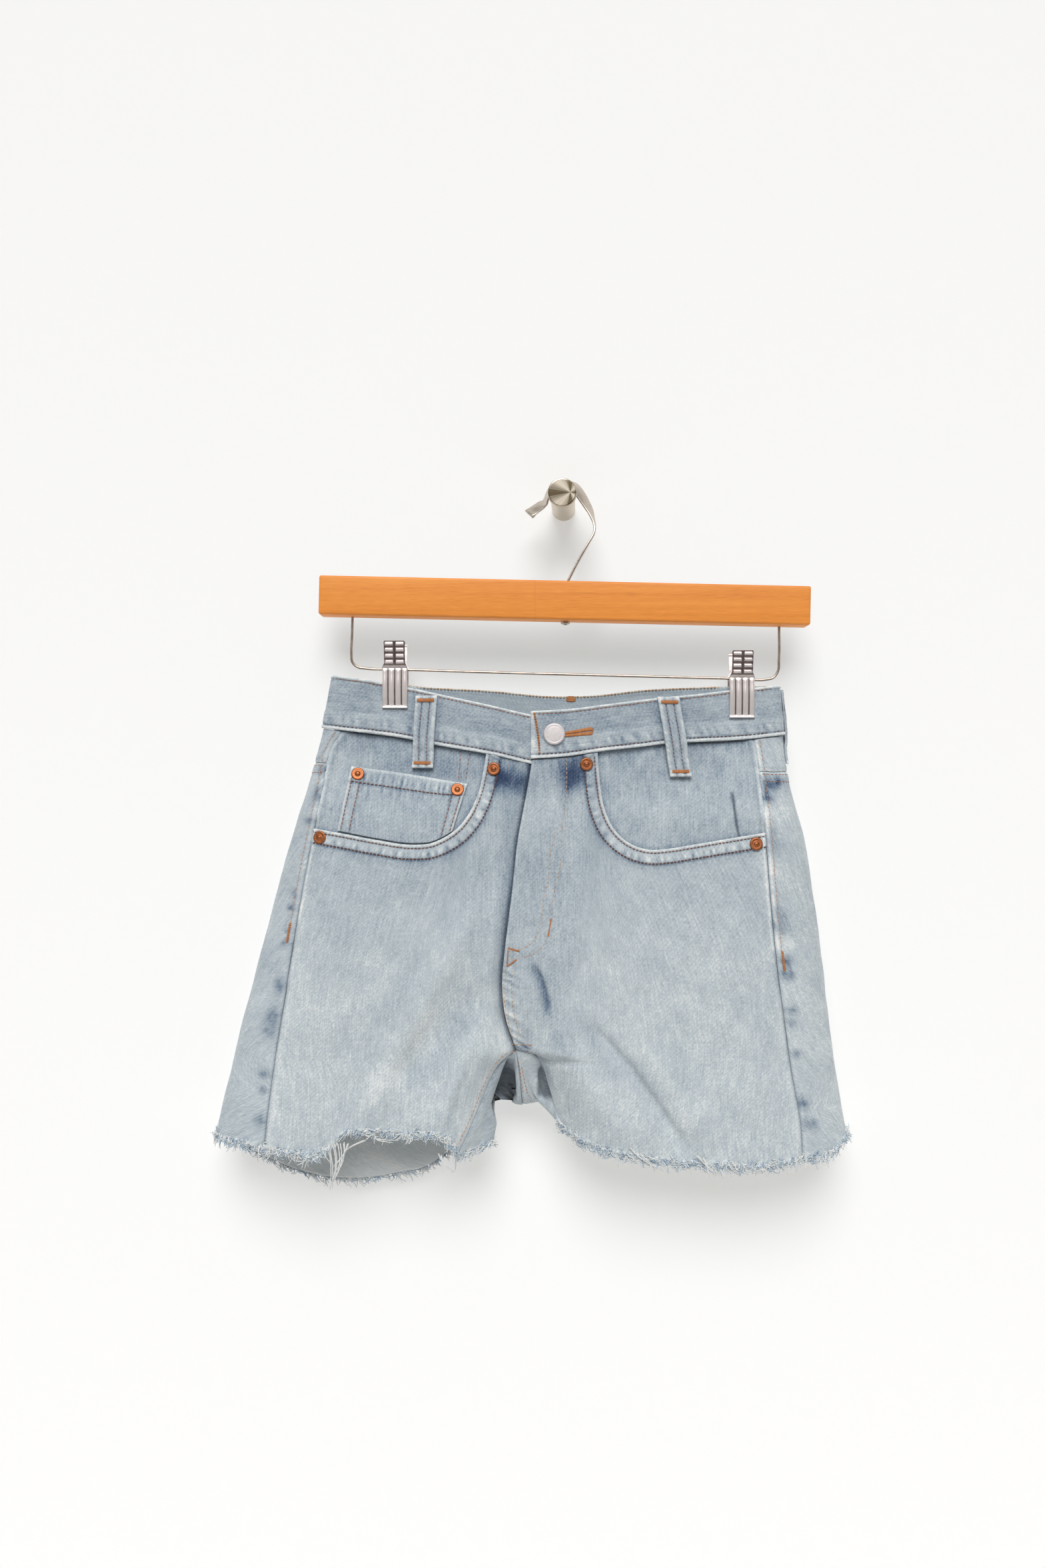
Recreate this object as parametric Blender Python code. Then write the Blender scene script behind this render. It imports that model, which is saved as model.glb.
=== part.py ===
"""Denim cut-off shorts, clipped to a wooden hanger that hangs from a round wall peg.

Frame: +Z up, the front faces -Y, +X is to the right of someone who looks at the front.
The origin is the centre of the peg's back, on the wall. "right" and "left" are the wearer's,
so the right leg is at -X. All sizes are in millimetres until solid() scales them to metres.

The cloth is made from two height fields, the front and the back of the hanging garment, which
meet round the side folds. Every sewn piece is a patch of them, moved out by its layer.
"""

import math
import random

import bmesh
import bpy
import numpy as np

MM = 0.001
GAP = 0.3  # clearance between neighbouring pieces
CLOTH = 1.2  # thickness of one layer of denim
BAND_OUT = 1.4  # the waistband's faces, out of and behind the panels' outer face
BAND_IN = -1.4
Y_MID = -40.0  # the plane of the hanger, between the front and the back
RIGHT, LEFT = "right", "left"

# ---------------------------------------------------------------- sizes of the garment
# Both side folds and side seams, from the waistband's top to the hem.
SIDE_COLUMNS = ("z", "fold_x", "seam_x")
SIDES = {
    RIGHT: (
        (-134, -176.0, -160.0),
        (-174, -183.0, -167.0),
        (-190, -187.0, -176.5),
        (-214, -193.7, -181.0),
        (-254, -206.0, -188.5),
        (-303, -219.5, -197.5),
        (-342, -230.5, -204.0),
        (-380, -240.0, -209.5),
        (-422, -250.7, -216.0),
        (-465, -261.0, -221.0),
        (-500, -268.5, -224.0),
    ),
    LEFT: (
        (-134, 161.0, 139.0),
        (-178, 164.5, 141.8),
        (-199, 166.6, 144.5),
        (-225, 172.1, 145.8),
        (-261, 181.5, 148.4),
        (-307, 188.6, 151.7),
        (-355, 194.8, 156.3),
        (-394, 199.4, 161.5),
        (-433, 204.9, 167.0),
        (-462, 209.7, 172.0),
        (-500, 217.0, 174.2),
    ),
}
# The fly's edge and, below it, the front seam down to the fork.
FLY_COLUMNS = ("z", "x")
FLY = (
    (-150, -24.0),
    (-198, -25.5),
    (-222, -29.5),
    (-259, -36.4),
    (-301, -41.0),
    (-345, -46.3),
    (-360, -47.6),
    (-392, -44.6),
    (-415, -37.0),
)
FORK = (-37.0, -415.0)  # x and z of the point where the four leg seams meet
# The inner edge of each leg as seen from the front, below the fork.
INNER_COLUMNS = ("z", "x")
INNER = {
    RIGHT: ((-415, -37.0), (-424, -43.0), (-443, -49.0), (-460, -53.0), (-480, -56.0), (-496, -61.0)),
    LEFT: (
        (-415, -37.0), (-418, -22.0), (-428, -16.5), (-442, -12.0), (-458, -7.5), (-474, -3.5),
        (-496, -1.0),
    ),
}
# The inseams, on the front height field.
INSEAM = {
    RIGHT: (
        (-37.0, -415.0), (-50.0, -427.0), (-56.5, -439.0), (-65.5, -461.0), (-74.0, -479.0),
        (-80.0, -492.0),
    ),
    LEFT: (
        (-37.0, -415.0), (-23.5, -418.5), (-18.0, -428.0), (-13.5, -442.0), (-9.0, -458.0),
        (-5.5, -471.5),
    ),
}
# The seam from the back waist down, under the fork and up to it, as x, y, z.
SEAT_SEAM_LOW = ((-31.0, -16.5, -440.0), (-31.5, -23.0, -455.0), (-32.0, -33.5, -461.0),
                 (-33.0, -43.0, -452.0), (-34.5, -50.5, -434.0))
SEAT_SEAM_X = ((-140, 1.0), (-187, 0.0), (-250, -8.0), (-350, -22.0), (-436, -31.0), (-470, -33.0))
# Waistband edges and the hems' cloth edges, as x and z.
BAND_TOP_FRONT = {
    RIGHT: ((-176, -134.2), (-144, -138.6), (-119, -143.1), (-94, -148.6), (-54, -157.5), (-26, -164.0),
            (16, -168.0)),
    LEFT: ((-30, -161.8), (6, -159.6), (33, -156.1), (68, -151.6), (101, -148.1), (124, -145.1),
           (161.4, -141.6)),
}
BAND_LOW_FRONT = {
    RIGHT: ((-184, -174.0), (-168, -176.0), (-118, -182.4), (-97, -187.0), (-54, -195.0), (-26, -201.6),
            (16, -205.0)),
    LEFT: ((-30, -198.2), (5, -195.5), (21, -192.9), (55, -189.0), (75, -186.4), (94, -185.3),
           (142, -182.3), (164.6, -179.5)),
}
BAND_TOP_BACK = ((-176, -134.2), (-116, -142.0), (-55, -145.1), (-11, -149.0), (23, -148.4), (58, -144.6),
                 (109, -142.5), (161.4, -141.6))
BAND_LOW_BACK = ((-184, -174.0), (-116, -180.0), (-55, -184.0), (0, -187.0), (58, -184.5), (109, -182.0),
                 (164.6, -179.5))
HEM_FRONT = {
    RIGHT: ((-268, -480), (-229, -483), (-203, -487), (-180, -487.5), (-172, -482), (-167, -475.5),
            (-152, -472), (-118, -474), (-95, -475), (-87, -479), (-80, -492)),
    LEFT: ((-5.5, -471.5), (2, -477), (21, -484), (49, -490), (80, -494.5), (116, -497), (140, -497.5),
           (160, -495), (174, -492), (197, -490), (218, -479)),
}
HEM_BACK = {
    RIGHT: (
        (-268, -480), (-258, -488), (-232, -505), (-196, -518), (-150, -520.5), (-124, -516),
        (-112, -514),
    ),
    LEFT: ((218, -479), (206, -482), (160, -486), (100, -488), (45, -482)),
}
HEM_FRONT_FOLD = {RIGHT: -268.0, LEFT: 218.0}
SIDE_TOP_Z = {RIGHT: -174.0, LEFT: -179.5}  # where the waist seam crosses the side folds
# Pocket mouths: the front panels' curved edges, from the waistband to the side seam.
POCKET = {
    RIGHT: (
        (-59.5, -196.0), (-63.2, -214.6), (-67.2, -227.7), (-73.2, -239.8), (-81.3, -249.6),
        (-91.3, -256.4),
            (-101.4, -260.4), (-111.4, -261.2), (-141.6, -257.4), (-167.8, -252.4), (-188.3, -249.0)),
    LEFT: ((23.6, -193.4), (25.4, -214.6), (28.3, -233.4), (35.1, -248.9), (46.5, -259.6), (61.7, -264.6),
           (74.1, -264.0), (93.1, -261.0), (118.3, -256.8), (148.0, -252.0)),
}
# How far the front and the back stand out from Y_MID, and how wide the side folds round off.
DEPTH_COLUMNS = ("z", "front", "back", "fold_width", "fork_share")
DEPTH = (
    (-134, 9.0, 8.0, 8.0, 0.0),
    (-175, 10.0, 9.0, 9.0, 0.0),
    (-200, 14.0, 13.0, 17.0, 0.0),
    (-240, 21.0, 18.0, 34.0, 0.0),
    (-300, 26.0, 23.0, 52.0, 0.02),
    (-350, 28.0, 25.0, 58.0, 0.10),
    (-390, 29.0, 26.0, 60.0, 0.27),
    (-415, 29.0, 26.0, 60.0, 0.45),
    (-445, 30.0, 25.0, 58.0, 0.80),
    (-470, 31.0, 24.0, 56.0, 0.86),
    (-530, 32.0, 23.0, 56.0, 0.88),
)
INNER_ROUND = 42.0  # width over which a leg's front rounds off to its inner edge
CLIP_X = {RIGHT: -128.7, LEFT: 133.2}  # middles of the two hanger clips
CLIP_FLAT = 14.5  # half the width that a clip presses flat
CLIPPED_DEPTH = 2.2  # the layers' distance from Y_MID where a clip holds them
BOW = {"front": 14.0, "back": 10.0}  # how far the band bows out between the clips
SIDE_LOOP = 3.8  # how far it opens again outside them
BAND_FADE = (-172.0, -246.0)  # from the band's plan shape to the body's
# Soft folds: a line from one point to another, its half width and its height (below 0: a trough).
FOLD_COLUMNS = ("x0", "z0", "x1", "z1", "width", "height")
FRONT_FOLDS = (
    (-59, -296, -152, -468, 15, 4.5),
    (-62, -366, -128, -440, 13, -4.5),
    (-60, -404, -102, -474, 13, 3.5),
    (-205, -300, -226, -470, 12, -1.6),
    (-172, -290, -184, -480, 15, 1.8),
    (-60, -215, -50, -300, 12, -3.0),
    (-8, -408, 50, -480, 14, 4.5),
    (20, -396, 90, -488, 6, -4.0),
    (48, -398, 108, -478, 16, 3.0),
    (-24, -354, -15, -383, 3, -2.4),
    (120, -300, 146, -470, 14, 1.6),
    (-10, -300, -6, -350, 16, 2.0),
)
BACK_FOLDS = (
    (-52, -428, -140, -400, 10, 3.5),
    (-60, -446, -190, -442, 12, -3.0),
    (-4, -424, 84, -404, 10, 3.0),
    (8, -444, 140, -446, 12, -3.0),
    (-150, -300, -178, -500, 16, 3.0),
    (110, -310, 132, -480, 16, 3.0),
    (-216, -330, -238, -480, 12, -2.0),
    (182, -330, 192, -480, 12, -2.0),
)
# Creases that run up beside the seat seam, under the fork, in the columns of the folds.
HOLLOWS = {
    RIGHT: ((-41.5, -422, -46.0, -462, 5.5, 7),),
    LEFT: ((-17.0, -430, -8.5, -460, 2.6, 6),),
}
# Back panels: the point inside which a row leaves the back's height field, and the rows' stations.
BACK_INNER_X = {RIGHT: -112.0, LEFT: 45.0}
SEAT_V = {RIGHT: (0.72, 0.88), LEFT: (0.74, 0.90)}  # where rows start to turn under, and the fork's row
YOKE_V = {"centre": 0.185, "side": 0.078}
# The inner thigh's corner and the back's inner point of the rows at the fork and at the hem.
THIGH = {
    RIGHT: {"fork": ((-50.0, -37.0, -460.0), (-74.0, -22.0, -478.0)),
            "hem": ((-54.0, -41.0, -486.0), (-78.0, -25.0, -492.0))},
    LEFT: {"fork": ((-13.5, -37.0, -463.0), (10.0, -22.0, -468.0)),
           "hem": ((-4.5, -36.0, -476.0), (16.0, -22.0, -480.0))},
}

# ---------------------------------------------------------------- curves and fields


def smooth(points):
    """A smooth function through (station, value) pairs, held level outside them."""
    data = np.array(sorted(points), float)
    at, value = data[:, 0], data[:, 1]
    slope = np.gradient(value, at)

    def read(x):
        x = np.clip(np.asarray(x, float), at[0], at[-1])
        i = np.clip(np.searchsorted(at, x) - 1, 0, len(at) - 2)
        h = at[i + 1] - at[i]
        t = (x - at[i]) / h
        return (
            (2 * t**3 - 3 * t**2 + 1) * value[i]
            + (t**3 - 2 * t**2 + t) * h * slope[i]
            + (3 * t**2 - 2 * t**3) * value[i + 1]
            + (t**3 - t**2) * h * slope[i + 1]
        )

    return read


def column(table, columns, name, by="z"):
    """One column of a table as a smooth function of another."""
    a, b = columns.index(by), columns.index(name)
    return smooth([(row[a], row[b]) for row in table])


def path(points):
    """A smooth curve through points, as a function of 0..1 along its length."""
    pts = np.array(points, float)
    along = np.concatenate([[0], np.cumsum(np.linalg.norm(np.diff(pts, axis=0), axis=1))])
    reads = [smooth(list(zip(along, pts[:, k]))) for k in range(pts.shape[1])]
    return lambda t: np.stack([r(np.asarray(t, float) * along[-1]) for r in reads], -1)


def ease(x):
    """0 to 1 with level ends."""
    x = np.clip(x, 0, 1)
    return x * x * (3 - 2 * x)


def mix(a, b, t):
    return a + (b - a) * t


fold_x = {s: column(SIDES[s], SIDE_COLUMNS, "fold_x") for s in SIDES}
seam_x = {s: column(SIDES[s], SIDE_COLUMNS, "seam_x") for s in SIDES}
fly_x = column(FLY, FLY_COLUMNS, "x")
inner_x = {s: column(INNER[s], INNER_COLUMNS, "x") for s in INNER}
seat_x = smooth(SEAT_SEAM_X)
depth_of = {name: column(DEPTH, DEPTH_COLUMNS, name) for name in DEPTH_COLUMNS[1:]}
band_top_front = {s: smooth(BAND_TOP_FRONT[s]) for s in SIDES}
band_low_front = {s: smooth(BAND_LOW_FRONT[s]) for s in SIDES}
band_top_back, band_low_back = smooth(BAND_TOP_BACK), smooth(BAND_LOW_BACK)


def folds(table, x, z):
    """The summed height of the soft folds at x, z."""
    total = np.zeros(np.broadcast(x, z).shape)
    for x0, z0, x1, z1, width, height in table:
        dx, dz = x1 - x0, z1 - z0
        length = math.hypot(dx, dz)
        t = ((x - x0) * dx + (z - z0) * dz) / length**2
        across = ((x - x0) * dz - (z - z0) * dx) / length
        fade = ease((t + 0.15) / 0.35) * ease((1.15 - t) / 0.35)
        total = total + height * np.exp(-((across / width) ** 2)) * fade
    return total


def band_depth(x, bow):
    """The band's distance from Y_MID: bowed between the clips, looped open outside them."""
    middle = (CLIP_X[RIGHT] + CLIP_X[LEFT]) / 2
    half = (CLIP_X[LEFT] - CLIP_X[RIGHT]) / 2 - CLIP_FLAT
    from_middle = np.abs(x - middle)
    inside = bow * np.clip(1 - (from_middle / half) ** 2, 0, 1)
    outside = SIDE_LOOP * ease((from_middle - half - 2 * CLIP_FLAT) / 9)
    return CLIPPED_DEPTH + inside + outside


def side_round(x, z):
    """0 at the side folds, rising to 1 as a quarter ellipse."""
    width = depth_of["fold_width"](z)
    near = np.minimum(x - fold_x[RIGHT](z), fold_x[LEFT](z) - x)
    a = np.clip(near / width, 0, 1)
    return np.sqrt(np.clip(1 - (1 - a) ** 2, 0, 1))


def front_depth(x, z):
    """How far the front's outer face stands out of Y_MID, towards -Y."""
    below = ease((FORK[1] + 6 - z) / 12)
    centre = fly_x(z)
    edge = {s: mix(centre, inner_x[s](z), below) for s in INNER}
    near = np.where(x < centre, edge[RIGHT] - x, x - edge[LEFT])
    near = np.where(below > 0, np.maximum(edge[RIGHT] - x, x - edge[LEFT]), near)
    b = np.clip(near / INNER_ROUND, 0, 1)
    inner = 1 - depth_of["fork_share"](z) * (1 - b) ** 2.2
    body = depth_of["front"](z) * inner + folds(FRONT_FOLDS, x, z)
    band = band_depth(x, BOW["front"])
    return mix(band, body, ease((BAND_FADE[0] - z) / (BAND_FADE[0] - BAND_FADE[1]))) * side_round(x, z)


def back_depth(x, z):
    """How far the back's outer face stands out of Y_MID, towards +Y."""
    body = depth_of["back"](z) + folds(BACK_FOLDS, x, z)
    body = body - 2.5 * np.exp(-(((x - seat_x(z)) / 16) ** 2)) * ease((-230 - z) / 80)
    band = band_depth(x, BOW["back"])
    return mix(band, body, ease((BAND_FADE[0] - z) / (BAND_FADE[0] - BAND_FADE[1]))) * side_round(x, z)


def on_front(x, z):
    return np.stack([x, Y_MID - front_depth(x, z), z], -1)


def on_back(x, z):
    return np.stack([x, Y_MID + back_depth(x, z), z], -1)


def front_normal(x, z, step=1.5):
    """The front's outward normal, averaged over a small step so that seams share it."""
    dx = (front_depth(x + step, z) - front_depth(x - step, z)) / (2 * step)
    dz = (front_depth(x, z + step) - front_depth(x, z - step)) / (2 * step)
    n = np.stack([-dx, -np.ones_like(dx), -dz], -1)
    return n / np.linalg.norm(n, axis=-1, keepdims=True)


def back_normal(x, z, step=1.5):
    dx = (back_depth(x + step, z) - back_depth(x - step, z)) / (2 * step)
    dz = (back_depth(x, z + step) - back_depth(x, z - step)) / (2 * step)
    n = np.stack([-dx, np.ones_like(dx), -dz], -1)
    return n / np.linalg.norm(n, axis=-1, keepdims=True)


def inset(grid, gap=GAP / 2):
    """The grid with its border drawn in by gap, so that neighbours stay apart."""
    grid = grid.copy()
    for edge, within in (((0,), (1,)), ((-1,), (-2,)), ((slice(None), 0), (slice(None), 1)),
                         ((slice(None), -1), (slice(None), -2))):
        step = grid[within] - grid[edge]
        grid[edge] += gap * step / np.maximum(np.linalg.norm(step, axis=-1, keepdims=True), 1e-9)
    return grid


# ---------------------------------------------------------------- making solids


def material(name, colour, roughness, metallic=0.0):
    made = bpy.data.materials.get(name) or bpy.data.materials.new(name)
    made.use_nodes = True
    shader = made.node_tree.nodes["Principled BSDF"]
    shader.inputs["Base Color"].default_value = (*colour, 1)
    shader.inputs["Roughness"].default_value = roughness
    shader.inputs["Metallic"].default_value = metallic
    return made


DENIM = ("denim", (0.44, 0.52, 0.57), 0.9)
COPPER = ("copper", (0.50, 0.22, 0.10), 0.35, 1.0)
WHITE_METAL = ("button_metal", (0.80, 0.78, 0.76), 0.3, 1.0)
WOOD = ("beech", (0.80, 0.34, 0.09), 0.4)
STEEL = ("steel", (0.62, 0.58, 0.54), 0.25, 1.0)


def solid(name, verts, faces, finish, smooth_angle=40):
    """A named object from points in millimetres and faces, with its faces pointing out."""
    mesh = bpy.data.meshes.new(name)
    points = [tuple(v * MM) for v in np.asarray(verts, float)]
    mesh.from_pydata(points, [], [list(map(int, f)) for f in faces])
    shape = bmesh.new()
    shape.from_mesh(mesh)
    bmesh.ops.recalc_face_normals(shape, faces=shape.faces[:])
    shape.to_mesh(mesh)
    shape.free()
    mesh.shade_smooth()
    mesh.set_sharp_from_angle(angle=math.radians(smooth_angle))
    made = bpy.data.objects.new(name, mesh)
    made.data.materials.append(material(*finish))
    bpy.context.scene.collection.objects.link(made)
    return made


def sheet(name, points, normals, outer, inner, finish=DENIM):
    """A cloth wall over a grid of points: its faces stand at outer and inner along the normals."""
    rows, cols = points.shape[:2]
    outer, inner = np.broadcast_to(outer, (rows, cols)), np.broadcast_to(inner, (rows, cols))
    out = points + normals * outer[..., None]
    back = points + normals * inner[..., None]
    verts = np.concatenate([out.reshape(-1, 3), back.reshape(-1, 3)])
    number = np.arange(rows * cols).reshape(rows, cols)
    under = number + rows * cols
    faces = []
    for i in range(rows - 1):
        for j in range(cols - 1):
            quad = (number[i, j], number[i + 1, j], number[i + 1, j + 1], number[i, j + 1])
            faces.append(quad)
            faces.append([under[i, j], under[i, j + 1], under[i + 1, j + 1], under[i + 1, j]])
    border = (
        list(number[0, :]) + list(number[1:, -1]) + list(number[-1, -2::-1]) + list(number[-2:0:-1, 0])
    )
    for a, b in zip(border, border[1:] + border[:1]):
        faces.append([a, b, b + rows * cols, a + rows * cols])
    return solid(name, verts, faces, finish)


def turned(name, profile, centre, axis, sides, finish):
    """A solid of revolution: profile is (radius, height along axis) pairs, from the bottom's centre up."""
    axis = np.array(axis, float) / np.linalg.norm(axis)
    side = np.cross(axis, (0.0, 0.0, 1.0) if abs(axis[2]) < 0.9 else (1.0, 0.0, 0.0))
    side /= np.linalg.norm(side)
    other = np.cross(axis, side)
    verts, faces, rings = [], [], []
    for radius, height in profile:
        start = len(verts)
        if radius < 1e-6:
            verts.append(np.array(centre) + axis * height)
            rings.append([start] * sides)
            continue
        for k in range(sides):
            a = 2 * math.pi * k / sides
            turned = math.cos(a) * side + math.sin(a) * other
            verts.append(np.array(centre) + axis * height + radius * turned)
        rings.append(list(range(start, start + sides)))
    for low, high in zip(rings, rings[1:]):
        for k in range(sides):
            n = (k + 1) % sides
            face = list(dict.fromkeys([low[k], low[n], high[n], high[k]]))
            if len(face) > 2:
                faces.append(face)
    for ring, closed in ((rings[0], profile[0][0] > 1e-6), (rings[-1], profile[-1][0] > 1e-6)):
        if closed:
            faces.append(ring)
    return solid(name, verts, faces, finish)


def swept(name, line, section, across, finish):
    """A bar along a polyline: section gives (along across, along the line's normal) offsets per point."""
    line = np.array(line, float)
    tangent = np.gradient(line, axis=0)
    tangent /= np.linalg.norm(tangent, axis=1, keepdims=True)
    side = np.broadcast_to(np.array(across, float), line.shape)
    side = side - tangent * (side * tangent).sum(1, keepdims=True)
    side /= np.linalg.norm(side, axis=1, keepdims=True)
    up = np.cross(tangent, side)
    verts, faces = [], []
    count = len(section(0))
    for i, p in enumerate(line):
        for a, b in section(i / (len(line) - 1)):
            verts.append(p + side[i] * a + up[i] * b)
    for i in range(len(line) - 1):
        for k in range(count):
            n = (k + 1) % count
            faces.append([i * count + k, i * count + n, (i + 1) * count + n, (i + 1) * count + k])
    faces.append(list(range(count)))
    faces.append([(len(line) - 1) * count + k for k in range(count)][::-1])
    return solid(name, verts, faces, finish)


def circle(radius, sides):
    return [
        (radius * math.cos(2 * math.pi * k / sides), radius * math.sin(2 * math.pi * k / sides))
        for k in range(sides)
    ]


def rectangle(half_wide, half_high):
    return [
        (half_wide, half_high),
        (-half_wide, half_high),
        (-half_wide, -half_high),
        (half_wide, -half_high),
    ]


def rounded(half_wide, half_high, radius, steps=3):
    """A rectangle with rounded corners, centred on 0, 0."""
    corners = []
    for sx, sy, first in ((1, 1, 0), (-1, 1, 90), (-1, -1, 180), (1, -1, 270)):
        for k in range(steps + 1):
            a = math.radians(first + 90 * k / steps)
            corners.append((sx * (half_wide - radius) + radius * math.cos(a),
                            sy * (half_high - radius) + radius * math.sin(a)))
    return corners


# ---------------------------------------------------------------- front pieces

FACING_DROP = CLOTH + 1.0  # the hip pieces lie under the front's layer, which ends at the pocket's mouth
UNDERLAP = 5.0  # how far the right front runs under the fly's edge
LAP_DROP = CLOTH + GAP + 1.2
WAIST_SHARE, FORK_ROW = 0.222, 0.7  # the stations at which a front's outline turns a corner
FRONT_COLUMNS = np.concatenate([[0, 0.035, 0.085, 0.15], np.linspace(WAIST_SHARE, 1, 13)])
FRONT_ROWS = np.concatenate([np.linspace(0, FORK_ROW, 14), np.linspace(FORK_ROW, 1, 7)[1:]])


def inseam_normal(side, points):
    """The shared normal of the front and the back along the inseam, turning down at the fork."""
    x, z = points[..., 0], points[..., 2]
    inward = 1.0 if side == RIGHT else -1.0
    away = ease(np.hypot(x - FORK[0], z - FORK[1]) / 22)[..., None]
    turned_in = mix(np.array([0.0, 0.0, -1.0]), np.array([0.85 * inward, 0.45, -0.3]), away)
    n = front_normal(x, z) + turned_in
    return n / np.linalg.norm(n, axis=-1, keepdims=True)


def front_centre(side):
    """The front's inner edge, from the waist seam down the fly to the fork, then the inseam to the hem."""
    z_top = float(band_low_front[side](-25.5))
    inseam = path(INSEAM[side])

    def at(t):
        z = mix(z_top, FORK[1], np.minimum(t / FORK_ROW, 1))
        lap = (UNDERLAP * ease((z - FORK[1] - 28) / 30) - 0.3 if side == RIGHT else 0)
        upper = np.stack([fly_x(z) + lap, z], -1)
        lower = inseam(np.maximum((t - FORK_ROW) / (1 - FORK_ROW), 0))
        return np.where((t <= FORK_ROW)[:, None], upper, lower)

    return at


def mouth(side):
    """The pocket's mouth, from the waist seam to the side seam."""
    points = np.array(POCKET[side], float)
    points[0, 1] = band_low_front[side](points[0, 0])
    points[-1, 0] = seam_x[side](points[-1, 1])
    return path(points)


def front_top(side):
    """The front's upper edge: the waist seam as far as the pocket, then the pocket's mouth."""
    start = front_centre(side)(np.zeros(1))[0, 0]
    lip = mouth(side)

    def at(t):
        x = mix(start, lip(0)[0], np.minimum(t / WAIST_SHARE, 1))
        waist = np.stack([x, band_low_front[side](x)], -1)
        edge = lip(np.maximum((t - WAIST_SHARE) / (1 - WAIST_SHARE), 0))
        return np.where((t <= WAIST_SHARE)[:, None], waist, edge)

    return at


def hem_front(side):
    """The front hem's cloth edge from the inseam to the side seam."""
    read = smooth(HEM_FRONT[side])
    x_out = float(seam_x[side](read(seam_x[side](-488))))

    def at(t):
        x = mix(INSEAM[side][-1][0], x_out, np.asarray(t, float))
        return np.stack([x, read(x)], -1)

    return at


def side_seam(side, z0, z1):
    return lambda t: np.stack([seam_x[side](mix(z0, z1, t)), mix(z0, z1, t)], -1)


def lap_drop(side, x, z):
    """How far the right front dips to pass under the fly's edge."""
    if side == LEFT:
        return np.zeros_like(x)
    return LAP_DROP * ease((x - fly_x(z) + 9) / 8) * ease((z - FORK[1] - 14) / 12)


def coons(top, bottom, start, end, columns, rows):
    """A grid over four edges, each a function of 0..1: top and bottom run from start to end."""
    u, v = columns[None, :, None], rows[:, None, None]
    t, b = top(columns)[None], bottom(columns)[None]
    s, e = start(rows)[:, None], end(rows)[:, None]
    corners = mix(mix(t[:, :1], t[:, -1:], u), mix(b[:, :1], b[:, -1:], u), v)
    return mix(t, b, v) + mix(s, e, u) - corners


def front_grid(side, columns=FRONT_COLUMNS, rows=FRONT_ROWS):
    """Points, normals and the dip of a front's outer face."""
    outer = side_seam(side, POCKET[side][-1][1], float(hem_front(side)(1)[1]))
    grid = coons(front_top(side), hem_front(side), front_centre(side), outer, columns, rows)
    points = on_front(grid[..., 0], grid[..., 1])
    normals = front_normal(points[..., 0], points[..., 2])
    below = rows >= FORK_ROW
    normals[below, 0] = inseam_normal(side, points[below, 0])
    return points, normals, lap_drop(side, points[..., 0], points[..., 2])


def front_panel(side):
    points, normals, drop = front_grid(side)
    return sheet(f"front_{side}", inset(points), normals, -drop, -drop - CLOTH)


def pocket_facing(side):
    """The hip piece that shows in the pocket's mouth and runs on under the front panel."""
    t = np.linspace(0, 1, 15)
    inward = 1 if side == RIGHT else -1
    near = mouth(side)(t) + np.stack([8 * inward * (1 - t) ** 0.5, -9 * np.minimum(1, 1.6 * t)], -1)
    near[0, 1] = band_low_front[side](near[0, 0])
    near[-1, 0] = seam_x[side](near[-1, 1])
    z_top = SIDE_TOP_Z[side] - 2.2
    x_far = float(seam_x[side](z_top))
    along_waist = np.linspace(near[0, 0], x_far, 8)
    down_seam = np.linspace(float(band_low_front[side](x_far)), near[-1, 1], 8)[1:]
    far = np.concatenate([
        np.stack([along_waist, band_low_front[side](along_waist)], -1),
        np.stack([seam_x[side](down_seam), down_seam], -1),
    ])
    grid = mix(near[None], far[None], np.array([0, 0.16, 0.33, 0.5, 0.67, 0.84, 1])[:, None, None])
    x, z = grid[..., 0], grid[..., 1]
    return sheet(f"pocket_facing_{side}", inset(on_front(x, z), 0.4), front_normal(x, z),
                 -FACING_DROP, -FACING_DROP - CLOTH)


COIN_TOP = ((-161.0, -202.6), (-117.0, -208.6), (-73.6, -216.0))
COIN_FOOT_X = (-169.8, -84.3)
COIN_LEVEL = CLOTH + GAP + 0.4 - FACING_DROP


def coin_pocket():
    """The small pocket on the right hip piece, down to the pocket's mouth."""
    lip = mouth(RIGHT)(np.linspace(0, 1, 90))
    share = np.array([0, 0.07, 0.14, 0.25, 0.4, 0.6, 0.8, 0.93, 1])
    foot_x = mix(*COIN_FOOT_X, share)
    foot = np.stack([foot_x, np.interp(foot_x, lip[::-1, 0], lip[::-1, 1]) + 1.3], -1)
    top = path(COIN_TOP)(share)
    grid = mix(top[None], foot[None], np.linspace(0, 1, 5)[:, None, None])
    x, z = grid[..., 0], grid[..., 1]
    return sheet("coin_pocket", on_front(x, z), front_normal(x, z), COIN_LEVEL, COIN_LEVEL - CLOTH)


# ---------------------------------------------------------------- back pieces

BACK_COLUMNS = np.concatenate([np.linspace(0, 0.11, 8), np.linspace(0.11, 0.24, 4)[1:],
                               np.linspace(0.24, 0.72, 7)[1:], np.linspace(0.72, 1, 9)[1:]])


def seat_curve():
    """The seat seam from the back waist down, under the fork and up to it."""
    zs = np.linspace(float(band_low_back(0)), -425, 16)
    fork = on_front(np.array(FORK[0]), np.array(FORK[1]))
    return path(np.concatenate([on_back(seat_x(zs), zs), np.array(SEAT_SEAM_LOW), fork[None]]))


SEAT = seat_curve()
SEAT_LINE = SEAT(np.linspace(0, 1, 400))
SEAT_LENGTH = float(np.linalg.norm(np.diff(SEAT_LINE, axis=0), axis=1).sum())


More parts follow.
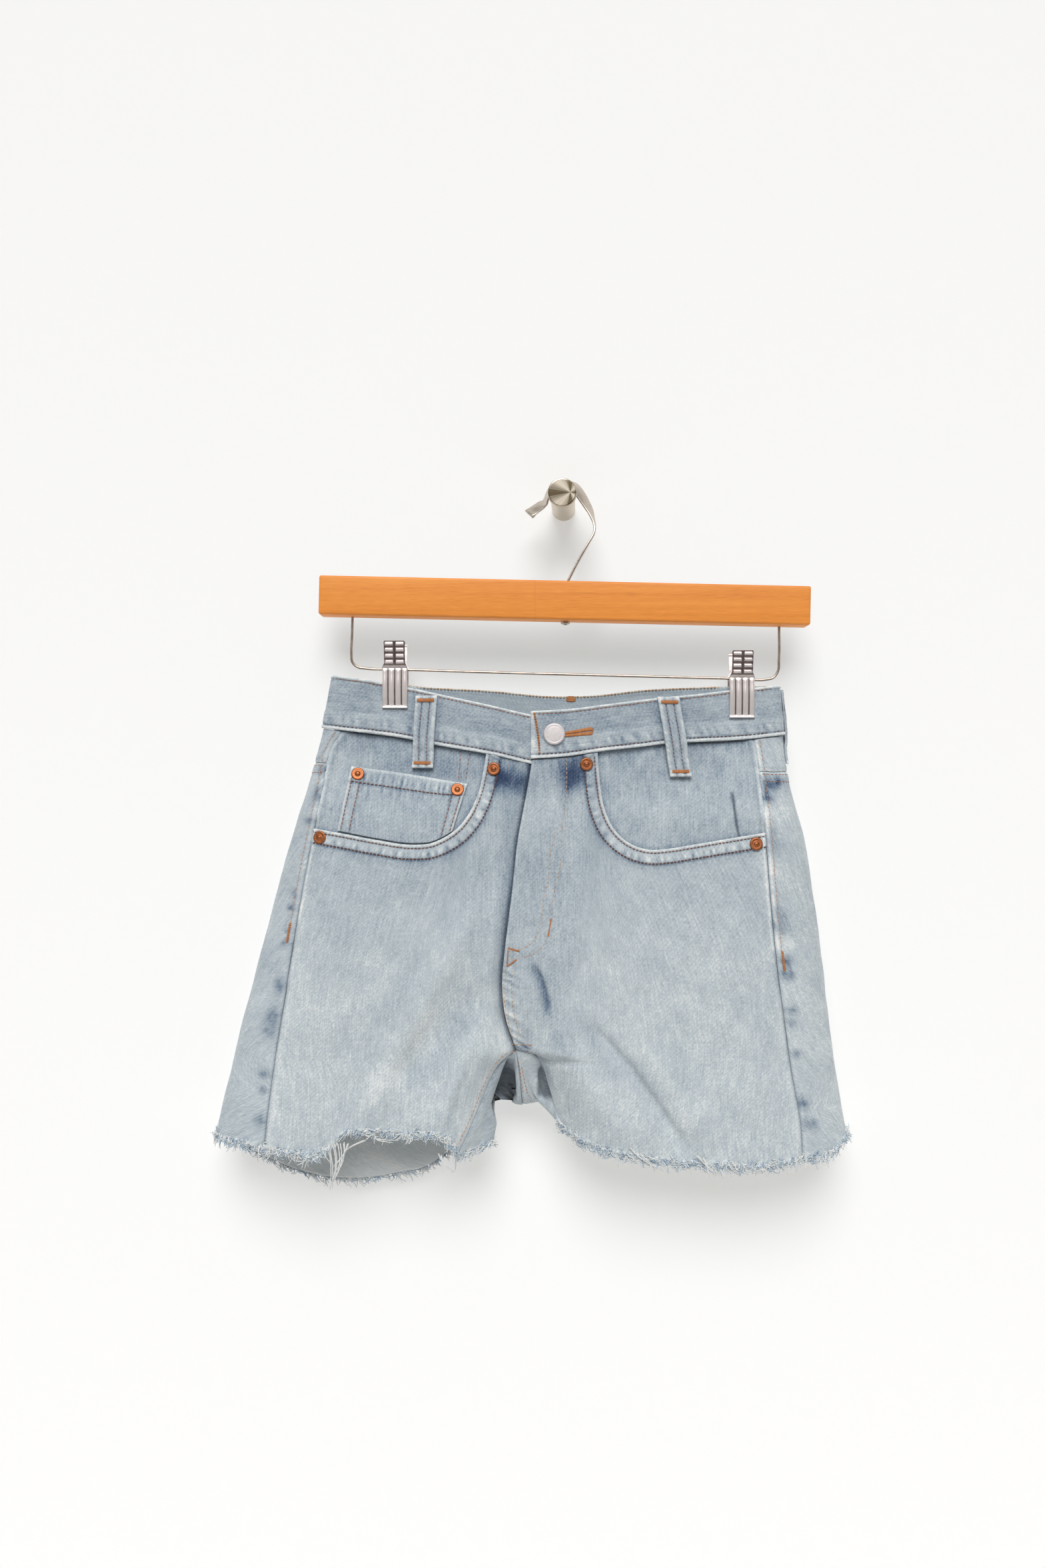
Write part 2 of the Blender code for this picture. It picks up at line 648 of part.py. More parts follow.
def seat_point(side, v):
    """The row's start on the seat seam, for rows above the fork's."""
    turn, fork = SEAT_V[side]
    drop = float(band_low_back(0)) - HEM_BACK[side][-1][1]
    if v <= turn:
        return SEAT(drop * v / SEAT_LENGTH)
    at_turn = drop * turn / SEAT_LENGTH
    slope = drop * (fork - turn) / SEAT_LENGTH
    s = (v - turn) / (fork - turn)
    return SEAT(at_turn + slope * s + (1 - at_turn - slope) * s * s)


def seat_normal(point):
    """The shared normal of both back panels on the seat seam."""
    i = int(np.argmin(np.linalg.norm(SEAT_LINE - point, axis=1)))
    along = SEAT_LINE[min(i + 6, 399)] - SEAT_LINE[max(i - 6, 0)]
    n = -np.cross(along, (1.0, 0.0, 0.0))
    return n / np.linalg.norm(n)


def back_row(side, v, stations):
    """One row of the back panel at stations 0..1 of its length: from the seat seam or the inseam,
    round the inner thigh and the back, and round the side fold to the side seam."""
    turn, fork = SEAT_V[side]
    z_fold = mix(SIDE_TOP_Z[side], HEM_BACK[side][0][1], v)
    x_fold, x_in = float(fold_x[side](z_fold)), BACK_INNER_X[side]
    hem = np.array(HEM_BACK[side], float)
    hem_at = smooth(list(zip((hem[:, 0] - hem[0, 0]) / (hem[-1, 0] - hem[0, 0]), hem[:, 1])))

    def back_z(x):
        share = np.clip((x - x_fold) / (x_in - x_fold), 0, 1)
        return mix(band_low_back(x), hem_at(share), v)

    outer_x = mix(x_fold, x_in, np.linspace(1, 0, 60) ** 2.2)
    outer = on_back(outer_x, back_z(outer_x))
    share = np.linspace(0, 1, 40)[1:] ** 2
    z_top = SIDE_TOP_Z[side]
    top_z = band_low_front[side](mix(fold_x[side](z_top), seam_x[side](z_top), share))
    foot_z = smooth(HEM_FRONT[side])(mix(HEM_FRONT_FOLD[side], float(hem_front(side)(1)[0]), share))
    strip_z = mix(top_z, foot_z, v)
    strip_x = mix(x_fold, float(seam_x[side](strip_z[-1])), share)
    strip = on_front(strip_x, strip_z)

    if v <= turn:
        flat_x = np.linspace(float(seat_point(side, v)[0]), x_in, 24)
        inner = on_back(flat_x, back_z(flat_x))
        inner[0] = seat_point(side, v)
    else:
        inner = thigh_row(side, v, outer, back_z)
    row = np.concatenate([inner[:-1], outer, strip])
    step = np.linalg.norm(np.diff(row, axis=0), axis=1)
    along = np.concatenate([[0], np.cumsum(step)]) / step.sum()
    return np.stack([np.interp(stations, along, row[:, k]) for k in range(3)], -1)


def thigh_row(side, v, outer, back_z):
    """The part of a row that turns under: from its start round the inner thigh to the back."""
    turn, fork = SEAT_V[side]
    corner_fork, back_fork = (np.array(p) for p in THIGH[side]["fork"])
    corner_hem, back_hem = (np.array(p) for p in THIGH[side]["hem"])
    if v <= fork:
        s = (v - turn) / (fork - turn)
        start = seat_point(side, v)
        flat_x = mix(float(seat_x(-430)), BACK_INNER_X[side], np.array([0.33, 0.66]))
        flat = on_back(flat_x, back_z(flat_x))
        corner, inner_back = mix(flat[0], corner_fork, ease(s)), mix(flat[1], back_fork, s)
    else:
        s = (v - fork) / (1 - fork)
        x, z = path(INSEAM[side])(s)
        start = on_front(np.array(x), np.array(z))
        corner, inner_back = mix(corner_fork, corner_hem, s), mix(back_fork, back_hem, s)
    line = path(np.array([start, corner, inner_back, outer[0], outer[3]]))(np.linspace(0, 1, 80))
    line = line[: int(np.argmin(np.linalg.norm(line - outer[0], axis=1))) + 1]
    line[-1] = outer[0]
    return line


def back_field(side, stations):
    """Rows, points and normals of the whole back of one side, yoke and panel together."""
    rows = np.unique(np.concatenate([np.linspace(0, 1, 121), SEAT_V[side]]))
    points = np.array([back_row(side, v, stations) for v in rows])
    under = ease((-18 - points[..., 1]) / 6)
    points[..., 1] += folds(HOLLOWS[side], points[..., 0], points[..., 2]) * under
    normals = np.cross(np.gradient(points, axis=1), np.gradient(points, axis=0))
    normals /= np.maximum(np.linalg.norm(normals, axis=-1, keepdims=True), 1e-9)
    if normals[20, 8, 1] < 0:
        normals = -normals
    above = rows <= SEAT_V[side][1]
    normals[above, 0] = [seat_normal(p) for p in points[above, 0]]
    normals[~above, 0] = inseam_normal(side, points[~above, 0])
    normals[:, -1] = front_normal(points[:, -1, 0], points[:, -1, 2])
    return rows, points, normals


def yoke_v(u):
    return mix(YOKE_V["centre"], YOKE_V["side"], u)


def back_piece(name, side, first, last, shares, columns=BACK_COLUMNS):
    """A back piece between two rows, each a function of the station."""
    rows, points, normals = back_field(side, columns)
    at = mix(first(columns)[None], last(columns)[None], shares[:, None])
    grid, n = (
        np.stack([np.stack([np.interp(at[:, j], rows, field[:, j, k]) for k in range(3)], -1)
                  for j in range(len(columns))], 1)
        for field in (points, normals)
    )
    n /= np.linalg.norm(n, axis=-1, keepdims=True)
    return sheet(name, inset(grid, 0.2), n, 0.0, -CLOTH)


def back_panel(side):
    top = YOKE_V["centre"]
    turn, fork = ((v - top) / (1 - top) for v in SEAT_V[side])
    shares = np.concatenate([np.linspace(0, turn, 8), np.linspace(turn, fork, 7)[1:],
                             np.linspace(fork, 1, 7)[1:]])
    return back_piece(f"back_{side}", side, yoke_v, np.ones_like, shares)


def yoke(side):
    return back_piece(f"yoke_{side}", side, np.zeros_like, yoke_v, np.linspace(0, 1, 4))


BACK_POCKET_CENTRE = {RIGHT: -82.0, LEFT: 72.0}
BACK_POCKET_TOP, BACK_POCKET_TALL = -258.0, 120.0
BACK_POCKET_HALF = (66.0, 57.0)  # half widths at the mouth and at the lower corners
BACK_POCKET_POINT = 16.0
BACK_POCKET_LIFT = 1.0


def back_pocket(side):
    """A plain patch pocket with a pointed foot."""
    u = np.linspace(-1, 1, 9)[None, :]
    v = np.linspace(0, 1, 7)[:, None]
    x = BACK_POCKET_CENTRE[side] + u * mix(*BACK_POCKET_HALF, v) - 6 * v * (1 if side == RIGHT else -1)
    z = BACK_POCKET_TOP - v * (BACK_POCKET_TALL + BACK_POCKET_POINT * (1 - np.abs(u)))
    outer, inner = BACK_POCKET_LIFT + CLOTH, BACK_POCKET_LIFT
    return sheet(f"back_pocket_{side}", on_back(x, z), back_normal(x, z), outer, inner)


# ---------------------------------------------------------------- waistband, loops, metal

BAND_UNDER_END = 14.0  # the right end's x, under the left end
BAND_OVER_END = -26.3
BAND_DROP = BAND_OUT - BAND_IN + GAP
BAND_CLEAR = 0.5


def band_stretch(face, side, x0, level, count):
    """Points of the band's middle from x0 to a side fold, at a level 0 (top) to 1 (foot)."""
    top = band_top_front[side] if face == "front" else band_top_back
    low = band_low_front[side] if face == "front" else band_low_back
    share = 1 - (1 - np.linspace(0, 1, 90)) ** 2
    nominal = mix(x0, float(fold_x[side](-155)), share)
    z = mix(top(nominal), low(nominal) + BAND_CLEAR, level)
    x = mix(x0, fold_x[side](z), share)
    row = on_front(x, z) if face == "front" else on_back(x, z)
    step = np.linalg.norm(np.diff(row, axis=0), axis=1)
    along = np.concatenate([[0], np.cumsum(step)]) / step.sum()
    at = np.linspace(0, 1, count + 1)
    return np.stack([np.interp(at, along, row[:, k]) for k in range(3)], -1)


def band_row(level, scale=1):
    """Round the waist from the end that lies under, past the right, the back and the left, to the front."""
    right = band_stretch("front", RIGHT, -40.0, level, 12 * scale)
    behind_right = band_stretch("back", RIGHT, 0.0, level, 14 * scale)[::-1]
    behind_left = band_stretch("back", LEFT, 0.0, level, 14 * scale)
    left = band_stretch("front", LEFT, BAND_OVER_END, level, 16 * scale)[::-1]
    xs = np.linspace(BAND_UNDER_END, -40.0, 6 * scale + 1)[:-1]
    under = on_front(xs, mix(band_top_front[RIGHT](xs), band_low_front[RIGHT](xs) + BAND_CLEAR, level))
    return np.concatenate([under, right, behind_right[1:], behind_left[1:], left[1:]])


def ring_normals(points):
    n = np.cross(np.gradient(points, axis=1), np.gradient(points, axis=0))
    n /= np.linalg.norm(n, axis=-1, keepdims=True)
    outward = points - np.array([0.0, Y_MID, 0.0])
    outward[..., 2] = 0
    return n if (n * outward).sum() > 0 else -n


def waistband():
    points = np.array([band_row(level) for level in np.linspace(0, 1, 4)])
    drop = np.zeros(points.shape[:2])
    drop[:, :9] = BAND_DROP * ease((points[:, :9, 0] + 38) / 10)
    return sheet("waistband", inset(points), ring_normals(points), BAND_OUT - drop, BAND_IN - drop)


LOOP_COLUMNS = ("name", "face", "x_top", "x_foot", "z_top", "z_foot", "clear")
LOOPS = (
    ("front_right", "front", -104.0, -107.5, -149.6, -204.4, 0.5),
    ("front_left", "front", 76.1, 86.0, -151.0, -211.0, 0.5),
    ("side_right", "back", -166.0, -168.5, -137.0, -191.0, 1.1),
    ("side_left", "back", 157.5, 160.0, -145.0, -201.0, 1.4),
    ("centre_back", "back", -5.0, -7.0, -150.5, -205.0, 0.5),
)
LOOP_HALF, LOOP_THICK, LOOP_LIFT = 8.2, 2.0, 1.6


def belt_loop(name, face, x_top, x_foot, z_top, z_foot, clear):
    """A strip over the waistband, held at both ends and bowed a little off it between them."""
    u = np.linspace(-1, 1, 4)[None, :]
    v = np.array([0, 0.1, 0.3, 0.5, 0.66, 0.8, 1])[:, None]
    x = mix(x_top, x_foot, v) + u * LOOP_HALF
    z = mix(z_top, z_foot, v) + 0 * u
    if face == "front":
        side = RIGHT if x_top < -26 else LEFT
        points, normals, low = on_front(x, z), front_normal(x, z), band_low_front[side](x)
    else:
        points, normals, low = on_back(x, z), back_normal(x, z), band_low_back(x)
    on_band = ease((z - low + 9) / 7)
    level = clear + BAND_OUT * on_band + LOOP_LIFT * np.sin(math.pi * v) ** 2
    return sheet(f"belt_loop_{name}", points, normals, level + LOOP_THICK, level)


BUTTON_AT, BUTTON_RADIUS = (-8.7, -178.7), 8.0
BUTTON_PROFILE = (
    (0, 0), (6.6, 0), (7.9, 1.0), (8.0, 2.2), (7.3, 3.0), (6.2, 2.7), (5.4, 2.3), (2.6, 2.6),
    (0, 2.8),
)
RIVET_PROFILE = ((0, 0), (4.7, 0), (4.85, 0.5), (4.2, 1.1), (2.4, 0.9), (1.5, 1.6), (0, 2.1))
RIVET_COLUMNS = ("name", "x", "z", "layer")
RIVETS = (
    ("right_outer", -182.6, -255.8, "panel"),
    ("right_inner", -53.9, -204.9, "panel"),
    ("left_inner", 15.3, -201.3, "panel"),
    ("left_outer", 140.5, -260.5, "panel"),
    ("coin_outer", -155.8, -208.6, "coin"),
    ("coin_inner", -80.9, -220.4, "coin"),
)


def on_cloth(x, z, level):
    """A point of the front at a height over its face, and the normal there."""
    x, z = np.array(float(x)), np.array(float(z))
    n = front_normal(x, z, 4.0)
    return on_front(x, z) + n * level, n


def rivet(name, x, z, layer):
    level = GAP + 0.2
    if layer == "coin":
        level += COIN_LEVEL
    centre, n = on_cloth(x, z, level)
    return turned(f"rivet_{name}", RIVET_PROFILE, centre, n, 12, COPPER)


def button():
    centre, n = on_cloth(*BUTTON_AT, BAND_OUT + GAP + 0.1)
    return turned("button", BUTTON_PROFILE, centre, n, 24, WHITE_METAL)


# ---------------------------------------------------------------- frayed hems

FRAY_BAND, FRAY_CLEAR = 2.6, 0.8  # the strip that the threads hang from, and its gap to the cloth
FRAY_PITCH, THREAD_SHARE = 6.4, 0.42
FRAY_SHORT, FRAY_LONG = 4.5, 10.5
LONG_FROM, LONG_SHARE = 7.5, 0.33
random_thread = random.Random(11)


def fray(name, edge, above, normal):
    """A narrow strip that follows a hem, with threads drawn from its lower edge."""
    down = edge - above
    down /= np.linalg.norm(down, axis=1, keepdims=True)
    step = np.linalg.norm(np.diff(edge, axis=0), axis=1)
    along = np.concatenate([[0], np.cumsum(step)])
    count = int(along[-1] / FRAY_PITCH)
    stations = []
    for k in range(count):
        stations += [k * FRAY_PITCH + 0.3, k * FRAY_PITCH + 0.3 + FRAY_PITCH * THREAD_SHARE]
    stations = np.array(stations) * (along[-1] - 3.0) / stations[-1] + 1.4

    def read(field):
        return np.stack([np.interp(stations, along, field[:, k]) for k in range(3)], -1)

    at, fall, n = read(edge), read(down), read(normal)
    n /= np.linalg.norm(n, axis=1, keepdims=True)
    top, low = at + fall * FRAY_CLEAR, at + fall * (FRAY_CLEAR + FRAY_BAND)
    half = (CLOTH - 0.2) / 2
    mid = -CLOTH / 2
    verts, faces = [], []
    for line in (top, low):
        for k in range(len(at)):
            verts += [line[k] + n[k] * (mid + half), line[k] + n[k] * (mid - half)]
    m = 2 * len(at)
    for k in range(len(at) - 1):
        a, b = 2 * k, 2 * k + 2
        faces += [[a, b, m + b, m + a], [a + 1, m + a + 1, m + b + 1, b + 1], [a, a + 1, b + 1, b]]
        if k % 2:
            faces.append([m + a, m + b, m + b + 1, m + a + 1])
            continue
        ring = [m + a, m + b, m + b + 1, m + a + 1]
        reach = random_thread.uniform(FRAY_SHORT, FRAY_LONG)
        across = at[k + 1] - at[k]
        swing = across * random_thread.uniform(-1.0, 1.0) + n[k] * random_thread.uniform(-1.2, 1.6)
        root = sum(np.array(verts[i]) for i in ring) / 4
        if reach > LONG_FROM and random_thread.random() < LONG_SHARE * 2:
            middle = root + fall[k] * reach * 0.5 + swing * 0.25
            lower = []
            for i in ring:
                verts.append(middle + (np.array(verts[i]) - root) * 0.55)
                lower.append(len(verts) - 1)
            for i in range(4):
                j = (i + 1) % 4
                faces.append([ring[i], ring[j], lower[j], lower[i]])
            ring = lower
        verts.append(root + fall[k] * reach + swing)
        tip = len(verts) - 1
        faces += [[ring[i], ring[(i + 1) % 4], tip] for i in range(4)]
    faces += [[0, m, m + 1, 1], [m - 2, m - 1, 2 * m - 1, 2 * m - 2]]
    return solid(name, verts, faces, DENIM, 30)


def hem_frays():
    for side in (RIGHT, LEFT):
        points, normals, _ = front_grid(side)
        fray(f"hem_fray_front_{side}", points[-1], points[-2], normals[-1])
        _, points, normals = back_field(side, BACK_COLUMNS)
        fray(f"hem_fray_back_{side}", points[-1], points[-4], normals[-1])


# ---------------------------------------------------------------- hanger and peg

BAR_LEFT, BAR_RIGHT = (-185.4, -73.9), (184.1, -82.1)  # middles of the bar's ends, x and z
BAR_TALL, BAR_DEEP, BAR_ROUND = 29.4, 20.0, 1.6
WIRE_RADIUS = 1.0
WIRE = (
    (-161.2, -89.6), (-161.6, -104.0), (-162.1, -117.6), (-161.3, -124.0), (-157.6, -127.4),
    (-151.0, -128.6),
        (-128.7, -129.3), (-74.8, -131.0), (40.0, -134.1), (133.2, -136.5), (151.5, -137.0), (158.0, -135.4),
        (161.2, -130.6), (161.9, -122.0), (162.0, -96.8))
JAW_COLUMNS = ("rise", "opening", "half_width")
JAW = (
    (20.6, 9.8, 7.4),
    (20.0, 9.2, 7.9),
    (17.7, 8.8, 7.9),
    (16.0, 8.5, 7.9),
    (13.3, 8.0, 7.9),
    (11.6, 7.6, 7.9),
    (8.9, 7.1, 7.9),
    (7.2, 6.7, 7.9),
    (4.5, 6.1, 7.9),
    (1.5, 4.8, 9.4),
    (-2.5, 4.8, 9.4),
    (-10.0, 5.2, 9.4),
    (-21.0, 4.8, 9.4),
    (-28.0, 4.3, 9.5),
    (-29.6, 4.5, 9.7),
)
CLIP_Z = {RIGHT: -129.3, LEFT: -136.5}
JAW_THICK, FLUTE = 0.9, 0.7
SPRING_HALF, SPRING_OUTER, SPRING_INNER = 5.5, 4.5, 1.6


def hanger_bar():
    ends = [np.array([x, Y_MID, z]) for x, z in (BAR_LEFT, BAR_RIGHT)]
    along = (ends[1] - ends[0]) / np.linalg.norm(ends[1] - ends[0])
    line = [mix(ends[0], ends[1], t) + 0 * along for t in (0, 0.003, 0.5, 0.997, 1)]
    full = rounded(BAR_DEEP / 2, BAR_TALL / 2, BAR_ROUND)
    small = rounded(BAR_DEEP / 2 - 0.9, BAR_TALL / 2 - 0.9, BAR_ROUND)

    def section(t):
        return small if t in (0.0, 1.0) else full

    return swept("hanger_bar", line, section, (0.0, 1.0, 0.0), WOOD)


def hanger_wire():
    line = path(WIRE)(np.linspace(0, 1, 44))
    keep = [i for i in range(44) if i < 12 or i > 31 or i % 5 == 0]
    line = np.stack([line[keep, 0], np.full(len(keep), Y_MID), line[keep, 1]], -1)
    return swept("hanger_wire", line, lambda t: circle(WIRE_RADIUS, 8), (0.0, 1.0, 0.0), STEEL)


def clip(side):
    """Two sprung jaws on the wire: the front one fluted below and ridged above."""
    x0, z0 = CLIP_X[side], CLIP_Z[side]
    rise, opening, half = (np.array(col) for col in zip(*JAW))
    for name, face, across in (("front", -1, 8), ("back", 1, 3)):
        keep = np.arange(len(rise)) if name == "front" else np.array([0, 1, 8, 9, 10, 11, 12, 13, 14])
        u = np.linspace(-1, 1, across + 1)
        x = x0 + half[keep, None] * u[None]
        y = np.full_like(x, Y_MID) + face * opening[keep, None]
        z = np.broadcast_to(z0 + rise[keep, None], x.shape)
        normal = np.broadcast_to(np.array([0.0, face, 0.0]), (*x.shape, 3))
        relief = np.zeros(x.shape)
        if name == "front":
            flutes = np.where(np.arange(across + 1) % 2 == 1, FLUTE, 0.0)
            relief[10:14] = flutes
            relief[2:8:2] = FLUTE
            relief[:8, across // 2] = 0.0
        sheet(f"clip_{side}_{name}_jaw", np.stack([x, y, z], -1), normal, JAW_THICK + relief, 0.0, STEEL)
    tube = ((SPRING_INNER, -SPRING_HALF), (SPRING_OUTER, -SPRING_HALF), (SPRING_OUTER, SPRING_HALF),
            (SPRING_INNER, SPRING_HALF))
    return hollow(f"clip_{side}_spring", tube, (x0, Y_MID, z0), (1.0, 0.0, -0.026), 12, STEEL)


def hollow(name, profile, centre, axis, sides, finish):
    """A ring: a closed profile of (radius, height) turned about an axis."""
    axis = np.array(axis) / np.linalg.norm(axis)
    side = np.cross(axis, (0.0, 1.0, 0.0))
    side /= np.linalg.norm(side)
    other = np.cross(axis, side)
    verts, faces, count = [], [], len(profile)
    for k in range(sides):
        a = 2 * math.pi * k / sides
        for radius, height in profile:
            turned = math.cos(a) * side + math.sin(a) * other
            verts.append(np.array(centre) + axis * height + radius * turned)
    for k in range(sides):
        n = (k + 1) % sides
        faces += [[k * count + i, k * count + (i + 1) % count, n * count + (i + 1) % count, n * count + i]
                  for i in range(count)]
    return solid(name, verts, faces, finish)


HOOK_COLUMNS = ("x", "y", "z", "turn", "thick")
HOOK = (
    (-27.6, -36.0, -11.2, 52, 2.6),
    (-26.2, -36.0, -10.0, 50, 2.6),
    (-25.0, -36.0, -9.0, 50, 1.6),
    (-19.2, -36.0, -4.8, 45, 1.6),
    (-14.2, -36.0, 0.8, 20, 1.6),
    (-11.0, -36.0, 8.6, 15, 1.6),
    (-2.2, -36.0, 12.4, 20, 1.6),
    (6.0, -36.0, 11.4, 32, 1.6),
    (11.6, -36.0, 4.2, 46, 1.6),
    (16.7, -36.2, -4.3, 38, 1.6),
    (20.4, -37.0, -12.9, 20, 1.6),
    (22.2, -38.0, -20.1, 8, 1.7),
    (21.6, -39.0, -26.2, 0, 1.8),
    (16.5, -40.0, -35.6, 0, 1.8),
    (9.0, -40.0, -49.0, 0, 1.8),
    (2.0, -40.0, -62.65, 0, 1.8),
)
HOOK_WIDE = 10.5


def hanger_hook():
    """A flat strip: edge on where it leaves the bar, turned towards the front where it crosses the peg."""
    table = path(HOOK)(np.linspace(0, 1, 34))
    line, turn, thick = table[:, :3], np.radians(table[:, 3]), table[:, 4]
    tangent = np.gradient(line, axis=0)
    tangent[:, 1] = 0
    tangent /= np.linalg.norm(tangent, axis=1, keepdims=True)
    behind = np.array([0.0, 1.0, 0.0])
    inward = np.cross(tangent, behind)
    across = np.cos(turn)[:, None] * behind + np.sin(turn)[:, None] * inward
    return swept("hanger_hook", line,
                 lambda t: rectangle(HOOK_WIDE / 2, thick[round(t * 33)] / 2), across, STEEL)


PEG_LEAN = -0.048  # sideways, for each millimetre out of the wall
PEG_PROFILE = (
    (0, 0), (9.1, 0), (9.1, 50.0), (10.5, 56.0), (10.7, 58.0), (10.7, 62.2), (10.2, 62.8),
    (0, 62.8),
)


def wall_peg():
    made = turned("wall_peg", PEG_PROFILE, (0.0, 0.0, 0.0), (0.0, -1.0, 0.0), 32, STEEL)
    for vertex in made.data.vertices:
        vertex.co.x -= PEG_LEAN * vertex.co.y
    return made


# ---------------------------------------------------------------- the whole

for old in list(bpy.data.objects):
    bpy.data.objects.remove(old, do_unlink=True)
for wearer_side in (RIGHT, LEFT):
    front_panel(wearer_side)
    pocket_facing(wearer_side)
    back_panel(wearer_side)
    yoke(wearer_side)
    back_pocket(wearer_side)
    clip(wearer_side)
coin_pocket()
waistband()
for row in LOOPS:
    belt_loop(*row)
button()
for row in RIVETS:
    rivet(*row)
hem_frays()
hanger_bar()
hanger_wire()
hanger_hook()
wall_peg()
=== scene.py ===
"""Denim cut-off shorts on a clip hanger: the looks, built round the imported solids.

Sizes are in millimetres and turn into metres in piece(). The maps of the front and the back are the
solids' own: a finer grid of their points, raised by seams, hems, stitches and puckers, makes the cloth.
The dye that the cloth has left is a field on its points, fade, from 0 (dark indigo) to 1 (white).
"""

import math
import random
from types import SimpleNamespace

import bpy
import numpy as np
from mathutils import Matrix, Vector


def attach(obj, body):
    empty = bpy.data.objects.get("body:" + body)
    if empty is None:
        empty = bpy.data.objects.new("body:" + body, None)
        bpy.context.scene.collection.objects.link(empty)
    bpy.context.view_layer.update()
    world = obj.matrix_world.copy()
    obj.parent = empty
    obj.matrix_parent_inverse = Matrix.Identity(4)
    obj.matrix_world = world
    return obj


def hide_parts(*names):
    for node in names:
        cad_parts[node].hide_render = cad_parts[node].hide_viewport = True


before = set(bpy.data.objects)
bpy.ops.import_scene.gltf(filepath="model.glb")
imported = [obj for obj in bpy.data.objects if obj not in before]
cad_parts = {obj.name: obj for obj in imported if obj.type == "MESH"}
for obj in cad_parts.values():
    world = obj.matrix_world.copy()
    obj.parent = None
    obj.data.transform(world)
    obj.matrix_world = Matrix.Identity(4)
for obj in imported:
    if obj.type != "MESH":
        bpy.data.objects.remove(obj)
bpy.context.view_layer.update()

MM = 0.001
GAP = 0.3  # clearance between neighbouring pieces
CLOTH = 1.2  # thickness of one layer of denim
BAND_OUT = 1.4  # the waistband's faces, out of and behind the panels' outer face
BAND_IN = -1.4
Y_MID = -40.0  # the plane of the hanger, between the front and the back
RIGHT, LEFT = "right", "left"

# ---------------------------------------------------------------- sizes of the garment
# Both side folds and side seams, from the waistband's top to the hem.
SIDE_COLUMNS = ("z", "fold_x", "seam_x")
SIDES = {
    RIGHT: (
        (-134, -176.0, -160.0),
        (-174, -183.0, -167.0),
        (-190, -187.0, -176.5),
        (-214, -193.7, -181.0),
        (-254, -206.0, -188.5),
        (-303, -219.5, -197.5),
        (-342, -230.5, -204.0),
        (-380, -240.0, -209.5),
        (-422, -250.7, -216.0),
        (-465, -261.0, -221.0),
        (-500, -268.5, -224.0),
    ),
    LEFT: (
        (-134, 161.0, 139.0),
        (-178, 164.5, 141.8),
        (-199, 166.6, 144.5),
        (-225, 172.1, 145.8),
        (-261, 181.5, 148.4),
        (-307, 188.6, 151.7),
        (-355, 194.8, 156.3),
        (-394, 199.4, 161.5),
        (-433, 204.9, 167.0),
        (-462, 209.7, 172.0),
        (-500, 217.0, 174.2),
    ),
}
# The fly's edge and, below it, the front seam down to the fork.
FLY_COLUMNS = ("z", "x")
FLY = (
    (-150, -24.0),
    (-198, -25.5),
    (-222, -29.5),
    (-259, -36.4),
    (-301, -41.0),
    (-345, -46.3),
    (-360, -47.6),
    (-392, -44.6),
    (-415, -37.0),
)
FORK = (-37.0, -415.0)  # x and z of the point where the four leg seams meet
# The inner edge of each leg as seen from the front, below the fork.
INNER_COLUMNS = ("z", "x")
INNER = {
    RIGHT: ((-415, -37.0), (-424, -43.0), (-443, -49.0), (-460, -53.0), (-480, -56.0), (-496, -61.0)),
    LEFT: ((-415, -37.0), (-418, -22.0), (-428, -16.5), (-442, -12.0), (-458, -7.5), (-474, -3.5),
           (-496, -1.0)),
}
# The inseams, on the front height field.
INSEAM = {
    RIGHT: ((-37.0, -415.0), (-50.0, -427.0), (-56.5, -439.0), (-65.5, -461.0), (-74.0, -479.0),
            (-80.0, -492.0)),
    LEFT: ((-37.0, -415.0), (-23.5, -418.5), (-18.0, -428.0), (-13.5, -442.0), (-9.0, -458.0),
           (-5.5, -471.5)),
}
# The seam from the back waist down, under the fork and up to it, as x, y, z.
SEAT_SEAM_LOW = ((-31.0, -16.5, -440.0), (-31.5, -23.0, -455.0), (-32.0, -33.5, -461.0),
                 (-33.0, -43.0, -452.0), (-34.5, -50.5, -434.0))
SEAT_SEAM_X = ((-140, 1.0), (-187, 0.0), (-250, -8.0), (-350, -22.0), (-436, -31.0), (-470, -33.0))
# Waistband edges and the hems' cloth edges, as x and z.
BAND_TOP_FRONT = {
    RIGHT: ((-176, -134.2), (-144, -138.6), (-119, -143.1), (-94, -148.6), (-54, -157.5), (-26, -164.0),
            (16, -168.0)),
    LEFT: ((-30, -161.8), (6, -159.6), (33, -156.1), (68, -151.6), (101, -148.1), (124, -145.1),
           (161.4, -141.6)),
}
BAND_LOW_FRONT = {
    RIGHT: ((-184, -174.0), (-168, -176.0), (-118, -182.4), (-97, -187.0), (-54, -195.0), (-26, -201.6),
            (16, -205.0)),
    LEFT: ((-30, -198.2), (5, -195.5), (21, -192.9), (55, -189.0), (75, -186.4), (94, -185.3),
           (142, -182.3), (164.6, -179.5)),
}
BAND_TOP_BACK = ((-176, -134.2), (-116, -142.0), (-55, -145.1), (-11, -149.0), (23, -148.4), (58, -144.6),
                 (109, -142.5), (161.4, -141.6))
BAND_LOW_BACK = ((-184, -174.0), (-116, -180.0), (-55, -184.0), (0, -187.0), (58, -184.5), (109, -182.0),
                 (164.6, -179.5))
HEM_FRONT = {
    RIGHT: ((-268, -480), (-229, -483), (-203, -487), (-180, -487.5), (-172, -482), (-167, -475.5),
            (-152, -472), (-118, -474), (-95, -475), (-87, -479), (-80, -492)),
    LEFT: ((-5.5, -471.5), (2, -477), (21, -484), (49, -490), (80, -494.5), (116, -497), (140, -497.5),
           (160, -495), (174, -492), (197, -490), (218, -479)),
}
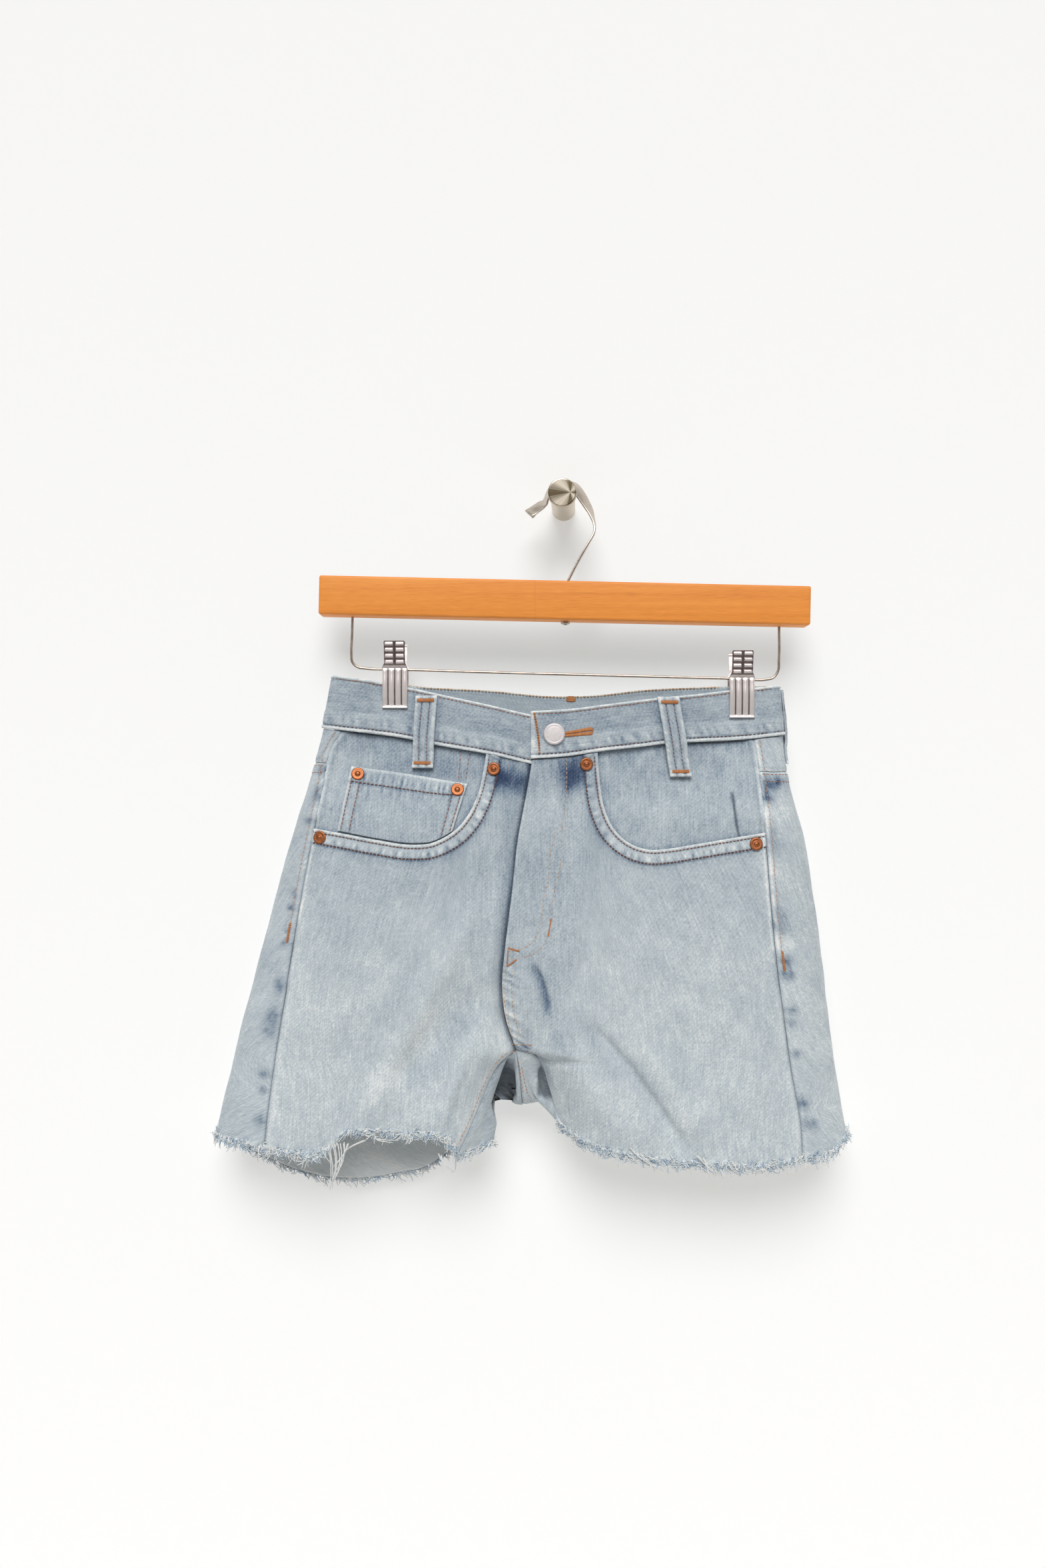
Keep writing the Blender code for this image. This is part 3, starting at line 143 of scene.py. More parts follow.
HEM_BACK = {
    RIGHT: ((-268, -480), (-258, -488), (-232, -505), (-196, -518), (-150, -520.5), (-124, -516),
            (-112, -514)),
    LEFT: ((218, -479), (206, -482), (160, -486), (100, -488), (45, -482)),
}
HEM_FRONT_FOLD = {RIGHT: -268.0, LEFT: 218.0}
SIDE_TOP_Z = {RIGHT: -174.0, LEFT: -179.5}  # where the waist seam crosses the side folds
# Pocket mouths: the front panels' curved edges, from the waistband to the side seam.
POCKET = {
    RIGHT: ((-59.5, -196.0), (-63.2, -214.6), (-67.2, -227.7), (-73.2, -239.8), (-81.3, -249.6),
            (-91.3, -256.4), (-101.4, -260.4), (-111.4, -261.2), (-141.6, -257.4), (-167.8, -252.4),
            (-188.3, -249.0)),
    LEFT: ((23.6, -193.4), (25.4, -214.6), (28.3, -233.4), (35.1, -248.9), (46.5, -259.6), (61.7, -264.6),
           (74.1, -264.0), (93.1, -261.0), (118.3, -256.8), (148.0, -252.0)),
}
# How far the front and the back stand out from Y_MID, and how wide the side folds round off.
DEPTH_COLUMNS = ("z", "front", "back", "fold_width", "fork_share")
DEPTH = (
    (-134, 9.0, 8.0, 8.0, 0.0),
    (-175, 10.0, 9.0, 9.0, 0.0),
    (-200, 14.0, 13.0, 17.0, 0.0),
    (-240, 21.0, 18.0, 34.0, 0.0),
    (-300, 26.0, 23.0, 52.0, 0.02),
    (-350, 28.0, 25.0, 58.0, 0.10),
    (-390, 29.0, 26.0, 60.0, 0.27),
    (-415, 29.0, 26.0, 60.0, 0.45),
    (-445, 30.0, 25.0, 58.0, 0.80),
    (-470, 31.0, 24.0, 56.0, 0.86),
    (-530, 32.0, 23.0, 56.0, 0.88),
)
INNER_ROUND = 42.0  # width over which a leg's front rounds off to its inner edge
CLIP_X = {RIGHT: -128.7, LEFT: 133.2}  # middles of the two hanger clips
CLIP_FLAT = 14.5  # half the width that a clip presses flat
CLIPPED_DEPTH = 2.2  # the layers' distance from Y_MID where a clip holds them
BOW = {"front": 14.0, "back": 10.0}  # how far the band bows out between the clips
SIDE_LOOP = 3.8  # how far it opens again outside them
BAND_FADE = (-172.0, -246.0)  # from the band's plan shape to the body's
# Soft folds: a line from one point to another, its half width and its height (below 0: a trough).
FRONT_FOLDS = (
    (-59, -296, -152, -468, 15, 4.5),
    (-62, -366, -128, -440, 13, -4.5),
    (-60, -404, -102, -474, 13, 3.5),
    (-205, -300, -226, -470, 12, -1.6),
    (-172, -290, -184, -480, 15, 1.8),
    (-60, -215, -50, -300, 12, -3.0),
    (-8, -408, 50, -480, 14, 4.5),
    (20, -396, 90, -488, 6, -4.0),
    (48, -398, 108, -478, 16, 3.0),
    (-24, -354, -15, -383, 3, -2.4),
    (120, -300, 146, -470, 14, 1.6),
    (-10, -300, -6, -350, 16, 2.0),
)
BACK_FOLDS = (
    (-52, -428, -140, -400, 10, 3.5),
    (-60, -446, -190, -442, 12, -3.0),
    (-4, -424, 84, -404, 10, 3.0),
    (8, -444, 140, -446, 12, -3.0),
    (-150, -300, -178, -500, 16, 3.0),
    (110, -310, 132, -480, 16, 3.0),
    (-216, -330, -238, -480, 12, -2.0),
    (182, -330, 192, -480, 12, -2.0),
)
# Creases that run up beside the seat seam, under the fork, in the columns of the folds.
HOLLOWS = {
    RIGHT: ((-41.5, -422, -46.0, -462, 5.5, 7),),
    LEFT: ((-17.0, -430, -8.5, -460, 2.6, 6),),
}
# Back panels: the point inside which a row leaves the back's height field, and the rows' stations.
BACK_INNER_X = {RIGHT: -112.0, LEFT: 45.0}
SEAT_V = {RIGHT: (0.72, 0.88), LEFT: (0.74, 0.90)}  # where rows start to turn under, and the fork's row
YOKE_V = {"centre": 0.185, "side": 0.078}
# The inner thigh's corner and the back's inner point of the rows at the fork and at the hem.
THIGH = {
    RIGHT: {"fork": ((-50.0, -37.0, -460.0), (-74.0, -22.0, -478.0)),
            "hem": ((-54.0, -41.0, -486.0), (-78.0, -25.0, -492.0))},
    LEFT: {"fork": ((-13.5, -37.0, -463.0), (10.0, -22.0, -468.0)),
           "hem": ((-4.5, -36.0, -476.0), (16.0, -22.0, -480.0))},
}


# ---------------------------------------------------------------- curves and fields


def smooth(points):
    """A smooth function through (station, value) pairs, held level outside them."""
    data = np.array(sorted(points), float)
    at, value = data[:, 0], data[:, 1]
    slope = np.gradient(value, at)

    def read(x):
        x = np.clip(np.asarray(x, float), at[0], at[-1])
        i = np.clip(np.searchsorted(at, x) - 1, 0, len(at) - 2)
        h = at[i + 1] - at[i]
        t = (x - at[i]) / h
        return (
            (2 * t**3 - 3 * t**2 + 1) * value[i]
            + (t**3 - 2 * t**2 + t) * h * slope[i]
            + (3 * t**2 - 2 * t**3) * value[i + 1]
            + (t**3 - t**2) * h * slope[i + 1]
        )

    return read


def column(table, columns, name, by="z"):
    """One column of a table as a smooth function of another."""
    a, b = columns.index(by), columns.index(name)
    return smooth([(row[a], row[b]) for row in table])


def steps(line):
    """The length of each piece of a polyline."""
    return np.linalg.norm(np.diff(line, axis=0), axis=1)


def running(line):
    """The length along a polyline at each of its points."""
    return np.concatenate([[0], np.cumsum(steps(line))])


def read_along(values, at, wanted):
    """Values kept at lengths along a line, read at other lengths."""
    return np.stack([np.interp(wanted, at, values[:, k]) for k in range(values.shape[1])], -1)


def resampled(line, stations):
    """A polyline's points at stations 0..1 of its length."""
    return read_along(line, running(line) / steps(line).sum(), stations)


def path(points):
    """A smooth curve through points, as a function of 0..1 along its length."""
    pts = np.array(points, float)
    along = running(pts)
    reads = [smooth(list(zip(along, pts[:, k]))) for k in range(pts.shape[1])]
    return lambda t: np.stack([r(np.asarray(t, float) * along[-1]) for r in reads], -1)


def ease(x):
    """0 to 1 with level ends."""
    x = np.clip(x, 0, 1)
    return x * x * (3 - 2 * x)


def mix(a, b, t):
    """a where t is 0, b where it is 1."""
    return a + (b - a) * t


def unit(v):
    """Vectors made one long."""
    return v / np.maximum(np.linalg.norm(v, axis=-1, keepdims=True), 1e-9)


fold_x = {s: column(SIDES[s], SIDE_COLUMNS, "fold_x") for s in SIDES}
seam_x = {s: column(SIDES[s], SIDE_COLUMNS, "seam_x") for s in SIDES}
fly_x = column(FLY, FLY_COLUMNS, "x")
inner_x = {s: column(INNER[s], INNER_COLUMNS, "x") for s in INNER}
seat_x = smooth(SEAT_SEAM_X)
depth_of = {name: column(DEPTH, DEPTH_COLUMNS, name) for name in DEPTH_COLUMNS[1:]}
band_top_front = {s: smooth(BAND_TOP_FRONT[s]) for s in SIDES}
band_low_front = {s: smooth(BAND_LOW_FRONT[s]) for s in SIDES}
band_top_back, band_low_back = smooth(BAND_TOP_BACK), smooth(BAND_LOW_BACK)


def folds(table, x, z):
    """The summed height of the soft folds at x, z."""
    total = np.zeros(np.broadcast(x, z).shape)
    for x0, z0, x1, z1, width, height in table:
        dx, dz = x1 - x0, z1 - z0
        length = math.hypot(dx, dz)
        t = ((x - x0) * dx + (z - z0) * dz) / length**2
        across = ((x - x0) * dz - (z - z0) * dx) / length
        fade = ease((t + 0.15) / 0.35) * ease((1.15 - t) / 0.35)
        total += height * np.exp(-((across / width) ** 2)) * fade
    return total


def band_depth(x, bow):
    """The band's distance from Y_MID: bowed between the clips, looped open outside them."""
    middle = (CLIP_X[RIGHT] + CLIP_X[LEFT]) / 2
    half = (CLIP_X[LEFT] - CLIP_X[RIGHT]) / 2 - CLIP_FLAT
    from_middle = np.abs(x - middle)
    inside = bow * np.clip(1 - (from_middle / half) ** 2, 0, 1)
    outside = SIDE_LOOP * ease((from_middle - half - 2 * CLIP_FLAT) / 9)
    return CLIPPED_DEPTH + inside + outside


def side_round(x, z):
    """0 at the side folds, rising to 1 as a quarter ellipse."""
    width = depth_of["fold_width"](z)
    near = np.minimum(x - fold_x[RIGHT](z), fold_x[LEFT](z) - x)
    a = np.clip(near / width, 0, 1)
    return np.sqrt(np.clip(1 - (1 - a) ** 2, 0, 1))


def front_depth(x, z):
    """How far the front's outer face stands out of Y_MID, towards -Y."""
    below = ease((FORK[1] + 6 - z) / 12)
    centre = fly_x(z)
    edge = {s: mix(centre, inner_x[s](z), below) for s in INNER}
    near = np.where(x < centre, edge[RIGHT] - x, x - edge[LEFT])
    near = np.where(below > 0, np.maximum(edge[RIGHT] - x, x - edge[LEFT]), near)
    b = np.clip(near / INNER_ROUND, 0, 1)
    inner = 1 - depth_of["fork_share"](z) * (1 - b) ** 2.2
    body = depth_of["front"](z) * inner + folds(FRONT_FOLDS, x, z)
    band = band_depth(x, BOW["front"])
    return mix(band, body, ease((BAND_FADE[0] - z) / (BAND_FADE[0] - BAND_FADE[1]))) * side_round(x, z)


def back_depth(x, z):
    """How far the back's outer face stands out of Y_MID, towards +Y."""
    body = depth_of["back"](z) + folds(BACK_FOLDS, x, z)
    body = body - 2.5 * np.exp(-(((x - seat_x(z)) / 16) ** 2)) * ease((-230 - z) / 80)
    band = band_depth(x, BOW["back"])
    return mix(band, body, ease((BAND_FADE[0] - z) / (BAND_FADE[0] - BAND_FADE[1]))) * side_round(x, z)


def on_front(x, z):
    """Points of the front's smooth face."""
    return np.stack([x, Y_MID - front_depth(x, z), z], -1)


def on_back(x, z):
    """Points of the back's smooth face."""
    return np.stack([x, Y_MID + back_depth(x, z), z], -1)


def field_normal(depth, toward, x, z, step):
    """A height field's outward normal, averaged over a small step so that seams share it."""
    dx = (depth(x + step, z) - depth(x - step, z)) / (2 * step)
    dz = (depth(x, z + step) - depth(x, z - step)) / (2 * step)
    return unit(np.stack([-dx, toward * np.ones_like(dx), -dz], -1))


def front_normal(x, z, step=1.5):
    """The front's outward normals."""
    return field_normal(front_depth, -1, x, z, step)


def back_normal(x, z, step=1.5):
    """The back's outward normals."""
    return field_normal(back_depth, 1, x, z, step)


def inset(grid, gap=GAP / 2):
    """The grid with its border drawn in by gap, so that neighbours stay apart."""
    grid = grid.copy()
    for edge, within in (((0,), (1,)), ((-1,), (-2,)), ((slice(None), 0), (slice(None), 1)),
                         ((slice(None), -1), (slice(None), -2))):
        step = grid[within] - grid[edge]
        grid[edge] += gap * unit(step)
    return grid


# ---------------------------------------------------------------- front pieces

FACING_DROP = CLOTH + 1.0  # the hip pieces lie under the front's layer, which ends at the pocket's mouth
UNDERLAP = 5.0  # how far the right front runs under the fly's edge
LAP_DROP = CLOTH + GAP + 1.2
WAIST_SHARE, FORK_ROW = 0.222, 0.7  # the stations at which a front's outline turns a corner
FRONT_COLUMNS = np.concatenate([[0, 0.035, 0.085, 0.15], np.linspace(WAIST_SHARE, 1, 13)])
FRONT_ROWS = np.concatenate([np.linspace(0, FORK_ROW, 14), np.linspace(FORK_ROW, 1, 7)[1:]])


def inseam_normal(side, points):
    """The shared normal of the front and the back along the inseam, turning down at the fork."""
    x, z = points[..., 0], points[..., 2]
    inward = 1.0 if side == RIGHT else -1.0
    away = ease(np.hypot(x - FORK[0], z - FORK[1]) / 22)[..., None]
    turned_in = mix(np.array([0.0, 0.0, -1.0]), np.array([0.85 * inward, 0.45, -0.3]), away)
    return unit(front_normal(x, z) + turned_in)


def front_centre(side):
    """The front's inner edge, from the waist seam down the fly to the fork, then the inseam to the hem."""
    z_top = float(band_low_front[side](-25.5))
    inseam = path(INSEAM[side])

    def at(t):
        z = mix(z_top, FORK[1], np.minimum(t / FORK_ROW, 1))
        lap = (UNDERLAP * ease((z - FORK[1] - 28) / 30) - 0.3 if side == RIGHT else 0)
        upper = np.stack([fly_x(z) + lap, z], -1)
        lower = inseam(np.maximum((t - FORK_ROW) / (1 - FORK_ROW), 0))
        return np.where((t <= FORK_ROW)[:, None], upper, lower)

    return at


def mouth(side):
    """The pocket's mouth, from the waist seam to the side seam."""
    points = np.array(POCKET[side], float)
    points[0, 1] = band_low_front[side](points[0, 0])
    points[-1, 0] = seam_x[side](points[-1, 1])
    return path(points)


def front_top(side):
    """The front's upper edge: the waist seam as far as the pocket, then the pocket's mouth."""
    start = front_centre(side)(np.zeros(1))[0, 0]
    lip = mouth(side)

    def at(t):
        x = mix(start, lip(0)[0], np.minimum(t / WAIST_SHARE, 1))
        waist = np.stack([x, band_low_front[side](x)], -1)
        edge = lip(np.maximum((t - WAIST_SHARE) / (1 - WAIST_SHARE), 0))
        return np.where((t <= WAIST_SHARE)[:, None], waist, edge)

    return at


def hem_front(side):
    """The front hem's cloth edge from the inseam to the side seam."""
    read = smooth(HEM_FRONT[side])
    x_out = float(seam_x[side](read(seam_x[side](-488))))

    def at(t):
        x = mix(INSEAM[side][-1][0], x_out, np.asarray(t, float))
        return np.stack([x, read(x)], -1)

    return at


def side_seam(side, z0, z1):
    """The side seam from z0 to z1, as a curve of x and z."""
    return lambda t: np.stack([seam_x[side](mix(z0, z1, t)), mix(z0, z1, t)], -1)


def lap_drop(side, x, z):
    """How far the right front dips to pass under the fly's edge."""
    if side == LEFT:
        return np.zeros_like(x)
    return LAP_DROP * ease((x - fly_x(z) + 9) / 8) * ease((z - FORK[1] - 14) / 12)


def coons(top, bottom, start, end, columns, rows):
    """A grid over four edges, each a function of 0..1: top and bottom run from start to end."""
    u, v = columns[None, :, None], rows[:, None, None]
    t, b = top(columns)[None], bottom(columns)[None]
    s, e = start(rows)[:, None], end(rows)[:, None]
    corners = mix(mix(t[:, :1], t[:, -1:], u), mix(b[:, :1], b[:, -1:], u), v)
    return mix(t, b, v) + mix(s, e, u) - corners


def front_grid(side, columns=FRONT_COLUMNS, rows=FRONT_ROWS):
    """Points, normals and the dip of a front's outer face."""
    outer = side_seam(side, POCKET[side][-1][1], float(hem_front(side)(1)[1]))
    grid = coons(front_top(side), hem_front(side), front_centre(side), outer, columns, rows)
    points = on_front(grid[..., 0], grid[..., 1])
    normals = front_normal(points[..., 0], points[..., 2])
    below = rows >= FORK_ROW
    normals[below, 0] = inseam_normal(side, points[below, 0])
    return points, normals, lap_drop(side, points[..., 0], points[..., 2])


COIN_TOP = ((-161.0, -202.6), (-117.0, -208.6), (-73.6, -216.0))
COIN_FOOT_X = (-169.8, -84.3)
COIN_LEVEL = CLOTH + GAP + 0.4 - FACING_DROP


def seat_curve():
    """The seat seam from the back waist down, under the fork and up to it."""
    zs = np.linspace(float(band_low_back(0)), -425, 16)
    fork = on_front(np.array(FORK[0]), np.array(FORK[1]))
    return path(np.concatenate([on_back(seat_x(zs), zs), np.array(SEAT_SEAM_LOW), fork[None]]))


SEAT = seat_curve()
SEAT_LINE = SEAT(np.linspace(0, 1, 400))
SEAT_LENGTH = float(running(SEAT_LINE)[-1])


def seat_point(side, v):
    """The row's start on the seat seam, for rows above the fork's."""
    turn, fork = SEAT_V[side]
    drop = float(band_low_back(0)) - HEM_BACK[side][-1][1]
    if v <= turn:
        return SEAT(drop * v / SEAT_LENGTH)
    at_turn = drop * turn / SEAT_LENGTH
    slope = drop * (fork - turn) / SEAT_LENGTH
    s = (v - turn) / (fork - turn)
    return SEAT(at_turn + slope * s + (1 - at_turn - slope) * s * s)


def seat_normal(point):
    """The shared normal of both back panels on the seat seam."""
    i = int(np.argmin(np.linalg.norm(SEAT_LINE - point, axis=1)))
    along = SEAT_LINE[min(i + 6, len(SEAT_LINE) - 1)] - SEAT_LINE[max(i - 6, 0)]
    return unit(-np.cross(along, (1.0, 0.0, 0.0)))


def back_row(side, v, stations):
    """One row of the back panel at stations 0..1 of its length: from the seat seam or the inseam,
    round the inner thigh and the back, and round the side fold to the side seam."""
    turn = SEAT_V[side][0]
    z_fold = mix(SIDE_TOP_Z[side], HEM_BACK[side][0][1], v)
    x_fold, x_in = float(fold_x[side](z_fold)), BACK_INNER_X[side]
    hem = np.array(HEM_BACK[side], float)
    hem_at = smooth(list(zip((hem[:, 0] - hem[0, 0]) / (hem[-1, 0] - hem[0, 0]), hem[:, 1])))

    def back_z(x):
        share = np.clip((x - x_fold) / (x_in - x_fold), 0, 1)
        return mix(band_low_back(x), hem_at(share), v)

    outer_x = mix(x_fold, x_in, np.linspace(1, 0, 60) ** 2.2)
    outer = on_back(outer_x, back_z(outer_x))
    share = np.linspace(0, 1, 40)[1:] ** 2
    z_top = SIDE_TOP_Z[side]
    top_z = band_low_front[side](mix(fold_x[side](z_top), seam_x[side](z_top), share))
    foot_z = smooth(HEM_FRONT[side])(mix(HEM_FRONT_FOLD[side], float(hem_front(side)(1)[0]), share))
    strip_z = mix(top_z, foot_z, v)
    strip_x = mix(x_fold, float(seam_x[side](strip_z[-1])), share)
    strip = on_front(strip_x, strip_z)

    if v <= turn:
        flat_x = np.linspace(float(seat_point(side, v)[0]), x_in, 24)
        inner = on_back(flat_x, back_z(flat_x))
        inner[0] = seat_point(side, v)
    else:
        inner = thigh_row(side, v, outer, back_z)
    return resampled(np.concatenate([inner[:-1], outer, strip]), stations)


def thigh_row(side, v, outer, back_z):
    """The part of a row that turns under: from its start round the inner thigh to the back."""
    turn, fork = SEAT_V[side]
    corner_fork, back_fork = (np.array(p) for p in THIGH[side]["fork"])
    corner_hem, back_hem = (np.array(p) for p in THIGH[side]["hem"])
    if v <= fork:
        s = (v - turn) / (fork - turn)
        start = seat_point(side, v)
        flat_x = mix(float(seat_x(-430)), BACK_INNER_X[side], np.array([0.33, 0.66]))
        flat = on_back(flat_x, back_z(flat_x))
        corner, inner_back = mix(flat[0], corner_fork, ease(s)), mix(flat[1], back_fork, s)
    else:
        s = (v - fork) / (1 - fork)
        x, z = path(INSEAM[side])(s)
        start = on_front(np.array(x), np.array(z))
        corner, inner_back = mix(corner_fork, corner_hem, s), mix(back_fork, back_hem, s)
    line = path(np.array([start, corner, inner_back, outer[0], outer[3]]))(np.linspace(0, 1, 80))
    line = line[: int(np.argmin(np.linalg.norm(line - outer[0], axis=1))) + 1]
    line[-1] = outer[0]
    return line


def back_field(side, stations):
    """Rows, points and normals of the whole back of one side, yoke and panel together."""
    rows = np.unique(np.concatenate([np.linspace(0, 1, 121), SEAT_V[side]]))
    points = np.array([back_row(side, v, stations) for v in rows])
    under = ease((-18 - points[..., 1]) / 6)
    points[..., 1] += folds(HOLLOWS[side], points[..., 0], points[..., 2]) * under
    normals = unit(np.cross(np.gradient(points, axis=1), np.gradient(points, axis=0)))
    if normals[20, 8, 1] < 0:
        normals = -normals
    above = rows <= SEAT_V[side][1]
    normals[above, 0] = [seat_normal(p) for p in points[above, 0]]
    normals[~above, 0] = inseam_normal(side, points[~above, 0])
    normals[:, -1] = front_normal(points[:, -1, 0], points[:, -1, 2])
    return rows, points, normals


def yoke_v(u):
    """How far down the back the yoke's seam is, from the centre to the side."""
    return mix(YOKE_V["centre"], YOKE_V["side"], u)


BACK_POCKET_CENTRE = {RIGHT: -82.0, LEFT: 72.0}
BACK_POCKET_TOP, BACK_POCKET_TALL = -258.0, 120.0
BACK_POCKET_HALF = (66.0, 57.0)  # half widths at the mouth and at the lower corners
BACK_POCKET_POINT = 16.0
BACK_POCKET_LIFT = 1.0


BAND_UNDER_END = 14.0  # the right end's x, under the left end
BAND_OVER_END = -26.3
BAND_DROP = BAND_OUT - BAND_IN + GAP
BAND_CLEAR = 0.5


def band_stretch(face, side, x0, level, count):
    """Points of the band's middle from x0 to a side fold, at a level 0 (top) to 1 (foot)."""
    top = band_top_front[side] if face == "front" else band_top_back
    low = band_low_front[side] if face == "front" else band_low_back
    share = 1 - (1 - np.linspace(0, 1, 90)) ** 2
    nominal = mix(x0, float(fold_x[side](-155)), share)
    z = mix(top(nominal), low(nominal) + BAND_CLEAR, level)
    x = mix(x0, fold_x[side](z), share)
    row = on_front(x, z) if face == "front" else on_back(x, z)
    return resampled(row, np.linspace(0, 1, count + 1))


def band_row(level, scale=1):
    """Round the waist from the end that lies under, past the right, the back and the left, to the front."""
    right = band_stretch("front", RIGHT, -40.0, level, 12 * scale)
    behind_right = band_stretch("back", RIGHT, 0.0, level, 14 * scale)[::-1]
    behind_left = band_stretch("back", LEFT, 0.0, level, 14 * scale)
    left = band_stretch("front", LEFT, BAND_OVER_END, level, 16 * scale)[::-1]
    xs = np.linspace(BAND_UNDER_END, -40.0, 6 * scale + 1)[:-1]
    under = on_front(xs, mix(band_top_front[RIGHT](xs), band_low_front[RIGHT](xs) + BAND_CLEAR, level))
    return np.concatenate([under, right, behind_right[1:], behind_left[1:], left[1:]])


def ring_normals(points):
    """The outward normals of a strip that runs round the waist."""
    n = unit(np.cross(np.gradient(points, axis=1), np.gradient(points, axis=0)))
    outward = points - np.array([0.0, Y_MID, 0.0])
    outward[..., 2] = 0
    return n if (n * outward).sum() > 0 else -n


# The belt loops: name, face, x at the top and the foot, z at both, and the clearance from the panels.
LOOPS = (
    ("front_right", "front", -104.0, -107.5, -149.6, -204.4, 0.5),
    ("front_left", "front", 76.1, 86.0, -151.0, -211.0, 0.5),
    ("side_right", "back", -166.0, -168.5, -137.0, -191.0, 1.1),
    ("side_left", "back", 157.5, 160.0, -145.0, -201.0, 1.4),
    ("centre_back", "back", -5.0, -7.0, -150.5, -205.0, 0.5),
)
LOOP_HALF, LOOP_THICK, LOOP_LIFT = 8.2, 2.0, 1.6


BUTTON_AT = (-8.7, -178.7)  # x and z
# The rivets: name, x, z, and what each is set in.
RIVETS = (
    ("right_outer", -182.6, -255.8, "panel"),
    ("right_inner", -53.9, -204.9, "panel"),
    ("left_inner", 15.3, -201.3, "panel"),
    ("left_outer", 140.5, -260.5, "panel"),
    ("coin_outer", -155.8, -208.6, "coin"),
    ("coin_inner", -80.9, -220.4, "coin"),
)


def on_cloth(x, z, level):
    """A point of the front at a height over its face, and the normal there."""
    x, z = np.array(float(x)), np.array(float(z))
    n = front_normal(x, z, 4.0)
    return on_front(x, z) + n * level, n


BAR_LEFT, BAR_RIGHT = (-185.4, -73.9), (184.1, -82.1)  # middles of the bar's ends, x and z
BAR_TALL, BAR_DEEP, BAR_ROUND = 29.4, 20.0, 1.6
WIRE_RADIUS = 1.0
WIRE = ((-161.2, -89.6), (-161.6, -104.0), (-162.1, -117.6), (-161.3, -124.0), (-157.6, -127.4),
        (-151.0, -128.6), (-128.7, -129.3), (-74.8, -131.0), (40.0, -134.1), (133.2, -136.5),
        (151.5, -137.0), (158.0, -135.4), (161.2, -130.6), (161.9, -122.0), (162.0, -96.8))
# A clip's jaw: height over the wire, distance from Y_MID, and half its width.
JAW = (
    (20.6, 9.8, 7.4),
    (20.0, 9.2, 7.9),
    (17.7, 8.8, 7.9),
    (16.0, 8.5, 7.9),
    (13.3, 8.0, 7.9),
    (11.6, 7.6, 7.9),
    (8.9, 7.1, 7.9),
    (7.2, 6.7, 7.9),
    (4.5, 6.1, 7.9),
    (1.5, 4.8, 9.4),
    (-2.5, 4.8, 9.4),
    (-10.0, 5.2, 9.4),
    (-21.0, 4.8, 9.4),
    (-28.0, 4.3, 9.5),
    (-29.6, 4.5, 9.7),
)
CLIP_Z = {RIGHT: -129.3, LEFT: -136.5}
JAW_THICK = 0.9
SPRING_HALF, SPRING_OUTER, SPRING_INNER = 5.5, 4.5, 1.6


# The flat hook's line: x, y, z, the turn of its face in degrees, and its thickness.
HOOK = (
    (-27.6, -36.0, -11.2, 52, 2.6),
    (-26.2, -36.0, -10.0, 50, 2.6),
    (-25.0, -36.0, -9.0, 50, 1.6),
    (-19.2, -36.0, -4.8, 45, 1.6),
    (-14.2, -36.0, 0.8, 20, 1.6),
    (-11.0, -36.0, 8.6, 15, 1.6),
    (-2.2, -36.0, 12.4, 20, 1.6),
    (6.0, -36.0, 11.4, 32, 1.6),
    (11.6, -36.0, 4.2, 46, 1.6),
    (16.7, -36.2, -4.3, 38, 1.6),
    (20.4, -37.0, -12.9, 20, 1.6),
    (22.2, -38.0, -20.1, 8, 1.7),
    (21.6, -39.0, -26.2, 0, 1.8),
    (16.5, -40.0, -35.6, 0, 1.8),
    (9.0, -40.0, -49.0, 0, 1.8),
    (2.0, -40.0, -62.65, 0, 1.8),
)
HOOK_WIDE = 10.5


PEG_LEAN = -0.048  # sideways, for each millimetre out of the wall


# ---------------------------------------------------------------- helpers


def bump(d, middle, width):
    """A soft hump of height 1, or a trough when it is taken away."""
    return np.exp(-(((d - middle) / width) ** 2))


def ripple(s, pitch, seed=0.0):
    """Uneven waves along a seam, between about -1 and 1."""
    a = 2 * math.pi * s / pitch
    return (0.5 * np.sin(a + 1.7 * np.sin(0.23 * a + seed)) + 0.3 * np.sin(1.618 * a + 2.1 * seed)
            + 0.2 * np.sin(0.57 * a + 4 * seed))


def cloud(x, z, size, seed=0):
    """Smooth noise between -1 and 1, with lumps about size across."""
    table = np.random.default_rng(seed).uniform(-1, 1, (64, 64))
    u, v = np.asarray(x) / size + 640, np.asarray(z) / size + 640
    i, j = np.floor(u).astype(int), np.floor(v).astype(int)
    f, g = ease(u - i), ease(v - j)
    a, b = table[i % 64, j % 64], table[(i + 1) % 64, j % 64]
    c, d = table[i % 64, (j + 1) % 64], table[(i + 1) % 64, (j + 1) % 64]
    return mix(mix(a, b, f), mix(c, d, f), g)


def nearest(line, x, z):
    """The distance of each point to a polyline of (x, z), and how far along it the nearest place is."""
    shape = np.broadcast(x, z).shape
    p = np.stack([np.broadcast_to(x, shape).ravel(), np.broadcast_to(z, shape).ravel()], -1)
    best, at, start = np.full(len(p), 1e9), np.zeros(len(p)), 0.0
    for a, b in zip(line, line[1:]):
        d = b - a
        length = math.hypot(*d)
        if length < 1e-9:
            continue
        t = np.clip(((p - a) @ d) / length**2, 0, 1)
        gap = np.hypot(p[:, 0] - a[0] - t * d[0], p[:, 1] - a[1] - t * d[1])
        nearer = gap < best
        best[nearer] = gap[nearer]
        at[nearer] = start + t[nearer] * length
        start += length
    return best.reshape(shape), at.reshape(shape)


def lengths(points, axis):
    """The running length of a grid's lines along one axis."""
    step = np.linalg.norm(np.diff(points, axis=axis), axis=-1)
    return np.concatenate([np.zeros_like(step.take([0], axis)), np.cumsum(step, axis)], axis)


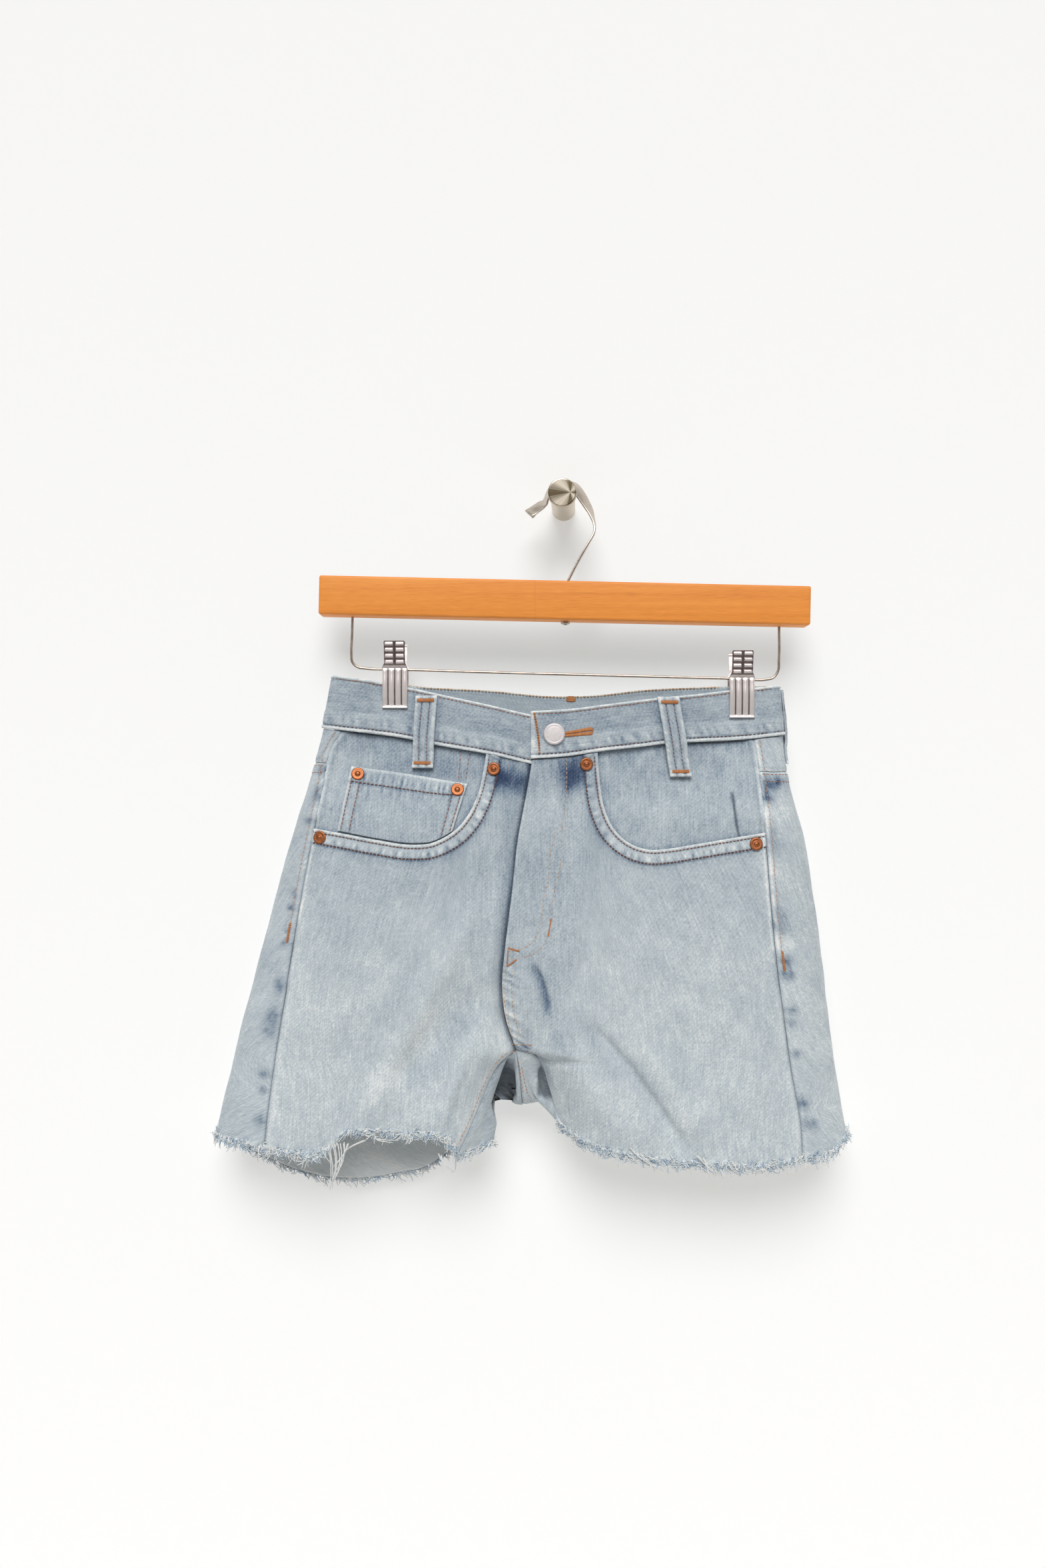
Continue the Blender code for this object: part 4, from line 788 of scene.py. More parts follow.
def sample(field, at_row, at_column):
    """A grid's values at fractional row and column numbers."""
    rows, cols = field.shape[:2]
    r, c = np.clip(at_row, 0, rows - 1.001), np.clip(at_column, 0, cols - 1.001)
    i, j = r.astype(int), c.astype(int)
    f, g = (r - i)[..., None], (c - j)[..., None]
    return mix(mix(field[i, j], field[i + 1, j], f), mix(field[i, j + 1], field[i + 1, j + 1], f), g)


# ---------------------------------------------------------------- materials


def srgb(r, g, b, a=1.0):
    """A colour given as it shows on a screen, 0 to 255, as linear light."""
    return tuple(c / 255 / 12.92 if c <= 10 else ((c / 255 + 0.055) / 1.055) ** 2.4 for c in (r, g, b)) + (a,)


class Nodes:
    """Builds a material's nodes; a link is written as an output socket given for an input."""

    def __init__(self, name):
        self.material = bpy.data.materials.new(name)
        self.material.use_nodes = True
        self.tree = self.material.node_tree
        self.shader = self.tree.nodes["Principled BSDF"]

    def put(self, socket, value):
        if isinstance(value, bpy.types.NodeSocket):
            self.tree.links.new(value, socket)
        else:
            socket.default_value = value

    def add(self, kind, inputs=(), **settings):
        node = self.tree.nodes.new(kind)
        for key, value in settings.items():
            setattr(node, key, value)
        for key, value in dict(inputs).items():
            self.put(node.inputs[key], value)
        return node

    def math(self, operation, a, b=0.0, clamp=False):
        return self.add("ShaderNodeMath", {0: a, 1: b}, operation=operation, use_clamp=clamp).outputs[0]

    def plus(self, *values):
        total = values[0]
        for value in values[1:]:
            total = self.math("ADD", total, value)
        return total

    def times(self, a, b):
        return self.math("MULTIPLY", a, b)

    def field(self, name):
        return self.add("ShaderNodeAttribute", attribute_name=name).outputs["Fac"]

    def vector_field(self, name):
        return self.add("ShaderNodeAttribute", attribute_name=name).outputs["Vector"]

    def place(self):
        """Where each point lies on its own piece, in metres."""
        return self.add("ShaderNodeTexCoord").outputs["Object"]

    def scaled(self, vector, scale, turn=0.0):
        values = {"Vector": vector, "Scale": scale, "Rotation": (0, 0, turn)}
        return self.add("ShaderNodeMapping", values).outputs[0]

    def noise(self, vector, detail=2.0, roughness=0.5, scale=1.0):
        """Noise about 0, between about -0.5 and 0.5."""
        node = self.add("ShaderNodeTexNoise", {"Vector": vector, "Scale": scale, "Detail": detail,
                                               "Roughness": roughness})
        return self.math("SUBTRACT", node.outputs[0], 0.5)

    def wave(self, vector, axis, scale, distortion=0.0):
        node = self.add("ShaderNodeTexWave", {"Vector": vector, "Scale": scale, "Distortion": distortion,
                                              "Detail": 1.0}, bands_direction=axis)
        return node.outputs["Fac"]

    def ramp(self, value, stops, smooth=False):
        node = self.add("ShaderNodeValToRGB", {0: value})
        band = node.color_ramp
        if smooth:
            band.interpolation = "B_SPLINE"
        while len(band.elements) < len(stops):
            band.elements.new(0.5)
        for element, (position, colour) in zip(band.elements, stops):
            element.position, element.color = position, colour
        return node.outputs[0]

    def blend(self, factor, a, b, kind="MIX"):
        node = self.add("ShaderNodeMix", data_type="RGBA", blend_type=kind)
        self.put(node.inputs[0], factor)
        self.put(node.inputs[6], a)
        self.put(node.inputs[7], b)
        return node.outputs[2]

    def bump(self, height, distance, strength=1.0):
        node = self.add("ShaderNodeBump", {"Height": height, "Strength": strength, "Distance": distance * MM})
        self.put(self.shader.inputs["Normal"], node.outputs[0])

    def finish(self, **sockets):
        for name, value in sockets.items():
            self.put(self.shader.inputs[name.replace("_", " ")], value)
        return self.material


FADE_TOP = 1.2
# The colour that each share of fading leaves.
DYE = tuple((fade / FADE_TOP, srgb(*colour)) for fade, colour in (
    (0.0, (50, 65, 94)),
    (0.2, (78, 94, 119)),
    (0.4, (118, 135, 153)),
    (0.6, (155, 167, 178)),
    (0.8, (183, 193, 199)),
    (0.9, (194, 203, 208)),
    (1.0, (210, 217, 219)),
    (1.2, (242, 242, 239)),
))
TWILL_PITCH = 2.2  # of the diagonal lines, across them
TWILL_TURN = math.radians(49)
TWILL_WAVES = 2 * math.pi / (20 * TWILL_PITCH)
TWILL_IN_COLOUR, TWILL_IN_HEIGHT = 0.06, 0.35
# The cloth's uneven yarns: size across and along the warp in mm, detail and roughness of the noise, and its
# shares in the colour and in the height.
YARNS_AND_LUMPS = (
    (1.5, 2.1, 1.0, 0.5, 0.38, 1.0),  # the crossings of the yarns
    (0.7, 12, 1.0, 0.5, 0.34, 0.5),  # streaks of single warp yarns
    (1.6, 26, 1.0, 0.5, 0.22, 0.0),  # thick places in them
    (6, 0.9, 2.0, 0.5, 0.20, 0.5),  # the weft
    (5, 7, 2.0, 0.6, 0.15, 0.0),
    (20, 28, 3.0, 0.6, 0.32, 0.0),
)
REVERSE_TEXTURE, REVERSE_PALER = 0.6, 0.13  # the inner face shows the white weft
# the neutral grey of the painted shade in creases, hollows and gaps
PAINTED_SHADE_GREY = srgb(52, 54, 58)


def denim():
    """Twill of dyed warp over white weft. The field fade says how much of the dye is gone; the field grime
    blends it towards a grey, as painted shade.
    """
    n = Nodes("denim")
    flat, fade = n.vector_field("flat"), n.field("fade")
    twill = n.math("SUBTRACT", n.wave(n.scaled(flat, (1, 1, 1), TWILL_TURN), "X", TWILL_WAVES, 1.2), 0.5)
    in_colour, in_height = [], [n.times(twill, TWILL_IN_HEIGHT)]
    for across, along, detail, roughness, colour_share, height_share in YARNS_AND_LUMPS:
        noise = n.noise(n.scaled(flat, (1 / across, 1 / along, 1)), detail, roughness)
        in_colour.append(n.times(noise, colour_share))
        if height_share:
            in_height.append(n.times(noise, height_share))
    texture = n.plus(*in_colour, n.times(twill, TWILL_IN_COLOUR))
    dyed = n.ramp(n.times(n.math("ADD", fade, texture), 1 / FADE_TOP), DYE)
    paler = n.plus(fade, n.times(texture, REVERSE_TEXTURE), REVERSE_PALER)
    reverse = n.ramp(n.times(paler, 1 / FADE_TOP), DYE)
    # painted shade: the field grime blends the colour towards this grey
    colour = n.blend(n.field("grime"), n.blend(n.field("inside"), dyed, reverse), PAINTED_SHADE_GREY)
    n.bump(n.plus(*in_height), 0.2, 0.8)
    return n.finish(Base_Color=colour, Roughness=0.92, Sheen_Weight=0.18, Sheen_Roughness=0.5,
                    Specular_IOR_Level=0.18)


THREAD = (  # the sewing threads, from dark brown to pale tan
    (0.0, srgb(86, 58, 52)),
    (0.25, srgb(122, 82, 66)),
    (0.5, srgb(178, 112, 62)),
    (0.7, srgb(204, 140, 88)),
    (0.85, srgb(196, 164, 132)),
    (1.0, srgb(222, 214, 200)),
)


def thread():
    """Sewing thread, from dark brown to pale tan by its tone."""
    n = Nodes("sewing_thread")
    where = n.place()
    tone = n.math("ADD", n.field("fade"), n.times(n.noise(n.scaled(where, (300, 300, 300)), 2.0), 0.2), True)
    n.bump(n.noise(n.scaled(where, (2500, 2500, 2500)), 1.0), 0.1, 0.5)
    return n.finish(Base_Color=n.ramp(tone, THREAD), Roughness=0.75, Sheen_Weight=0.2)


FRINGE = (  # ravelled yarn, from the dyed warp to the white weft
    (0.0, srgb(86, 108, 140)),
    (0.45, srgb(144, 169, 194)),
    (0.8, srgb(196, 212, 224)),
    (1.0, srgb(242, 243, 240)),
)


def fringe():
    """Loose yarns, from blue to white by their tone."""
    n = Nodes("ravelled_yarn")
    where = n.place()
    tone = n.math("ADD", n.field("fade"), n.times(n.noise(n.scaled(where, (220, 220, 220)), 2.0), 0.3), True)
    color = n.ramp(tone, FRINGE)
    return n.finish(Base_Color=color, Roughness=0.95, Sheen_Weight=0.3, Specular_IOR_Level=0.15)


def metal(name, light, dark, roughness, scale, anisotropic=0.0, metallic=1.0):
    """A plated metal whose colour and gloss vary a little."""
    n = Nodes(name)
    where = n.place()
    stain = n.noise(n.scaled(where, scale), 4.0, 0.6)
    colour = n.blend(n.math("ADD", n.times(stain, 1.6), 0.5, True), dark, light)
    gloss = n.math("ADD", n.times(stain, 0.25), roughness, True)
    n.bump(stain, 0.05, 0.4)
    return n.finish(Base_Color=colour, Metallic=metallic, Roughness=gloss, Anisotropic=anisotropic)


# the plating's colour, from painted shade to painted highlight
PLATING_PAINTED_LIGHT = ((0.0, srgb(70, 58, 58)), (0.4, srgb(150, 138, 134)), (0.75, srgb(250, 240, 237)))


def pressed_steel():
    """Bright plating, with painted shade in the hollows of the pressing and painted highlights on its ridges;
    the field fade carries this painted light.
    """
    n = Nodes("clip_chrome")
    stain = n.noise(n.scaled(n.place(), (300, 300, 300)), 4.0, 0.6)
    colour = n.ramp(n.plus(n.field("fade"), n.times(stain, 0.25)), PLATING_PAINTED_LIGHT)
    n.bump(stain, 0.05, 0.3)
    return n.finish(Base_Color=colour, Metallic=0.65, Roughness=0.38)


BAR_JOINT = -23.0  # where the bar's two halves are glued, along x
WOOD = ((0.1, srgb(208, 114, 38)), (0.4, srgb(238, 144, 54)), (0.65, srgb(250, 160, 66)),
        (0.95, srgb(255, 176, 86)))
GLUE = srgb(170, 96, 44)


def wood():
    """Lacquered beech: long bent rings, short pores and a faint glued joint."""
    n = Nodes("beech")
    where = n.place()
    warp = n.noise(n.scaled(where, (7, 30, 30)), 2.0)
    bend = {"X": 0.0, "Y": n.times(warp, 2.0), "Z": n.times(warp, 3.0)}
    bent = n.add("ShaderNodeCombineXYZ", bend).outputs[0]
    both = {0: n.scaled(where, (5, 240, 330)), 1: bent}
    rings = n.add("ShaderNodeVectorMath", both, operation="ADD").outputs[0]
    grain = n.noise(rings, 3.0, 0.6)
    pores = n.noise(n.scaled(where, (90, 1600, 1600)), 2.0)
    tone = n.plus(n.times(grain, 0.55), n.times(pores, 0.55), n.times(warp, 0.3), 0.5)
    x = n.add("ShaderNodeSeparateXYZ", {0: where}).outputs["X"]
    on_joint = n.math("LESS_THAN", n.math("ABSOLUTE", n.math("SUBTRACT", x, BAR_JOINT * MM)), 0.3 * MM)
    colour = n.blend(n.times(on_joint, 0.15), n.ramp(tone, WOOD), GLUE)
    n.bump(n.plus(grain, pores), 0.06, 0.3)
    return n.finish(Base_Color=colour, Roughness=0.55, Coat_Weight=0.08, Coat_Roughness=0.3)


# ---------------------------------------------------------------- making pieces


def tube_faces(rings, sides):
    """The quads between rings of points that follow each other, and the two ends."""
    quads = [[i * sides + k, i * sides + (k + 1) % sides,
              (i + 1) * sides + (k + 1) % sides, (i + 1) * sides + k]
             for i in range(rings - 1) for k in range(sides)]
    ends = [list(range(sides))[::-1], [(rings - 1) * sides + k for k in range(sides)]]
    return quads, ends


def faces_of_many(count, rings, sides):
    """The faces of many tubes of the same make, one after another."""
    quads, ends = tube_faces(rings, sides)
    first = (np.arange(count) * rings * sides)[:, None]
    faces = (first[:, None] + np.array(quads)[None]).reshape(-1, 4).tolist()
    for end in ends:
        faces += (first + np.array(end)).tolist()
    return faces


def wall_between(outer, inner):
    """Points and faces of a closed wall between two grids of points."""
    rows, cols = outer.shape[:2]
    count = rows * cols
    number = np.arange(count).reshape(rows, cols)
    quads = np.stack([number[:-1, :-1], number[1:, :-1], number[1:, 1:], number[:-1, 1:]], -1).reshape(-1, 4)
    border = np.concatenate([number[0], number[1:, -1], number[-1, -2::-1], number[-2:0:-1, 0]])
    after = np.roll(border, -1)
    rim = np.stack([border, after, after + count, border + count], -1)
    faces = np.concatenate([quads, quads[:, ::-1] + count, rim])
    facing = np.cross(outer[1:, :-1] - outer[:-1, :-1], outer[1:, 1:] - outer[1:, :-1])
    if (facing * (outer - inner)[1:, 1:]).sum() < 0:
        faces = faces[:, ::-1]
    return np.concatenate([outer.reshape(-1, 3), inner.reshape(-1, 3)]), faces


def piece(name, verts, faces, finish, nodes=(), slot=None, sharp=None, **fields):
    """A named piece from points in millimetres, riding on the one body, with values on its points."""
    mesh = bpy.data.meshes.new(name)
    mesh.from_pydata((np.asarray(verts, float) * MM).tolist(), [], [list(map(int, f)) for f in faces])
    mesh.shade_smooth()
    if sharp:
        mesh.set_sharp_from_angle(angle=math.radians(sharp))
    for key, value in fields.items():
        vector = np.ndim(value) == 2
        made = mesh.attributes.new(key, "FLOAT_VECTOR" if vector else "FLOAT", "POINT")
        value = np.broadcast_to(value, (len(verts), 3) if vector else (len(verts),))
        values = np.ascontiguousarray(value, np.float32).ravel()
        made.data.foreach_set("vector" if vector else "value", values)
    mesh.update()
    made = bpy.data.objects.new(name, mesh)
    made.data.materials.append(finish)
    bpy.context.scene.collection.objects.link(made)
    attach(made, "root")
    if nodes:
        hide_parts(*nodes)
    return made


def cloth(name, outer, inner, fade, flat, node, inside=0.72, grime=0.0):
    """A cloth wall between two grids of points. On both faces it has the fading, the flat coordinates and the
    painted shade of its creases, hollows and gaps; inside is the fading of the inner face."""
    shape = outer.shape[:2]
    verts, faces = wall_between(outer, inner)
    flat = np.concatenate([flat, np.zeros((*shape, 1))], -1).reshape(-1, 3)
    fade_inside = np.broadcast_to(inside, shape).ravel()
    is_inside = np.repeat([0.0, 1.0], fade_inside.size)
    grime = np.tile(np.broadcast_to(grime, shape).ravel(), 2)
    fade, flat = np.concatenate([fade.ravel(), fade_inside]), np.concatenate([flat, flat])
    return piece(name, verts, faces, DENIM, (node,), "denim", fade=fade, flat=flat, inside=is_inside,
                 grime=grime)


def cut_size(points):
    """The width, length and area of the flat cut that a grid of points was made from, in metres."""
    across, down = lengths(points, 1)[:, -1], lengths(points, 0)[-1]
    a, b = points[1:, :-1] - points[:-1, :-1], points[:-1, 1:] - points[:-1, :-1]
    c, d = points[1:, :-1] - points[1:, 1:], points[:-1, 1:] - points[1:, 1:]
    area = (np.linalg.norm(np.cross(a, b), axis=-1).sum() + np.linalg.norm(np.cross(c, d), axis=-1).sum()) / 2
    width, length = float(across.max()), float(down.max())
    return (round(width * MM, 4), round(length * MM, 4)), min(area, width * length) * MM**2


SHEETS = []


def declare(made, points, rests_on, with_pieces=(), held="hung"):
    SHEETS.append((made, points, rests_on, with_pieces, held))


STITCH_SIDES = 5
STITCH_RINGS = ((-0.95, 0.35, -0.5), (-0.6, 0.9, -0.05), (0.0, 1.0, 0.3), (0.6, 0.9, -0.05),
                (0.95, 0.35, -0.5))
sewn = {}  # the stitches of each group: arrays of middles, half lengths along, across, up and tone


def sew(group, points, normals, pitch=3.2, share=0.8, radius=0.33, tone=0.3, lift=0.12, seed=1):
    """Stitches along a line that lies on the cloth."""
    points, normals = np.asarray(points, float), np.asarray(normals, float)
    at = running(points)
    count = max(1, int(at[-1] / pitch))
    pitch = at[-1] / count
    middle = (np.arange(count) + 0.5) * pitch
    start, end = (read_along(points, at, middle + way * pitch * share / 2) for way in (-1, 1))
    up = unit(read_along(normals, at, middle))
    lay(group, (start + end) / 2 + up * lift, (end - start) / 2, up, radius, tone, seed)


def lay(group, middle, half, up, radius, tone, seed=1):
    """Adds stitches given by their middles, half lengths and normals to a group."""
    draw = np.random.default_rng(seed)
    across = unit(np.cross(half, up)) * radius
    up = unit(np.cross(across, half)) * np.sign((np.cross(across, half) * up).sum(-1, keepdims=True)) * radius
    tones = tone + draw.uniform(-0.08, 0.08, len(middle))
    sewn.setdefault(group, []).append((middle, half, across, up, tones))


def bar_tack(group, start, end, normal, wide, pitch=0.8, radius=0.36, tone=0.52, lift=0.2, seed=1):
    """Close stitches across a short line: a bar tack or the side of a buttonhole."""
    start, end = np.asarray(start, float), np.asarray(end, float)
    count = max(2, int(np.linalg.norm(end - start) / pitch))
    middle = mix(start, end, np.linspace(0, 1, count)[:, None])
    up = unit(np.broadcast_to(normal, middle.shape))
    across = unit(np.cross(up, end - start))
    reach = mix(*wide, np.linspace(0, 1, count)[:, None]) / 2 if np.ndim(wide) else wide / 2
    draw = np.random.default_rng(seed)
    lean = unit(end - start) * draw.uniform(-0.25, 0.25, (count, 1))
    lay(group, middle + up * lift, across * reach + lean, up, radius, tone, seed)


def stitches():
    """One piece for each group of stitches."""
    turn = 2 * math.pi * np.arange(STITCH_SIDES) / STITCH_SIDES
    cosine, sine = np.cos(turn)[None, :, None], np.sin(turn)[None, :, None]
    for group, runs in sewn.items():
        middle, half, across, up, tone = (np.concatenate(part) for part in zip(*runs))
        rings = []
        for along, girth, rise in STITCH_RINGS:
            centre = (middle + half * along + up * rise)[:, None]
            rings.append(centre + girth * (cosine * across[:, None] + sine * up[:, None]))
        faces = faces_of_many(len(middle), len(STITCH_RINGS), STITCH_SIDES)
        tones = np.repeat(tone, len(STITCH_RINGS) * STITCH_SIDES)
        made = piece(f"stitches_{group}", np.stack(rings, 1).reshape(-1, 3), faces, THREAD_FINISH, fade=tones)
        made["group"] = group


DENIM, THREAD_FINISH, FRINGE_FINISH = denim(), thread(), fringe()
COPPER = metal("copper", srgb(200, 128, 86), srgb(140, 84, 56), 0.5, (500, 500, 500))
WHITE_METAL = metal("button_metal", srgb(244, 238, 238), srgb(222, 214, 214), 0.55, (400, 400, 400), 0.0,
                    0.35)
CHROME = pressed_steel()
STEEL = metal("brushed_steel", srgb(226, 216, 204), srgb(184, 172, 158), 0.34, (120, 120, 900), 0.4)
BEECH = wood()


# ---------------------------------------------------------------- front


def down_line(x_of, z_top, z_foot, count=60):
    """Points (x, z) down a line that is given as its x at each height."""
    z = np.linspace(z_top, z_foot, count)
    return np.stack([x_of(z), z], -1)


def beside(line, offset, toward):
    """A line of (x, z) moved sideways by offset, to the side that toward points to."""
    out = unit(np.stack([-np.gradient(line[:, 1]), np.gradient(line[:, 0])], -1))
    return line + out * offset * np.sign(out[len(line) // 2] @ np.array(toward))


TACK_Z = {RIGHT: -323.0, LEFT: -343.0}  # where the side seams' edge stitching ends
MOUTH_HEM = 11.2  # width of the folded edge of a pocket's mouth
MOUTH_STITCHES = ((2.6, 0.25, 0.5), (10.6, 0.10, 0.66))  # distance from the edge, tone and radius
MOUTH_PUCKERS = {RIGHT: 1.0, LEFT: 2.6}  # seeds
MOUTH_LINE = {s: mouth(s)(np.linspace(0, 1, 140)) for s in SIDES}
INSEAM_LINE = {s: path(INSEAM[s])(np.linspace(0, 1, 50)) for s in SIDES}
SIDE_LINE = {s: down_line(seam_x[s], -170, -500) for s in SIDES}
FLY_LINE = down_line(fly_x, -190, FORK[1])
HEM_LINE = {s: hem_front(s)(np.linspace(0, 1, 90)) for s in SIDES}
FLY_STITCH = path(((0.4, -196.0), (0.6, -214.0), (-0.6, -232.4), (-2.8, -248.6), (-4.4, -277.2),
                  (-10.2, -301.4), (-13.0, -325.8), (-20.6, -339.1), (-35.7, -344.7),
                  (-45.5, -345.5)))(np.linspace(0, 1, 90))
FLY_STITCH_INNER = path(((-6.6, -250.0), (-11.3, -264.4), (-12.8, -285.0), (-17.2, -303.0), (-19.6, -322.0),
                         (-26.5, -334.0), (-36.0, -338.5), (-44.5, -339.5)))(np.linspace(0, 1, 60))
# Creases that stand out on the front: points, half width and height (below 0: a trough).
CREASES = (
    (((-28.0, -344.0), (-22.0, -354.0), (-16.5, -368.0), (-13.0, -392.0)), 1.7, -2.6),
    (((-30.0, -354.0), (-25.0, -368.0), (-21.0, -384.0)), 4.5, 1.3),
    (((6.0, -386.0), (21.1, -397.9), (41.8, -418.6), (58.9, -441.4), (79.6, -471.5),
      (89.1, -484.8)), 2.6, -1.1),
    (((-2.0, -398.0), (24.0, -412.0), (48.0, -440.0), (66.0, -468.0), (76.0, -484.0)), 7.0, 1.4),
    (((30.0, -392.0), (60.0, -414.0), (84.0, -448.0), (104.0, -482.0)), 8.0, 1.0),
    (((-150.0, -466.0), (-118.0, -400.0), (-92.0, -350.0), (-66.0, -300.0)), 9.0, 1.2),
    (((-66.0, -342.0), (-92.0, -378.0), (-116.0, -420.0), (-128.0, -446.0)), 8.0, -1.6),
    (((-56.0, -372.0), (-76.0, -402.0), (-96.0, -440.0), (-104.0, -470.0)), 5.0, -1.3),
    (((-72.0, -420.0), (-86.0, -446.0), (-90.0, -470.0)), 4.0, 0.9),
    (((-60.0, -398.0), (-70.0, -424.0), (-80.0, -452.0), (-84.0, -474.0)), 3.4, -0.8),
    (((-54.0, -232.0), (-50.0, -262.0), (-56.0, -300.0), (-60.0, -340.0)), 10.0, -1.6),
    (((60.0, -282.0), (96.0, -276.0), (130.0, -282.0)), 8.0, 0.7),
    (((-178.0, -270.0), (-140.0, -278.0), (-104.0, -272.0)), 9.0, 0.6),
    (((150.0, -330.0), (128.0, -352.0), (100.0, -362.0)), 9.0, 0.6),
)
FACING_CREASES = (
    (((124.5, -222.0), (125.5, -232.0), (126.8, -246.1), (128.6, -256.0)), 1.3, -1.6),
    (((121.0, -226.0), (122.0, -240.0), (124.0, -256.0)), 4.0, 0.8),
    (((132.0, -226.0), (132.5, -240.0), (134.0, -254.0)), 3.5, 0.5),
)
SHARP_CREASE = np.array(FACING_CREASES[0][0])
# Dye that stayed, and cloth that faded more: x, z, the two radii, and the change of fading.
SPOTS = (
    (-43.0, -213.0, 13.0, 10.0, -0.50),
    (-34.0, -217.0, 7.0, 10.0, -0.22),
    (-50.0, -209.0, 8.0, 7.0, -0.32),
    (-41.0, -232.0, 6.0, 14.0, -0.16),
    (5.0, -208.0, 11.0, 10.0, -0.62),
    (3.0, -218.0, 6.0, 7.0, -0.32),
    (-1.0, -226.0, 5.0, 8.0, -0.14),
    (20.0, -216.0, 4.0, 12.0, -0.20),
    (22.0, -254.0, 9.0, 24.0, -0.13),
    (6.0, -276.0, 20.0, 20.0, -0.06),
    (-16.0, -300.0, 24.0, 70.0, -0.10),
    (-10.0, -376.0, 20.0, 26.0, -0.06),
    (-14.0, -372.0, 14.0, 26.0, -0.08),
    (-29.0, -405.0, 5.0, 9.0, -0.20),
    (-113.0, -276.0, 72.0, 26.0, -0.075),
    (-72.0, -262.0, 26.0, 40.0, -0.03),
    (-178.0, -310.0, 30.0, 50.0, -0.03),
    (-140.0, -360.0, 34.0, 50.0, -0.01),
    (70.0, -350.0, 60.0, 60.0, 0.01),
    (66.0, -294.0, 66.0, 24.0, -0.07),
    (138.0, -300.0, 26.0, 46.0, -0.04),
    (60.0, -430.0, 16.0, 30.0, -0.02),
)
# Bands of darker and lighter cloth that follow the folds: partly worn ridges and dye that stayed in the
# troughs, partly painted shade in the troughs and painted light on the ridges. Points, half width and the
# change of fading.
BANDS = (
    (((-43.0, -216.0), (-44.3, -277.5), (-46.7, -330.0), (-43.0, -386.0)), 6.0, -0.10),
    (((-100.0, -318.0), (-122.0, -368.0), (-143.0, -406.0), (-160.0, -440.0)), 9.0, -0.075),
    (((-84.0, -356.0), (-100.0, -388.0), (-126.0, -426.0), (-164.0, -468.0)), 8.0, 0.09),
    (((-56.0, -372.0), (-76.0, -392.0), (-100.0, -424.0), (-126.0, -446.0)), 8.0, -0.11),
    (((-64.0, -330.0), (-58.0, -350.0), (-60.0, -376.0)), 7.0, -0.05),
    (((-2.0, -372.0), (12.0, -392.0), (28.0, -416.0), (42.0, -452.0)), 9.0, -0.10),
    (((20.0, -396.0), (42.0, -414.0), (62.0, -442.0), (84.0, -478.0)), 4.0, -0.06),
    (((36.0, -396.0), (62.0, -420.0), (84.0, -450.0), (98.0, -480.0)), 6.0, 0.05),
    (((-28.0, -344.0), (-22.0, -354.0), (-16.5, -368.0), (-13.0, -392.0)), 2.6, -0.32),
    (((-42.0, -410.6), (-36.0, -411.2), (-30.0, -411.4), (-24.0, -409.0)), 1.2, -0.40),
    (((-38.0, -414.6), (-32.0, -415.4), (-26.0, -416.4)), 1.2, -0.30),
    (((-24.0, -408.0), (-19.0, -420.0), (-12.0, -436.0), (-8.0, -452.0)), 3.0, -0.14),
    (((-12.0, -396.0), (-2.0, -412.0), (6.0, -430.0)), 5.0, -0.07),
)


def under(height):
    """The level of a cloth's other face, which stays below its detail."""
    return np.minimum(height + 0.5, 0.0) - CLOTH


def crease_height(table, x, z):
    """The summed height of creases, which fade out towards their ends."""
    total = np.zeros(np.broadcast(x, z).shape)
    stations = np.linspace(0, 1, 24)
    for points, width, height in table:
        line = path(points)(stations)
        d, s = nearest(resampled(line, stations), x, z)
        t = s / running(line)[-1]
        total += height * np.exp(-((d / width) ** 2)) * ease(t / 0.3) * ease((1 - t) / 0.3)
    return total


def spotted(x, z):
    """The change of fading that the fold bands, with their painted shade and light, and the spots make."""
    total = 1.25 * crease_height(BANDS, x, z)
    for x0, z0, wide, tall, change in SPOTS:
        total += change * np.exp(-(((x - x0) / wide) ** 2) - ((z - z0) / tall) ** 2)
    return total


def folded_edge(d, s, hem, seed):
    """Height of a turned and twice stitched edge at a distance d from it, with its puckers."""
    rise = 0.95 * ease((hem + 1.3 - d) / 1.7) - 0.35 * bump(d, 0.0, 0.5) + 0.25 * bump(d, 1.2, 0.9)
    trough = -0.45 * bump(d, 2.8, 0.7) - 0.55 * bump(d, hem - 0.5, 0.9)
    wave = 0.6 * ripple(s, 6.8, seed) * bump(d, 6.6, 3.2) + 0.2 * ripple(s, 5.0, seed + 2) * bump(d, 1.2, 1.2)
    return rise + trough + wave


def edge_fade(d, s, hem, seed):
    """The fading beside the same edge: worn on its rim, dark beside the stitches, with painted shade along
    the fold's outer edge and beyond it.
    """
    wear = 0.24 * bump(d, 0.6, 1.4) * (1 + 0.4 * ripple(s, 9, seed + 1)) + 0.08 * bump(d, 6.4, 2.6)
    # dark along the inner stitch, then painted shade along the fold's outer edge, by the outer stitch, and
    # beyond it
    dark = -0.26 * bump(d, 3.0, 0.7) - 0.32 * bump(d, hem, 1.2) - 0.10 * bump(d, hem + 2.5, 3.5)
    hollow = -0.46 * np.clip(-ripple(s, 6.8, seed), 0, 1) * bump(d, 7.6, 2.4)
    wear += 0.26 * np.clip(ripple(s, 6.8, seed), 0, 1) * bump(d, 7.8, 2.4)
    return wear + dark + hollow


def fork_puckers(x, z):
    """The puckers across the seam between the fly and the fork, from -1 to 1."""
    along = ease((-346 - z) / 8) * ease((z + 416) / 10)
    return ripple(z + 0.5 * x, 8.5, 2.2) * bump(x - fly_x(z), 5.0, 6.0) * along


RIVET_FLAT = 5.6  # radius within which a rivet presses the cloth flat


